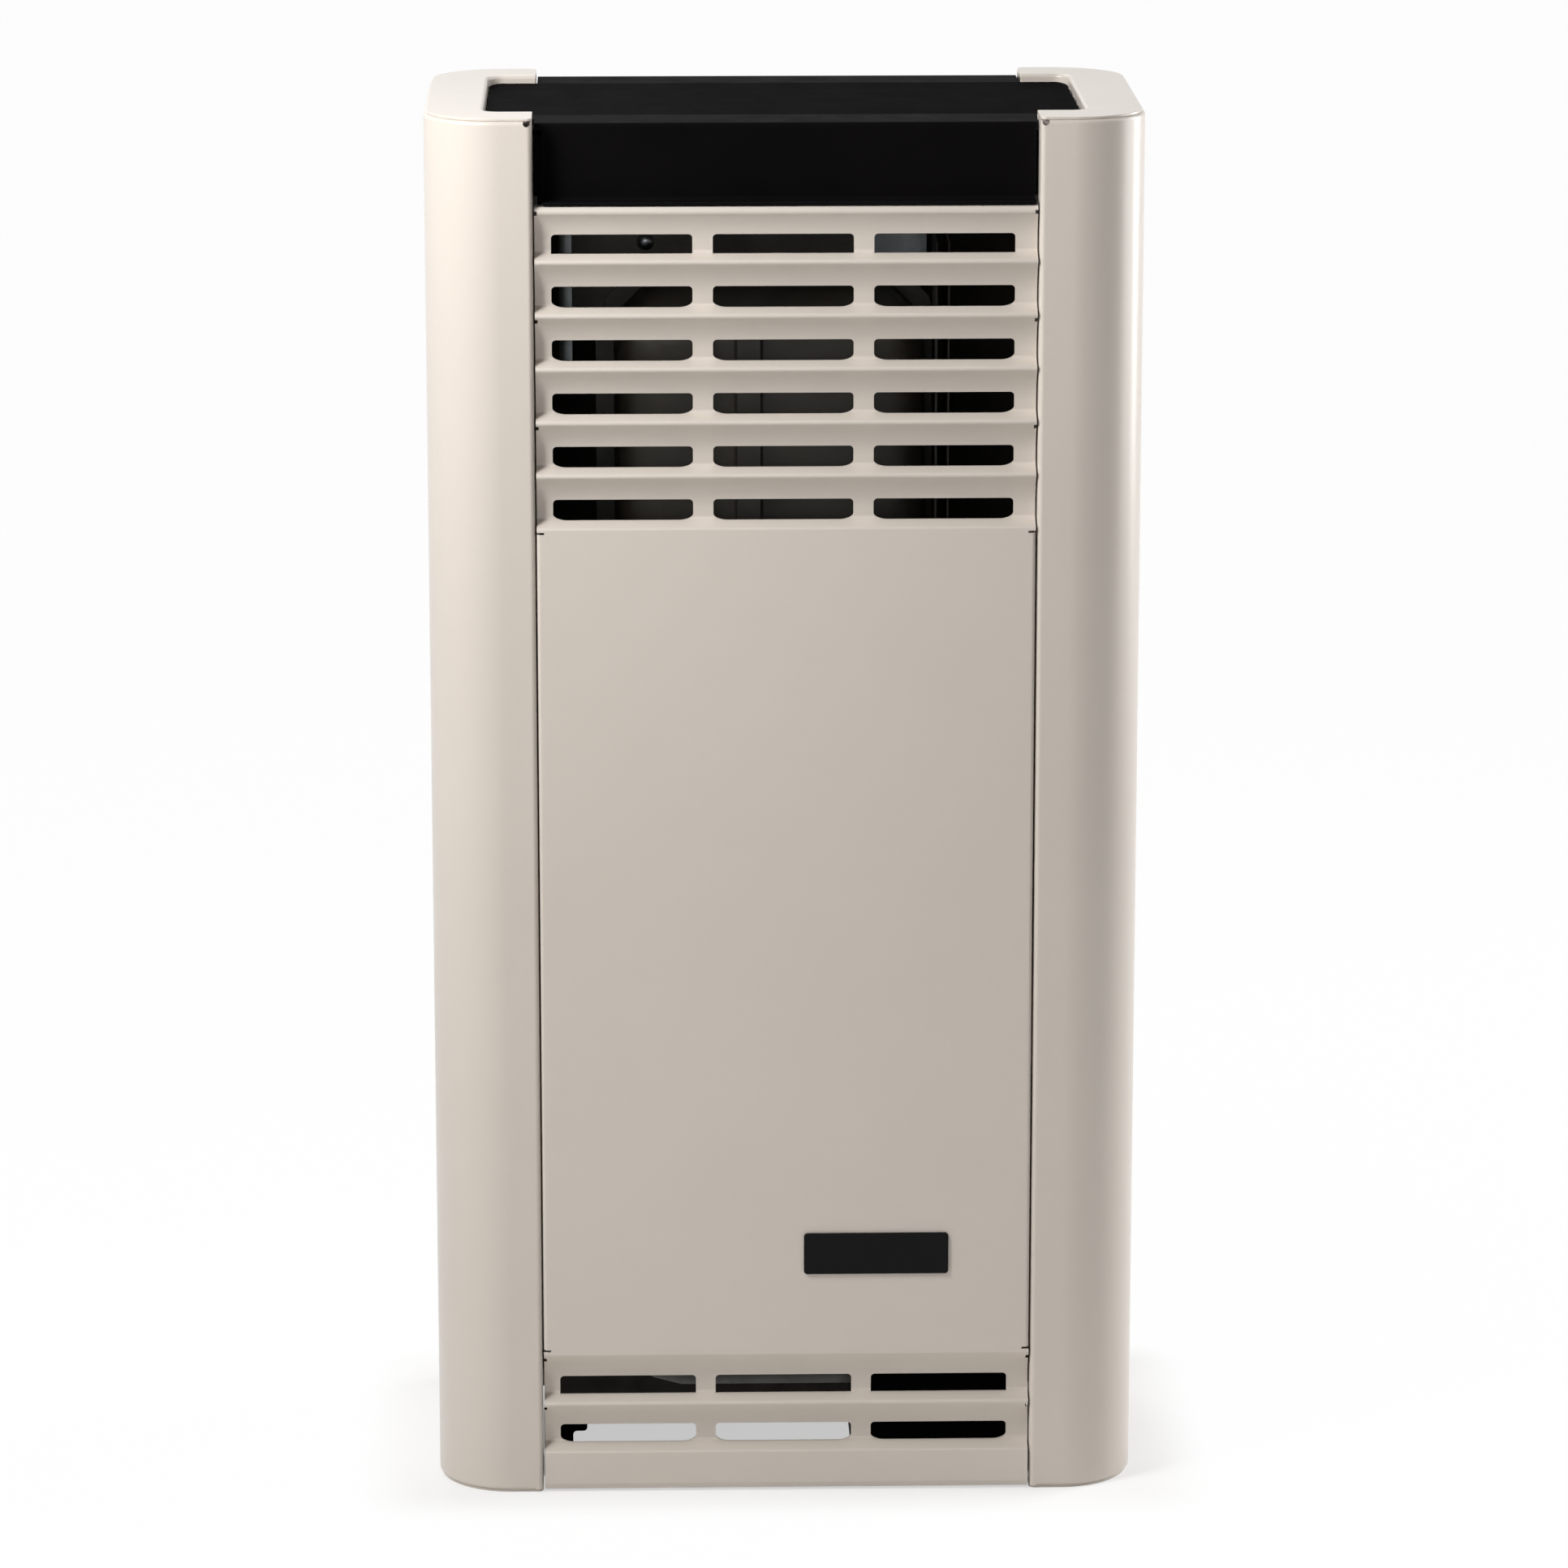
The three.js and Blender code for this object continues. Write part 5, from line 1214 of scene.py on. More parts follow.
def place_piece(
    name: str,
    solid: Solid,
    finish: Finish,
    body: Body = Body.CASING,
    node: str | None = None,
    edge_mm: float = 0.0,
    sharp_degrees: float = 38.0,
) -> bpy.types.Object:
    """Puts a finished solid into the scene as a piece of the heater.

    Args:
        name: The piece's name.
        solid: Its shape.
        finish: Its finish.
        body: The body that it rides on.
        node: The frame node that it stands for, if it stands for one.
        edge_mm: Width of the broken edges, or zero for edges left as cut.
        sharp_degrees: Edges that turn by more than this are broken, or else creased.

    Returns:
        The new object.
    """
    mesh = solid.mesh(name)
    mesh.materials.append(finish.material())
    mesh.polygons.foreach_set("use_smooth", [True] * len(mesh.polygons))
    piece = bpy.data.objects.new(name, mesh)
    bpy.context.scene.collection.objects.link(piece)
    if edge_mm:
        edges = piece.modifiers.new("broken_edges", "BEVEL")
        edges.width = edge_mm * MM
        edges.segments = 2
        edges.limit_method = "ANGLE"
        edges.angle_limit = math.radians(sharp_degrees)
        edges.use_clamp_overlap = False
    else:
        mesh.set_sharp_from_angle(angle=math.radians(sharp_degrees))
    even_normals(piece)
    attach(piece, body.value)
    if node:
        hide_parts(node)
    LOG.info("%s: %d faces on %s", name, len(mesh.polygons), body.value)
    return piece


# Sub-assemblies, in millimetres


@dataclass(frozen=True)
class Casing:
    """The outer form that the sheet-metal parts share.

    Args:
        width: Over both columns.
        depth: From the front plane to the back of the columns.
        height: From the floor to the top plates.
        front: The front plane.
        column_width: Width of one column.
        corner: Radius of the columns' corners.
        sheet: Thickness of column and cap sheet.
        facet: Longest facet round the columns' corners.
        overrun: How far cutting tools reach past what they cut.
    """

    width: float = 313.0
    depth: float = 175.0
    height: float = 620.0
    front: float = -87.5
    column_width: float = 47.25
    corner: float = 33.0
    sheet: float = 1.2
    facet: float = 1.6
    overrun: float = 5.0

    @property
    def half(self) -> float:
        """Half the width."""
        return self.width / 2

    @property
    def rear(self) -> float:
        """The back plane of the columns."""
        return self.front + self.depth

    @property
    def inner_x(self) -> float:
        """Where the columns end and the panel's bay starts."""
        return self.half - self.column_width

    def at(self, setback: float) -> float:
        """Gives the place of a plane behind the front plane."""
        return self.front + setback

    def column_plan(self, start: float) -> list[Sample]:
        """Walks round the outside of the right column.

        Args:
            start: Where the walk starts, across the front.

        Returns:
            The points of the plan, up to the column's inner rear edge.
        """
        corners = [
            (start, self.front),
            (self.half, self.front, self.corner),
            (self.half, self.rear, self.corner),
            (self.inner_x, self.rear),
        ]
        return bent_path(corners, self.facet)


CASING = Casing()


@dataclass
class SideColumns:
    """The two round-cornered columns: rolled wall, turned-in rims, return flange beside the panel.

    Args:
        flange_depth: How far the return flange runs back.
        flange_bend: Outer radius of the flange's bend.
        rim_bend: Outer radius of the rims.
        lip: How far the rims turn in.
        seam: Gap between the flange and the end caps.
        relief: Radius of the relief hole where rim and flange meet, just under the end cap.
    """

    flange_depth: float = 15.0
    flange_bend: float = 2.2
    rim_bend: float = 1.8
    lip: float = 8.0
    seam: float = 0.3
    relief: float = 1.6

    def right(self) -> Solid:
        """Makes the right column without its window.

        Returns:
            The solid.
        """
        edge = CASING.inner_x + self.flange_bend
        bottom, top = CASING.sheet, CASING.height - CASING.sheet
        rims = [
            (self.lip, bottom),
            (0.0, bottom, self.rim_bend),
            (0.0, top, self.rim_bend),
            (self.lip, top),
        ]
        wall = swept(CASING.column_plan(edge), sheet_outline(rims, -CASING.sheet))
        flange_plan = [
            (CASING.inner_x, CASING.at(self.flange_depth)),
            (CASING.inner_x, CASING.front, self.flange_bend),
            (edge + CASING.sheet, CASING.front),
        ]
        flange_sheet = sheet_outline(flange_plan, CASING.sheet)
        flange = prism(flange_sheet, Axis.Z, bottom + self.seam, top - self.seam)
        relief = rod(
            self.relief,
            Axis.Y,
            (edge, top - self.relief / 2),
            CASING.at(-CASING.overrun),
            CASING.at(CASING.overrun),
        )
        return carved(wall, (Cut.JOIN, flange), (Cut.TAKE, relief))

    def build(self) -> None:
        """Builds both columns, the right one with the window that the controls stand in."""
        column = self.right()
        near, far = CASING.half - CASING.overrun, CASING.half + CASING.overrun
        window = prism(Controls().tray_outline(0.0), Axis.X, near, far)
        left, right = column.mirrored(Axis.X), carved(column, (Cut.TAKE, window))
        place_piece("left_column_sheet", left, CHAMPAGNE_ENAMEL, node="left_side_column")
        place_piece("right_column_sheet", right, CHAMPAGNE_ENAMEL, node="right_side_column")


@dataclass
class EndCaps:
    """The four C-shaped end caps, each a plate with a folded inner flange.

    Args:
        band: Width of the plate.
        edge_inset: How far its edge stays behind the column's face.
        bend: Outer radius of the fold.
        flange_drop: Height of the inner flange.
        end_corner: Radius on the corners of its two ends.
        edge: Width of its broken edges.
    """

    band: float = 26.0
    edge_inset: float = 1.3
    bend: float = 1.6
    flange_drop: float = 9.0
    end_corner: float = 2.6
    edge: float = 0.25

    def build(self) -> None:
        """Builds the four caps."""
        section = [
            (self.edge_inset, CASING.height),
            (self.band, CASING.height, self.bend),
            (self.band, CASING.height - self.flange_drop),
        ]
        plan = CASING.column_plan(CASING.inner_x)
        plate = swept(plan, sheet_outline(section, -CASING.sheet))
        width = CASING.column_width + CASING.half
        ends = rounded_outline(
            (CASING.inner_x + width / 2, (CASING.front + CASING.rear) / 2),
            width,
            CASING.depth - 2 * self.edge_inset,
            self.end_corner,
        )
        trim = prism(ends, Axis.Z, CASING.height / 2, CASING.height + CASING.overrun)
        right_top = carved(plate, (Cut.KEEP, trim))
        left_top = right_top.mirrored(Axis.X)
        middle = CASING.height / 2
        for name, node, solid in (
            ("left_top_plate", "left_top_cap", left_top),
            ("right_top_plate", "right_top_cap", right_top),
            ("left_foot_plate", "left_bottom_cap", left_top.mirrored(Axis.Z, middle)),
            ("right_foot_plate", "right_bottom_cap", right_top.mirrored(Axis.Z, middle)),
        ):
            place_piece(name, solid, CHAMPAGNE_ENAMEL, node=node, edge_mm=self.edge)


@dataclass
class TopGrille:
    """The black louvred top with its front band and rear flange, pressed from one sheet.

    Args:
        sheet: Sheet thickness.
        drop: How far its top lies below the end caps.
        band_recess: How far the front band stands behind the front plane.
        band_left_gap: Gap between the band and the left column.
        band_right_gap: Gap between the band and the right column.
        ledge_reach: How far the ledge over the panel reaches forward.
        ledge_z: Height of the ledge's upper face.
        bend: Radius of its folds.
        clearance: Gap round it inside the caps.
        lip: From the band to the first louvre.
        pitch: From louvre to louvre.
        step_drop: How far a louvre drops.
        step_run: How far back it takes to drop.
        steps: Number of louvres.
        rear_gap: How far the rear flange stands in front of the columns' back plane.
        rear_drop: Height of the rear flange.
        slot_corner: Radius on the ends of the slots.
    """

    sheet: float = 1.2
    drop: float = 3.5
    band_recess: float = 12.0
    band_left_gap: float = 4.3
    band_right_gap: float = 1.4
    ledge_reach: float = 8.5
    ledge_z: float = 583.3
    bend: float = 1.6
    clearance: float = 0.7
    lip: float = 28.0
    pitch: float = 27.0
    step_drop: float = 3.5
    step_run: float = 5.0
    steps: int = 4
    rear_gap: float = 0.3
    rear_drop: float = 16.0
    slot_corner: float = 1.5

    @property
    def top(self) -> float:
        """Height of its top face."""
        return CASING.height - self.drop

    @property
    def band(self) -> float:
        """Plane of the front band."""
        return CASING.at(self.band_recess)

    @property
    def half(self) -> float:
        """Half its width inside the caps' plates."""
        return CASING.half - EndCaps.band - self.clearance

    def section(self) -> Corners:
        """Draws the path of the pressed sheet from the ledge to the rear flange.

        Returns:
            The path's corners in (y, z).
        """
        top, band, rear = self.top, self.band, CASING.rear - self.rear_gap
        corners: Corners = [
            (band - self.ledge_reach, self.ledge_z),
            (band, self.ledge_z, self.bend),
            (band, top, self.bend),
        ]
        for k in range(self.steps):
            step = band + self.lip + k * self.pitch
            corners.append((step, top, self.bend))
            corners.append((step + self.step_run, top - self.step_drop, self.bend))
        corners.append((band + self.lip + self.steps * self.pitch, top, self.bend))
        corners.append((rear, top, self.bend))
        corners.append((rear, top - self.rear_drop))
        return corners

    def plan(self) -> list[Point2]:
        """Draws the outline that trims the grille between the caps.

        Returns:
            The closed outline in (x, y).
        """
        wide, narrow = self.half, CASING.inner_x - self.clearance
        front = CASING.at(EndCaps.band + self.clearance)
        rear = CASING.rear - EndCaps.band - self.clearance
        far_front = CASING.at(-CASING.overrun)
        far_rear = CASING.rear + CASING.overrun
        corner = CASING.corner - EndCaps.band - self.clearance
        half = [
            (narrow, far_front),
            (narrow, front),
            (wide, front, corner),
            (wide, rear, corner),
            (narrow, rear),
            (narrow, far_rear),
        ]
        mirrored = [(-c[0], *c[1:]) for c in half[::-1]]
        return [(a, b) for a, b, _, _ in bent_path([*half, *mirrored])]

    def build(self) -> None:
        """Builds the grille."""
        top, band, half = self.top, self.band, self.half
        sheet = prism(sheet_outline(self.section(), -self.sheet), Axis.X, -half, half)
        under, over = self.ledge_z - 2 * CASING.overrun, top + CASING.overrun
        trim = prism(self.plan(), Axis.Z, under, over)
        low = (CASING.at(-CASING.overrun), under)
        high = (band + self.sheet + self.bend, top - CASING.sheet - self.bend)
        far = half + CASING.overrun
        ears = [
            block((-far, *low), (self.band_left_gap - CASING.inner_x, *high)),
            block((CASING.inner_x - self.band_right_gap, *low), (far, *high)),
        ]
        panel = FrontPanel()
        slots = []
        for k in range(self.steps):
            y = band + self.lip + k * self.pitch + self.bend + self.step_run / 2
            for x in panel.slot_centres():
                outline = rounded_outline(
                    (x, y), panel.slot_width(), self.step_run, self.slot_corner
                )
                slots.append(prism(outline, Axis.Z, top - self.step_drop - CASING.overrun, over))
        solid = carved(
            sheet, (Cut.KEEP, trim), (Cut.TAKE, gathered(ears)), (Cut.TAKE, gathered(slots))
        )
        place_piece("louvred_top", solid, BLACK_ENAMEL, node="top_grille")


@dataclass(frozen=True)
class Louvre:
    """One louvre of the front panel.

    Args:
        nose: Height of its nose.
        pitch: From it to the next.
        slot: Height of its slots.
        tabbed: Whether it has side tabs.
        first: Whether it is the first of its field.
    """

    nose: float
    pitch: float
    slot: float
    tabbed: bool
    first: bool


@dataclass
class FrontPanel:
    """The one-piece front panel: two fields of pressed louvres above and below a flat field.

    Args:
        sheet: Sheet thickness.
        top: Height of its top edge.
        bottom: Height of its underside.
        side_gap: Gap to each column.
        top_flange: How far the top flange runs back.
        top_bend: Radius of the top fold.
        bottom_bend: Radius of the bottom fold.
        bottom_flange: How far the bottom flange runs back.
        side_flange: How far the side flanges run back.
        side_bend: Radius of the side folds.
        pitch: From louvre to louvre in the upper field.
        rows: Louvres in the upper field.
        depth: How far a louvre dips.
        ledge_drop: How far a ledge falls towards the front.
        nose_bend: Radius at the front of a ledge.
        face_bend: Radius where a face leaves the ledge above it.
        valley_bend: Radius at the bottom of a valley.
        lower_top: Height of the lower field's first bend.
        lower_pitch: From louvre to louvre in the lower field.
        lower_rows: Louvres in the lower field.
        slot_margin: From the panel's bay to the first slot.
        bridge: Metal between two slots.
        slot_shift: How far the slots lie off the middle of the panel.
        slot_height: Height of a slot.
        tall_slot: Height of a slot in the upper field, below its first row.
        slot_corner: Corner radius of a slot.
        low_corner: Half axes of a slot's lower corners, below a field's first row.
        columns: Slots in a row.
        notch_width: Width of the relief notch beside a tab.
        notch_height: Its height.
        tab_depth: How far a side tab runs back.
    """

    sheet: float = 1.0
    top: float = 581.5
    bottom: float = 0.6
    side_gap: float = 0.7
    top_flange: float = 10.5
    top_bend: float = 2.2
    bottom_bend: float = 4.0
    bottom_flange: float = 12.0
    side_flange: float = 10.0
    side_bend: float = 1.6
    pitch: float = 23.4
    rows: int = 6
    depth: float = 7.0
    ledge_drop: float = 3.4
    nose_bend: float = 1.3
    face_bend: float = 18.0
    valley_bend: float = 1.6
    lower_top: float = 64.4
    lower_pitch: float = 22.7
    lower_rows: int = 2
    slot_margin: float = 9.0
    bridge: float = 8.8
    slot_shift: float = -1.2
    slot_height: float = 8.4
    tall_slot: float = 9.2
    slot_corner: float = 1.8
    low_corner: Point2 = (6.0, 2.7)
    columns: int = 3
    notch_width: float = 1.2
    notch_height: float = 1.8
    tab_depth: float = 13.0

    def half(self) -> float:
        """Half the panel's width."""
        return CASING.inner_x - self.side_gap

    def slot_width(self) -> float:
        """Width of one slot."""
        room = 2 * (CASING.inner_x - self.slot_margin)
        return (room - (self.columns - 1) * self.bridge) / self.columns

    def slot_centres(self) -> list[float]:
        """Middles of the slots of a row, across the panel."""
        pitch, middle = self.slot_width() + self.bridge, (self.columns - 1) / 2
        return [self.slot_shift + (k - middle) * pitch for k in range(self.columns)]

    def fields(self) -> list[tuple[float, float, int]]:
        """Top, pitch and number of louvres of the upper and of the lower field."""
        upper = (self.top, self.pitch, self.rows)
        return [upper, (self.lower_top, self.lower_pitch, self.lower_rows)]

    def louvres(self) -> list[Louvre]:
        """Lists the louvres of both fields.

        Returns:
            The louvres, from the top down.
        """
        listed = []
        for top, pitch, rows in self.fields():
            upper = top == self.top
            for k in range(rows):
                slot = self.tall_slot if upper and k else self.slot_height
                tabbed = k % 2 == 0 or not upper
                listed.append(Louvre(top - k * pitch, pitch, slot, tabbed, k == 0))
        return listed

    def section(self) -> Corners:
        """Draws the path of the pressed sheet from its top flange to its bottom one.

        Returns:
            The path's corners in (y, z).
        """
        front = CASING.front
        ledge_angle = math.atan2(self.depth, self.ledge_drop)
        nose_reach = self.nose_bend * (1 / math.cos((ledge_angle + math.pi / 4) / 2) - 1)
        corners: Corners = [
            (CASING.at(self.top_flange), self.top), (front, self.top, self.top_bend)
        ]
        valley = CASING.at(self.depth)
        for start, pitch, rows in self.fields():
            if start == self.lower_top:
                corners.append((front, start, self.nose_bend))
            for k in range(rows):
                nose = start - k * pitch
                lip = front if k == rows - 1 else front - nose_reach
                corners.append((valley, nose - self.depth - self.nose_bend, self.face_bend))
                corners.append((valley, nose - pitch + self.ledge_drop, self.valley_bend))
                corners.append((lip, nose - pitch, self.nose_bend))
        corners.append((front, self.bottom, self.bottom_bend))
        corners.append((CASING.at(self.bottom_flange), self.bottom))
        return corners

    def slot_outline(self, centre: float, z: float, height: float, first: bool) -> list[Point2]:
        """Draws a slot: square at its lower edge in a field's first row, else with long curves.

        Args:
            centre: Its middle, across the panel.
            z: Height of its lower edge.
            height: How high the slot is.
            first: Whether it is in the first row of its field.

        Returns:
            The closed outline in (x, z).
        """
        half = self.slot_width() / 2
        low = (0.0, 0.0) if first else self.low_corner
        high = (self.slot_corner, self.slot_corner)
        corners = (
            (centre + half, z + height, -1, -1, high),
            (centre - half, z + height, 1, -1, high),
            (centre - half, z, 1, 1, low),
            (centre + half, z, -1, 1, low),
        )
        outline: list[Point2] = []
        for turn, (x, level, inward, upward, (wide, tall)) in enumerate(corners):
            for k in range(QUARTER_STEPS + 1 if wide else 1):
                angle = math.pi / 2 * (turn + k / QUARTER_STEPS)
                across, up = math.cos(angle) * wide, math.sin(angle) * tall
                outline.append((x + inward * wide + across, level + upward * tall + up))
        return outline

    def build(self) -> None:
        """Builds the panel."""
        half = self.half()
        past = CASING.overrun
        sheet = prism(sheet_outline(self.section(), self.sheet), Axis.X, -half, half)
        field_top = self.top - self.rows * self.pitch - self.valley_bend
        field_bottom = self.lower_top + self.valley_bend
        cuts, tabs = [], []
        for side in (-1, 1):
            near, far = sorted((side * (half - 2 * self.side_bend), side * (half + past)))
            cuts.append(
                block((near, CASING.at(-past), field_bottom), (far, CASING.at(past), field_top))
            )
        behind = CASING.at(self.depth + past)
        for louvre in self.louvres():
            valley_z = louvre.nose - louvre.pitch + self.ledge_drop
            slot_z = valley_z - self.valley_bend / 2
            for centre in self.slot_centres():
                outline = self.slot_outline(centre, slot_z, louvre.slot, louvre.first)
                cuts.append(prism(outline, Axis.Y, CASING.at(self.depth / 2), behind))
            if not louvre.tabbed:
                continue
            high, low = (louvre.nose - k * self.notch_height for k in (1, 2))
            for side in (-1, 1):
                edge, inner = side * half, side * (half - self.sheet)
                left, right = edge - self.notch_width, edge + self.notch_width
                root = (min(edge, inner), CASING.at(self.depth + self.sheet / 2), valley_z)
                tip = (max(edge, inner), CASING.at(self.tab_depth), louvre.nose - self.depth)
                tabs.append(block(root, tip))
                cuts.append(block((left, CASING.at(-past), low), (right, behind, high)))
        flat_path = [
            (-half, CASING.at(self.side_flange)),
            (-half, CASING.front, self.side_bend),
            (half, CASING.front, self.side_bend),
            (half, CASING.at(self.side_flange)),
        ]
        under, over = field_bottom + self.sheet, field_top - self.sheet
        flat = prism(sheet_outline(flat_path, self.sheet), Axis.Z, under, over)
        solid = carved(
            sheet, (Cut.TAKE, gathered(cuts)), (Cut.JOIN, flat), (Cut.JOIN, gathered(tabs))
        )
        place_piece("louvred_front", solid, CHAMPAGNE_ENAMEL, node="front_panel")


@dataclass
class CrossMembers:
    """The black rail behind the band, the apron behind the intake and a gusset on a bracket.

    Args:
        sheet: Sheet thickness.
        bend: Radius of the folds.
        clearance: Gap to each column.
        rail_front: Setback of the rail's web.
        rail_rear: Setback of its edges.
        rail_bottom: Height of its underside.
        rail_top: Height of its top.
        apron_rear: Setback of the apron's rear edge, on the lower rail.
        apron_front: Setback of its upright face.
        apron_top: Height of its top, which lies on the lower rail.
        apron_bottom: Height of its lower edge.
        apron_inset: From the bay's edge to its ends.
        gusset_setback: Setback of the gusset on the left base bracket.
        gusset_wide: From the bay's edge to the gusset's upper end.
        gusset_narrow: From the bay's edge to its lower end.
        gusset_low: Height of its lower edge, on the bracket's foot.
        gusset_step: Height of the step in its edge.
        gusset_high: Height of its top.
    """

    sheet: float = 1.0
    bend: float = 1.8
    clearance: float = 0.3
    rail_front: float = 14.5
    rail_rear: float = 34.0
    rail_bottom: float = 584.3
    rail_top: float = 611.5
    apron_rear: float = 161.5
    apron_front: float = 134.5
    apron_top: float = 26.3
    apron_bottom: float = 1.2
    apron_inset: float = 4.0
    gusset_setback: float = 40.0
    gusset_wide: float = 19.6
    gusset_narrow: float = 13.2
    gusset_low: float = 4.0
    gusset_step: float = 15.3
    gusset_high: float = 32.5

    def build(self) -> None:
        """Builds the rail, the apron and the gusset."""
        half = CASING.inner_x - self.clearance
        rail_path = [
            (CASING.at(self.rail_rear), self.rail_top),
            (CASING.at(self.rail_front), self.rail_top, self.bend),
            (CASING.at(self.rail_front), self.rail_bottom, self.bend),
            (CASING.at(self.rail_rear), self.rail_bottom),
        ]
        rail = prism(sheet_outline(rail_path, self.sheet), Axis.X, -half, half)
        place_piece("grille_rail", rail, BLACK_ENAMEL, node="upper_cross_rail")
        apron_path = [
            (CASING.at(self.apron_rear), self.apron_top),
            (CASING.at(self.apron_front), self.apron_top, self.bend),
            (CASING.at(self.apron_front), self.apron_bottom),
        ]
        reach = CASING.inner_x - self.apron_inset
        apron = prism(sheet_outline(apron_path, self.sheet), Axis.X, -reach, reach)
        place_piece("intake_apron", apron, SHADED_ENAMEL)
        near = -half
        wide, narrow = self.gusset_wide - CASING.inner_x, self.gusset_narrow - CASING.inner_x
        edge = [
            (near, self.gusset_low),
            (narrow, self.gusset_low),
            (narrow, self.gusset_step, self.bend),
            (wide, self.gusset_step, self.bend),
            (wide, self.gusset_high, self.bend),
            (near, self.gusset_high),
        ]
        outline = [(a, b) for a, b, _, _ in bent_path(edge)]
        front = CASING.at(self.gusset_setback)
        gusset = prism(outline, Axis.Y, front, front + self.sheet)
        place_piece("foot_gusset", gusset, BLACK_ENAMEL)


@dataclass
class BadgePlate:
    """The bare plate low on the right of the panel.

    Args:
        x: Its middle, across the panel.
        z: Height of its middle.
        width: Its width.
        height: Its height.
        thickness: How far it stands off the panel.
        corner: Its corner radius.
        edge: Width of its polished chamfer.
    """

    x: float = 40.0
    z: float = 111.5
    width: float = 64.5
    height: float = 19.0
    thickness: float = 1.2
    corner: float = 1.6
    edge: float = 0.35

    def build(self) -> None:
        """Builds the plate."""
        outline = rounded_outline((self.x, self.z), self.width, self.height, self.corner)
        plate = prism(outline, Axis.Y, CASING.front - self.thickness, CASING.front)
        place_piece("bare_plate", plate, BADGE_ACRYLIC, node="badge_plate", edge_mm=self.edge)


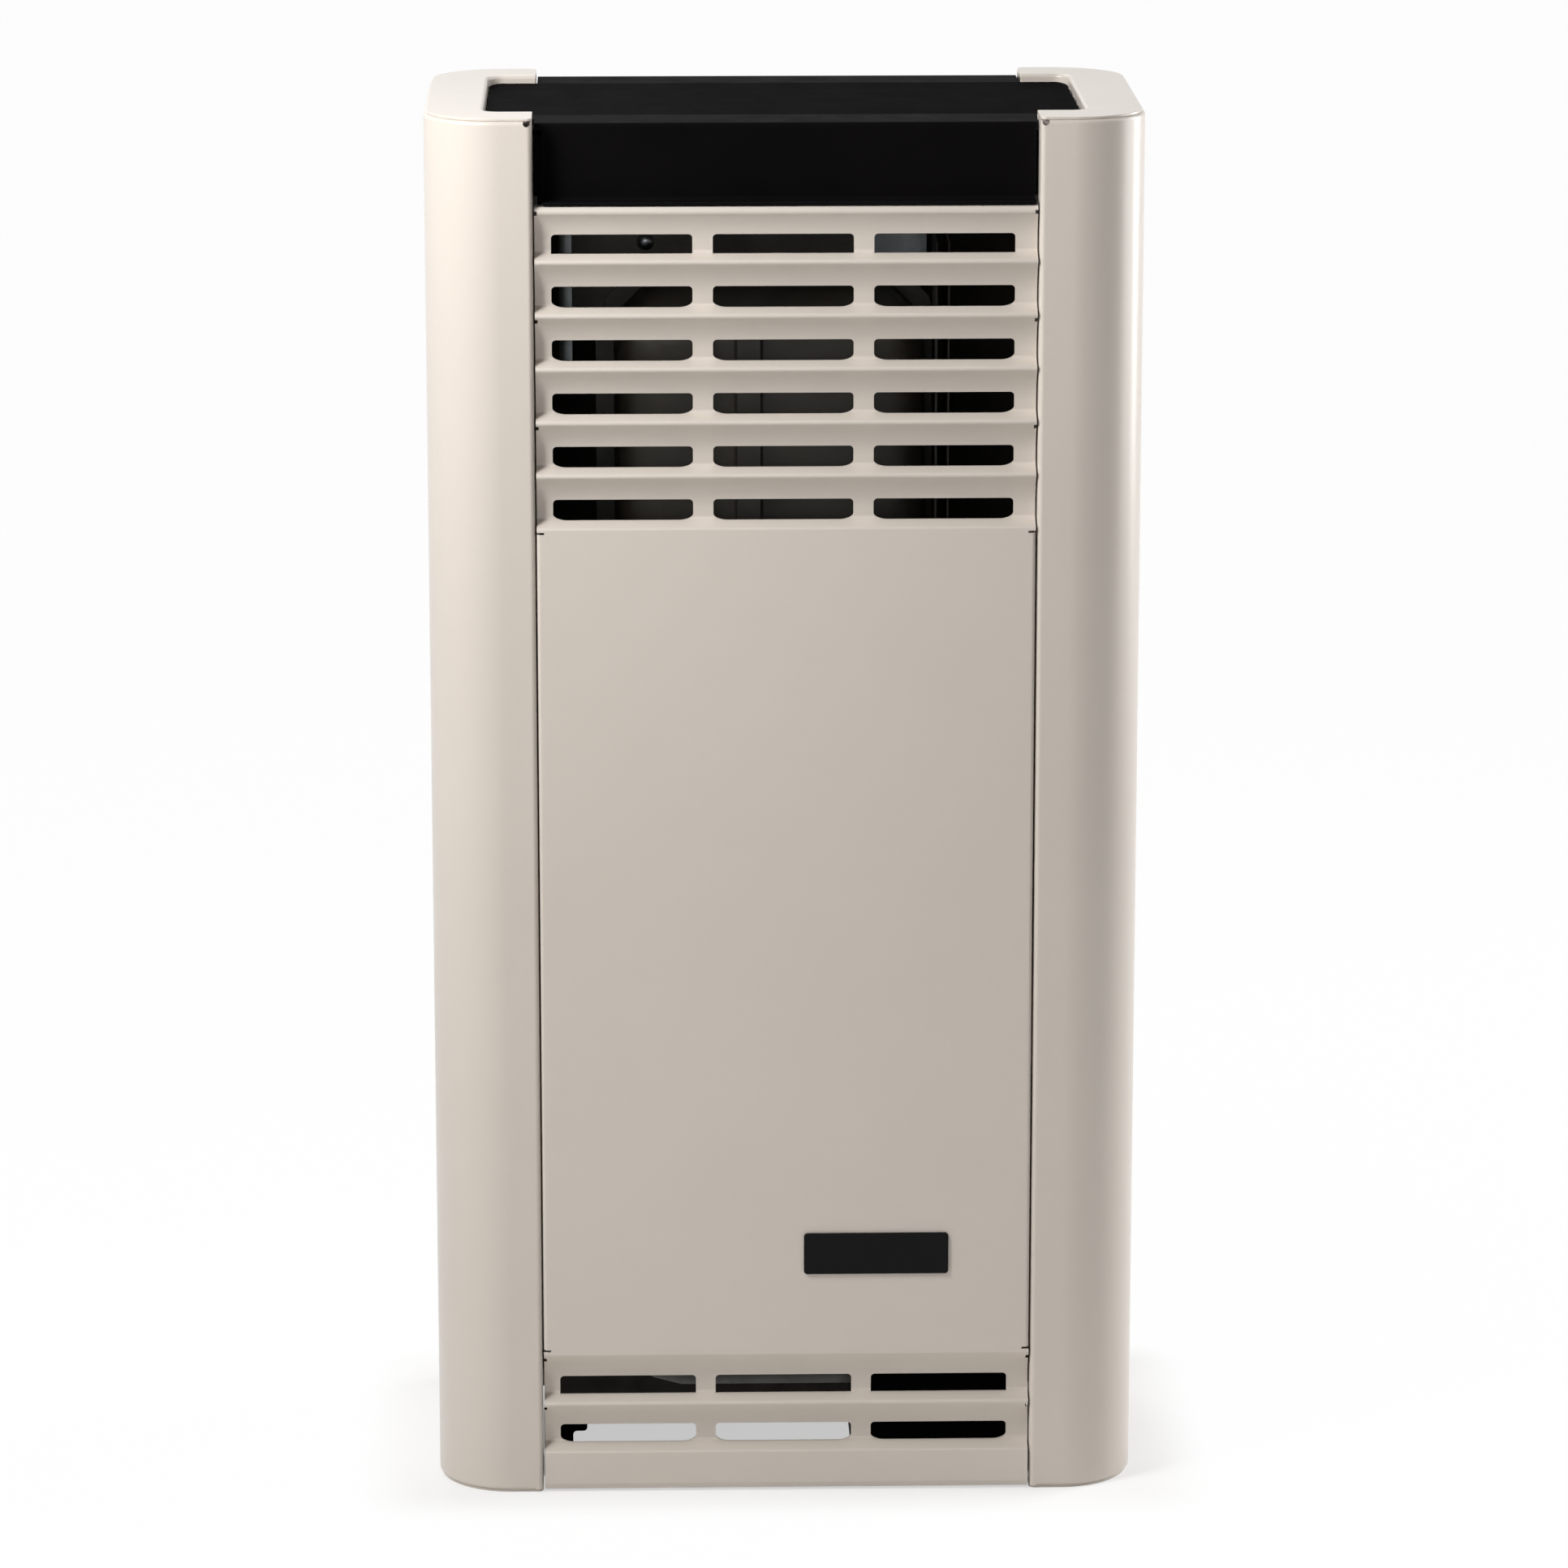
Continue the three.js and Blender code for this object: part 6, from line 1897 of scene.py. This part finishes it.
@dataclass
class BackPanel:
    """The back sheet with its flanges, beads, flue opening, wall holes and screws.

    Args:
        sheet: Sheet thickness.
        skin: How far the screw heads lie below its face.
        side_lap: How far it laps behind each column.
        side_gap: From its flanges' ends to each column.
        bottom: Height of its lower edge.
        headroom: From its top edge to the top of the caps.
        flange: How far its flanges run forward.
        bend: Radius of the folds.
        bead_width: Width of a stiffening bead.
        bead_depth: Depth of a bead.
        bead_root: How far a bead reaches into the sheet that it is joined to.
        bead_inset: From the bay's edge to a bead.
        bead_bottom: Where the beads start.
        bead_top: Where they end.
        hole_radius: Radius of a wall hole.
        hole_inset: From the bay's edge to a wall hole.
        hole_drop: From the top of the caps to the wall holes.
        flue_gap: Gap round the collar.
        screw_heights: Heights of the screws along each side.
        screw_inset: From the bay's edge out to the screws.
        screw_head: Radius of a countersunk head.
        screw_shank: Radius of its shank.
        screw_length: Length of a screw.
        recess_arm: Length of an arm of the cross recess.
        recess_width: Its width.
        recess_depth: How deep it lies below the face of the sheet.
    """

    sheet: float = 1.2
    skin: float = 0.1
    side_lap: float = 15.0
    side_gap: float = 0.3
    bottom: float = 3.0
    headroom: float = 8.0
    flange: float = 12.0
    bend: float = 2.0
    bead_width: float = 9.0
    bead_depth: float = 2.0
    bead_root: float = 0.1
    bead_inset: float = 27.5
    bead_bottom: float = 90.0
    bead_top: float = 350.0
    hole_radius: float = 4.5
    hole_inset: float = 16.5
    hole_drop: float = 60.0
    flue_gap: float = 0.6
    screw_heights: tuple[float, ...] = (28.0, 205.0, 400.0, 590.0)
    screw_inset: float = 7.5
    screw_head: float = 3.4
    screw_shank: float = 1.7
    screw_length: float = 9.0
    recess_arm: float = 1.9
    recess_width: float = 0.7
    recess_depth: float = 0.85

    def screw_places(self) -> list[Point2]:
        """Lists the screws as (x, z)."""
        reach = CASING.inner_x + self.screw_inset
        return [(side * reach, z) for side in (-1, 1) for z in self.screw_heights]

    def countersink(self, grow: float) -> Solid:
        """Makes a countersunk screw at the origin, or the sink that its head lies in.

        Args:
            grow: How much wider and longer than the head a sink is, or zero for the screw.

        Returns:
            The solid, its axis along y.
        """
        back = CASING.rear + self.sheet
        tip = CASING.rear - grow if grow else back - self.screw_length
        profile = [
            (0.0, tip),
            (self.screw_shank + grow, tip),
            (self.screw_shank + grow, CASING.rear),
            (self.screw_head + grow, back - self.skin / 2),
            (self.screw_head + grow, back - self.skin + 2 * grow),
            (0.0, back - self.skin + 2 * grow),
        ]
        return turned(profile, Axis.Y, (0.0, 0.0), sides=32, closed=False)

    def build_screws(self) -> None:
        """Builds the countersunk screws with their cross recesses."""
        back = CASING.rear + self.sheet
        arm, half = self.recess_arm, self.recess_width / 2
        quarter = [(half, half), (half, arm), (-half, arm), (-half, half)]
        cross: list[Point2] = []
        for _ in range(4):
            cross.extend(quarter[1:])
            quarter = [(-b, a) for a, b in quarter]
        recess = prism(cross, Axis.Y, back - self.recess_depth, back + self.recess_depth)
        screw = carved(self.countersink(0.0), (Cut.TAKE, recess))
        for number, (x, z) in enumerate(self.screw_places(), 1):
            place_piece(f"back_screw_{number}", screw.moved(x, 0.0, z), PLATED_SCREW)

    def build(self) -> None:
        """Builds the back sheet and its screws."""
        self.build_screws()
        back = CASING.rear + self.sheet
        inset = CASING.rear - self.flange
        top = CASING.height - self.headroom
        width = 2 * (CASING.inner_x + self.side_lap)
        past = CASING.overrun
        flange_half = CASING.inner_x - self.side_gap
        outline = rounded_outline(
            (0, (self.bottom + top) / 2), width, top - self.bottom, self.bead_depth
        )
        plate = prism(outline, Axis.Y, CASING.rear, back)
        channel_path = [
            (inset, self.bottom),
            (back, self.bottom, self.bend),
            (back, top - TopGrille.rear_drop, self.bend),
            (inset, top - TopGrille.rear_drop),
        ]
        channel = prism(sheet_outline(channel_path, self.sheet), Axis.X, -flange_half, flange_half)
        joins = []
        flue = FlueTubes()
        opening = round_outline((flue.x, flue.z), flue.collar + self.flue_gap, sides=96)
        cuts = [prism(opening, Axis.Y, inset, back + past)]
        length = self.bead_top - self.bead_bottom + self.bead_width
        middle = (self.bead_bottom + self.bead_top) / 2
        ridge = CASING.rear - self.bead_depth
        for side in (-1, 1):
            bead_x = side * (CASING.inner_x - self.bead_inset)
            for shrink, start, end, kept in (
                (0.0, ridge, CASING.rear + self.bead_root, joins),
                (2 * self.sheet, ridge + self.sheet, back + past, cuts),
            ):
                bead = self.bead_width - shrink
                outline = rounded_outline(
                    (bead_x, middle), bead, length - shrink, bead / 2 - LEAST_FLAT_MM
                )
                kept.append(prism(outline, Axis.Y, start, end))
            hole_x = side * (CASING.inner_x - self.hole_inset)
            hole = round_outline((hole_x, CASING.height - self.hole_drop), self.hole_radius)
            cuts.append(prism(hole, Axis.Y, inset, back + past))
        cuts.extend(self.countersink(self.skin).moved(x, 0.0, z) for x, z in self.screw_places())
        solid = carved(
            plate, (Cut.JOIN, channel), (Cut.JOIN, gathered(joins)), (Cut.TAKE, gathered(cuts))
        )
        piece = place_piece("back_sheet", solid, ZINC_SHEET, node="back_panel")
        # The faces that look into the casing get the near-black zinc as painted shade.
        piece.data.materials.append(SHADE_BLACKENED_ZINC.material())
        for face in piece.data.polygons:
            looks_inwards = face.normal.y < -0.5
            face.material_index = int(looks_inwards)


@dataclass
class FlueTubes:
    """The concentric collar and exhaust tube in the back.

    Args:
        x: Middle of the flue.
        z: Height of the flue.
        collar: Outer radius of the collar.
        collar_sheet: Its thickness.
        collar_front: Its front end.
        collar_seat: Rear face of its flange.
        collar_flange: Reach of its flange.
        tube: Outer radius of the exhaust tube.
        tube_sheet: Its thickness.
        tube_seat: Rear face of its flange.
        tube_flange: Reach of its flange.
        end: Where both end.
        roll: Radius of the collar's rolled edge.
    """

    x: float = -6.375
    z: float = 430.0
    collar: float = 53.875
    collar_sheet: float = 1.4
    collar_front: float = 66.7
    collar_seat: float = 85.7
    collar_flange: float = 6.0
    tube: float = 34.37
    tube_sheet: float = 1.2
    tube_seat: float = 42.2
    tube_flange: float = 8.0
    end: float = 88.7
    roll: float = 0.5

    def build(self) -> None:
        """Builds the collar and the tube."""
        bore = self.collar - self.collar_sheet
        flange = self.collar + self.collar_flange
        collar_path = [
            (bore, self.collar_front),
            (self.collar, self.collar_front),
            (self.collar, self.collar_seat - self.collar_sheet),
            (flange, self.collar_seat - self.collar_sheet),
            (flange, self.collar_seat),
            (self.collar, self.collar_seat),
            (self.collar, self.end - self.roll),
            (self.collar - self.roll / 3, self.end - self.roll / 3),
            (self.collar - self.roll, self.end),
            (bore + self.roll, self.end),
            (bore + self.roll / 3, self.end - self.roll / 3),
            (bore, self.end - self.roll),
        ]
        collar = turned(collar_path, Axis.Y, (self.x, self.z))
        place_piece("air_collar", collar, ZINC_SHEET, node="flue_collar")
        inner = self.tube - self.tube_sheet
        reach = self.tube + self.tube_flange
        tube_path = [
            (inner, self.tube_seat - self.tube_sheet),
            (reach, self.tube_seat - self.tube_sheet),
            (reach, self.tube_seat),
            (self.tube, self.tube_seat),
            (self.tube, self.end - self.roll),
            (self.tube - self.roll / 3, self.end - self.roll / 3),
            (self.tube - self.roll, self.end),
            (inner + self.roll / 2, self.end),
            (inner, self.end - self.roll),
        ]
        tube = turned(tube_path, Axis.Y, (self.x, self.z))
        place_piece("exhaust_tube", tube, STAINLESS, node="exhaust_spigot")


@dataclass
class Controls:
    """The tray, the knob and the igniter button in the right column.

    Args:
        y: The plane that they are centred on.
        tray_z: Height of the middle of the tray and of the column's window.
        tray_width: Width of the tray.
        tray_height: Height of the tray.
        tray_corner: Its corner radius.
        tray_floor: Outside of its floor.
        tray_mouth: Where its flange ends.
        tray_wall: Its wall thickness.
        tray_flange: Reach of its flange.
        tray_edge: Width of its broken edges.
        knob_bore: Radius of the floor's hole for the knob's hub.
        button_bore: Radius of its hole for the button's stem.
        knob_z: Height of the knob.
        knob_radius: Radius over the knob's flutes.
        knob_back: Its rear face.
        knob_front: Its front.
        knob_wall: Thickness of its skirt and face.
        knob_edge: Width of its rounded edges.
        crease: Edges of the knob that turn by more than these degrees are rounded.
        flutes: Number of flutes.
        flute_depth: Depth of a flute.
        flute_steps: Facets of a flute.
        hub_radius: Radius of its hub.
        hub_length: How far the hub stands behind the skirt.
        pointer_width: Width of the pointer bar.
        pointer_rise: Height of the pointer bar.
        line_start: From the knob's middle to the filled line on the bar.
        line_margin: From the line to the knob's rim.
        line_width: Width of the line.
        line_corner: Its corner radius.
        line_depth: Depth of its groove.
        line_gap: How much wider the groove is.
        line_sink: How far the line lies below the bar's face.
        spindle: Radius of the spindle's bore.
        spindle_flat: Where the bore's flat lies above the middle.
        spindle_cover: From the end of the bore to the knob's front.
        button_z: Height of the button.
        button_radius: Radius of the button's head.
        stem_radius: Radius of its stem.
        stem_start: Inner end of the stem.
        head_back: Rear face of the head.
        head_length: Length of the head.
        head_chamfer: Width of the chamfer on its rear edge.
        head_dish: Depth of the hollow in its face.
        button_edge: Radius of the head's edge.
        dish_steps: Facets from the edge to the middle of the dish.
    """

    y: float = 0.0
    tray_z: float = 67.0
    tray_width: float = 68.0
    tray_height: float = 88.0
    tray_corner: float = 8.0
    tray_floor: float = 130.8
    tray_mouth: float = 155.0
    tray_wall: float = 1.5
    tray_flange: float = 5.0
    tray_edge: float = 0.3
    knob_bore: float = 7.5
    button_bore: float = 6.8
    knob_z: float = 84.0
    knob_radius: float = 17.0
    knob_back: float = 136.9
    knob_front: float = 153.2
    knob_wall: float = 3.5
    knob_edge: float = 0.45
    crease: float = 50.0
    flutes: int = 10
    flute_depth: float = 0.9
    flute_steps: int = 16
    hub_radius: float = 6.3
    hub_length: float = 2.6
    pointer_width: float = 5.0
    pointer_rise: float = 3.5
    line_start: float = 5.5
    line_margin: float = 3.4
    line_width: float = 1.2
    line_corner: float = 0.5
    line_depth: float = 0.6
    line_gap: float = 0.1
    line_sink: float = 0.08
    spindle: float = 3.3
    spindle_flat: float = 2.5
    spindle_cover: float = 3.2
    button_z: float = 42.0
    button_radius: float = 7.0
    stem_radius: float = 4.8
    stem_start: float = 120.8
    head_back: float = 140.8
    head_length: float = 5.5
    head_chamfer: float = 0.3
    head_dish: float = 0.5
    button_edge: float = 1.6
    dish_steps: int = 6

    def build(self) -> None:
        """Builds the tray, the knob and the button."""
        self.build_tray()
        self.build_knob()
        self.build_button()

    def tray_outline(self, grow: float) -> list[Point2]:
        """Draws the tray's plan, grown or shrunk all round."""
        size = (self.tray_width + 2 * grow, self.tray_height + 2 * grow)
        return rounded_outline((self.y, self.tray_z), *size, self.tray_corner + grow)

    def build_tray(self) -> None:
        """Builds the dished tray with its bored floor."""
        past = CASING.overrun
        floor, mouth, wall = self.tray_floor, self.tray_mouth, self.tray_wall
        walls = prism(self.tray_outline(0.0), Axis.X, floor, mouth)
        flange = prism(self.tray_outline(self.tray_flange), Axis.X, mouth - wall, mouth)
        hollow = prism(self.tray_outline(-wall), Axis.X, floor + wall, mouth + past)
        bores = gathered(
            rod(radius, Axis.X, (self.y, z), floor - past, floor + past)
            for radius, z in ((self.knob_bore, self.knob_z), (self.button_bore, self.button_z))
        )
        solid = carved(walls, (Cut.JOIN, flange), (Cut.TAKE, hollow), (Cut.TAKE, bores))
        place_piece("recess_tray", solid, PHENOLIC, node="control_tray", edge_mm=self.tray_edge)

    def build_knob(self) -> None:
        """Builds the fluted knob with its pointer bar and the bar's filled line."""
        centre = (self.y, self.knob_z)
        past = CASING.overrun
        face = self.knob_front - self.pointer_rise
        steps = self.flutes * self.flute_steps
        outline = []
        for k in range(steps):
            angle = k / steps * math.tau
            radius = self.knob_radius - self.flute_depth / 2 * (1 + math.cos(angle * self.flutes))
            y, z = math.cos(angle) * radius, math.sin(angle) * radius
            outline.append((centre[0] + y, centre[1] + z))
        skirt = prism(outline, Axis.X, self.knob_back, face)
        length = 2 * (self.knob_radius - 2 * self.flute_depth)
        root = face - self.knob_wall / 2
        bar = rounded_outline(
            centre, self.pointer_width, length, self.pointer_width / 2 - LEAST_FLAT_MM
        )
        pointer = prism(bar, Axis.X, root, self.knob_front)
        inside = self.knob_radius - self.knob_wall
        hollow = rod(inside, Axis.X, centre, self.knob_back - past, face - self.knob_wall)
        hub = rod(self.hub_radius, Axis.X, centre, self.knob_back - self.hub_length, root)
        bore_end = self.knob_front - self.spindle_cover
        spindle = rod(self.spindle, Axis.X, centre, self.knob_back - past, bore_end)
        flat = block(
            (self.knob_back, centre[0] - past, centre[1] + self.spindle_flat),
            (self.knob_front, centre[0] + past, centre[1] + past),
        )
        bore = carved(spindle, (Cut.TAKE, flat))
        solid = carved(
            skirt,
            (Cut.JOIN, pointer),
            (Cut.TAKE, hollow),
            (Cut.JOIN, hub),
            (Cut.TAKE, bore),
            (Cut.TAKE, self.pointer_line(groove=True)),
        )
        place_piece(
            "fluted_knob", solid, PHENOLIC, Body.KNOB, "control_knob", self.knob_edge, self.crease
        )
        place_piece("pointer_line", self.pointer_line(groove=False), LINE_PAINT, Body.KNOB)

    def pointer_line(self, groove: bool) -> Solid:
        """Makes the filled line on the pointer bar, or what cuts the groove that it lies in.

        Args:
            groove: Whether it is the groove.

        Returns:
            The solid.
        """
        grow = self.line_gap if groove else 0.0
        start, end = self.line_start, self.knob_radius - self.line_margin
        outline = rounded_outline(
            (self.y, self.knob_z + (start + end) / 2),
            self.line_width + grow,
            end - start + grow,
            self.line_corner,
        )
        rise = CASING.overrun if groove else -self.line_sink
        return prism(outline, Axis.X, self.knob_front - self.line_depth, self.knob_front + rise)

    def build_button(self) -> None:
        """Builds the button with its rounded, dished head."""
        front = self.head_back + self.head_length
        edge = self.button_edge
        face = self.button_radius - edge
        profile = [
            (0.0, self.stem_start),
            (self.stem_radius, self.stem_start),
            (self.stem_radius, self.head_back),
            (self.button_radius - self.head_chamfer, self.head_back),
            (self.button_radius, self.head_back + self.head_chamfer),
        ]
        for k in range(QUARTER_STEPS + 1):
            angle = k / QUARTER_STEPS * math.pi / 2
            profile.append((face + math.cos(angle) * edge, front - edge + math.sin(angle) * edge))
        for k in range(1, self.dish_steps + 1):
            share = k / self.dish_steps
            sink = self.head_dish * math.sin(share * math.pi / 2)
            profile.append((face * (1 - share), front - sink))
        solid = turned(profile, Axis.X, (self.y, self.button_z), sides=64, closed=False)
        place_piece("push_button", solid, RED_ABS, Body.BUTTON, "igniter_button")


@dataclass(frozen=True)
class CoilSpring:
    """A compression spring along X, built at its resting length.

    Args:
        name: The piece's name.
        node: The frame node that it stands for.
        joint: Not used.
        travel: Not used.
        start: Where its fixed end is.
        end: Where its moving end is at rest.
        centre: Where its axis crosses the plane square to it.
        radius: Mean radius of its turns.
        wire: Radius of its wire.
        turns: Number of turns.
        steps: Facets of a turn.
        sides: Facets round the wire.
    """

    name: str
    node: str
    joint: str
    travel: float
    start: float
    end: float
    centre: Point2
    radius: float
    wire: float
    turns: int = 3
    steps: int = 32
    sides: int = 12

    def build(self) -> None:
        """Builds the spring as one unbroken wire."""
        points: list[Corner] = []
        last = self.turns * self.steps
        for i in range(last + 1):
            angle = i / self.steps * math.tau
            rise = (self.end - self.start - 2 * self.wire) * i / last
            for k in range(self.sides):
                around = k / self.sides * math.tau
                reach = self.radius + math.cos(around) * self.wire
                x = self.start + self.wire + rise + math.sin(around) * self.wire
                y = self.centre[0] + math.cos(angle) * reach
                points.append((x, y, self.centre[1] + math.sin(angle) * reach))
        coil = skinned(points, self.sides)
        piece = place_piece(self.name, coil, SPRING_WIRE, node=self.node, sharp_degrees=60.0)
        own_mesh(piece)


SPRINGS = (
    CoilSpring(
        name="knob_coil",
        node="knob_spring",
        joint="knob_push",
        travel=4.0,
        start=125.8,
        end=134.0,
        centre=(0.0, 84.0),
        radius=5.1,
        wire=0.4,
    ),
    CoilSpring(
        name="igniter_coil",
        node="igniter_spring",
        joint="igniter_press",
        travel=6.0,
        start=110.1,
        end=120.5,
        centre=(0.0, 42.0),
        radius=4.0,
        wire=0.5,
    ),
)


# Studio


@dataclass(frozen=True)
class Lamp:
    """A soft rectangular lamp.

    Args:
        name: The lamp's name.
        place: Where it hangs, in metres.
        target: The point that it faces.
        size: Its width and height, in metres.
        power: Its power in watts.
    """

    name: str
    place: Corner
    target: Corner
    size: Point2
    power: float


LAMPS = (
    Lamp("left_key", (-0.6, -0.55, 1.05), (0.0, 0.0, 0.5), (0.25, 0.5), 9.0),
    Lamp("left_edge", (-0.75, -0.33, 1.0), (0.0, 0.0, 0.5), (0.25, 0.8), 2.2),
    Lamp("front_fill", (-0.3, -2.6, 0.95), (0.0, 0.0, 0.4), (0.5, 0.5), 5.0),
    Lamp("right_side", (1.3, 0.1, 0.75), (0.12, 0.0, 0.3), (0.4, 1.2), 6.5),
    Lamp("right_rim", (1.25, 0.6, 0.75), (0.12, 0.0, 0.3), (0.4, 1.2), 11.5),
    Lamp("back_fill", (-0.4, 1.5, 1.9), (0.0, 0.0, 0.3), (0.8, 0.8), 10.0),
)


@dataclass
class Studio:
    """The floor, the lights and the camera of the picture.

    Args:
        floor_reach_m: Half the width of the floor.
        paper: sRGB colour of the floor.
        paper_shade: sRGB colour that the floor drifts towards.
        daylight: sRGB colour of the light all round.
        near_glow: Share of white that the floor shows under the heater; held below far_glow, it
        greys the floor round the base as a painted shadow.
        far_glow: Share of white that it shows away from it.
        glow_reach_mm: How far outside the heater the floor has faded to white.
        ambient: Strength of the light all round.
        camera_side_m: How far left of the middle the camera stands.
        camera_distance_m: From the front plane of the casing to the camera.
        camera_height_m: Height of the camera above the floor.
        camera_pitch_deg: How far the camera looks down.
        camera_yaw_deg: How far it looks to the right.
        focal_pixels: The lens, as its focal length in pixels of the photograph.
        sight_m: How far the camera sees.
    """

    floor_reach_m: float = 30.0
    paper: str = "f2f1ef"
    paper_shade: str = "efedea"
    daylight: str = "fbfaf8"
    near_glow: float = 0.55
    far_glow: float = 0.975
    glow_reach_mm: float = 40.0
    ambient: float = 0.05
    camera_side_m: float = 0.071
    camera_distance_m: float = 2.8
    camera_height_m: float = 0.990
    camera_pitch_deg: float = 13.32
    camera_yaw_deg: float = 1.43
    focal_pixels: float = 8083.0
    sight_m: float = 100.0

    def build(self) -> None:
        """Builds the floor, the surroundings, the lamps and the camera."""
        self.lay_floor()
        self.set_surroundings()
        for lamp in LAMPS:
            self.hang_lamp(lamp)
        self.place_camera()

    def seen_socket(self, tree: Tree) -> Socket:
        """Gives one for rays that show a surface to the eye, straight, mirrored or through glass.

        Args:
            tree: The node tree to build in.

        Returns:
            The socket that carries the answer.
        """
        rays = add_node(tree, "ShaderNodeLightPath").outputs
        seen = rays["Is Camera Ray"]
        for kind in ("Is Glossy Ray", "Is Transmission Ray"):
            either = {"operation": "MAXIMUM"}
            seen = add_node(tree, "ShaderNodeMath", either, {0: seen, 1: rays[kind]}).outputs[0]
        return seen

    def lay_floor(self) -> None:
        """Lays a pale floor that keeps the heater's shadow and shows nearly white."""
        reach = self.floor_reach_m
        mesh = bpy.data.meshes.new("floor")
        mesh.from_pydata(
            [(-reach, -reach, 0), (reach, -reach, 0), (reach, reach, 0), (-reach, reach, 0)],
            [],
            [(0, 1, 2, 3)],
        )
        floor = bpy.data.objects.new("floor", mesh)
        bpy.context.scene.collection.objects.link(floor)
        finish = Finish(
            name="pale_paper_floor",
            slot="",
            colour=self.paper,
            shade=self.paper_shade,
            cloud_mm=900.0,
            cloud_share=0.3,
            roughness=0.8,
        )
        material = finish.material()
        self.whiten(material)
        mesh.materials.append(material)

    def glow_socket(self, tree: Tree) -> Socket:
        """Lets the share of white grow from the heater's outline outwards, so that the floor greys
        round the heater's base as a painted shadow.

        Args:
            tree: The floor material's node tree.

        Returns:
            The socket that carries the share.
        """
        outside = add_node(tree, "ShaderNodeTexCoord").outputs["Object"]
        half = (CASING.half * MM, CASING.depth / 2 * MM, 0.0)
        origin = (0.0, 0.0, 0.0)
        for operation, other in (("ABSOLUTE", origin), ("SUBTRACT", half), ("MAXIMUM", origin)):
            step = {"operation": operation, 1: other}
            outside = add_node(tree, "ShaderNodeVectorMath", step, {0: outside}).outputs["Vector"]
        reach = add_node(tree, "ShaderNodeVectorMath", {"operation": "LENGTH"}, {0: outside})
        # Less white close to the heater greys the floor round its base: a painted shadow.
        share = add_node(
            tree,
            "ShaderNodeMapRange",
            {
                "interpolation_type": "SMOOTHSTEP",
                "From Max": self.glow_reach_mm * MM,
                "To Min": self.near_glow,
                "To Max": self.far_glow,
            },
            {"Value": reach.outputs["Value"]},
        )
        return share.outputs["Result"]

    def whiten(self, material: bpy.types.Material) -> None:
        """Mixes white light into what the eye sees of a material, and adds none to the room.

        Args:
            material: The floor's material.
        """
        tree = material.node_tree
        end = next(n for n in tree.nodes if n.bl_idname == "ShaderNodeOutputMaterial")
        surface = end.inputs["Surface"].links[0].from_socket
        share = add_node(
            tree,
            "ShaderNodeMath",
            {"operation": "MULTIPLY"},
            {0: self.seen_socket(tree), 1: self.glow_socket(tree)},
        )
        glow = add_node(tree, "ShaderNodeEmission", {"Color": (1, 1, 1, 1), "Strength": 1.0})
        mix = add_node(
            tree,
            "ShaderNodeMixShader",
            None,
            {0: share.outputs["Value"], 1: surface, 2: glow.outputs["Emission"]},
        )
        tree.links.new(mix.outputs[0], end.inputs["Surface"])

    def set_surroundings(self) -> None:
        """Sets a soft grey light all round that the eye and reflections see as white."""
        world = bpy.data.worlds.new("studio")
        bpy.context.scene.world = world
        world.use_nodes = True
        tree = world.node_tree
        tree.nodes.clear()
        ambient = add_node(
            tree, "ShaderNodeBackground", {"Color": linear(self.daylight), "Strength": self.ambient}
        )
        white = add_node(tree, "ShaderNodeBackground", {"Color": (1, 1, 1, 1), "Strength": 1.0})
        mix = add_node(
            tree,
            "ShaderNodeMixShader",
            None,
            {0: self.seen_socket(tree), 1: ambient.outputs[0], 2: white.outputs[0]},
        )
        add_node(tree, "ShaderNodeOutputWorld", None, {"Surface": mix.outputs[0]})

    def hang_lamp(self, lamp: Lamp) -> None:
        """Hangs one lamp so that it faces its target.

        Args:
            lamp: The lamp's place, size and power.
        """
        light = bpy.data.lights.new(lamp.name, "AREA")
        light.shape = "RECTANGLE"
        light.size, light.size_y = lamp.size
        light.energy = lamp.power
        holder = bpy.data.objects.new(lamp.name, light)
        holder.location = lamp.place
        aim = Vector(lamp.target) - Vector(lamp.place)
        holder.rotation_mode = "QUATERNION"
        holder.rotation_quaternion = aim.to_track_quat("-Z", "Y")
        bpy.context.scene.collection.objects.link(holder)

    def place_camera(self) -> None:
        """Places the camera where the photograph was taken from."""
        camera = bpy.data.cameras.new("camera")
        camera.sensor_width = SENSOR_WIDTH
        camera.lens = self.focal_pixels / PHOTO_WIDTH * SENSOR_WIDTH
        camera.clip_end = self.sight_m
        holder = bpy.data.objects.new("camera", camera)
        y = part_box("left_side_column")[0].y - self.camera_distance_m
        holder.location = (-self.camera_side_m, y, self.camera_height_m)
        pitch = math.radians(90 - self.camera_pitch_deg)
        holder.rotation_euler = (pitch, 0.0, -math.radians(self.camera_yaw_deg))
        bpy.context.scene.collection.objects.link(holder)
        bpy.context.scene.camera = holder


def dress_frame(nodes: dict[str, bpy.types.Object], subparts: list[dict[str, str]]) -> None:
    """Gives every frame node its finish and smooth shading.

    Args:
        nodes: The frame's nodes by name.
        subparts: The record's rows that give each node its slot.
    """
    for row in subparts:
        name = row["node"]
        finish = CHANGED_FINISHES.get(name, SLOT_FINISHES[row["material_slot"]])
        materials = nodes[name].data.materials
        materials.clear()
        materials.append(finish.material())
        shade_frame_node(nodes[name])
        LOG.info("%s: %s on the frame's own mesh", name, finish.name)


def main() -> None:
    """Builds the dressed heater and its studio."""
    logging.basicConfig(level=logging.INFO, format="%(name)s: %(message)s")
    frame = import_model()
    bpy.context.scene.view_settings.view_transform = "Standard"
    dress_frame(frame["nodes"], frame["record"]["subparts"])
    assemblies = (
        SideColumns(),
        EndCaps(),
        TopGrille(),
        FrontPanel(),
        CrossMembers(),
        BadgePlate(),
        BackPanel(),
        FlueTubes(),
        Controls(),
        *SPRINGS,
    )
    for assembly in assemblies:
        assembly.build()
    Studio().build()


if __name__ == "__main__":
    main()
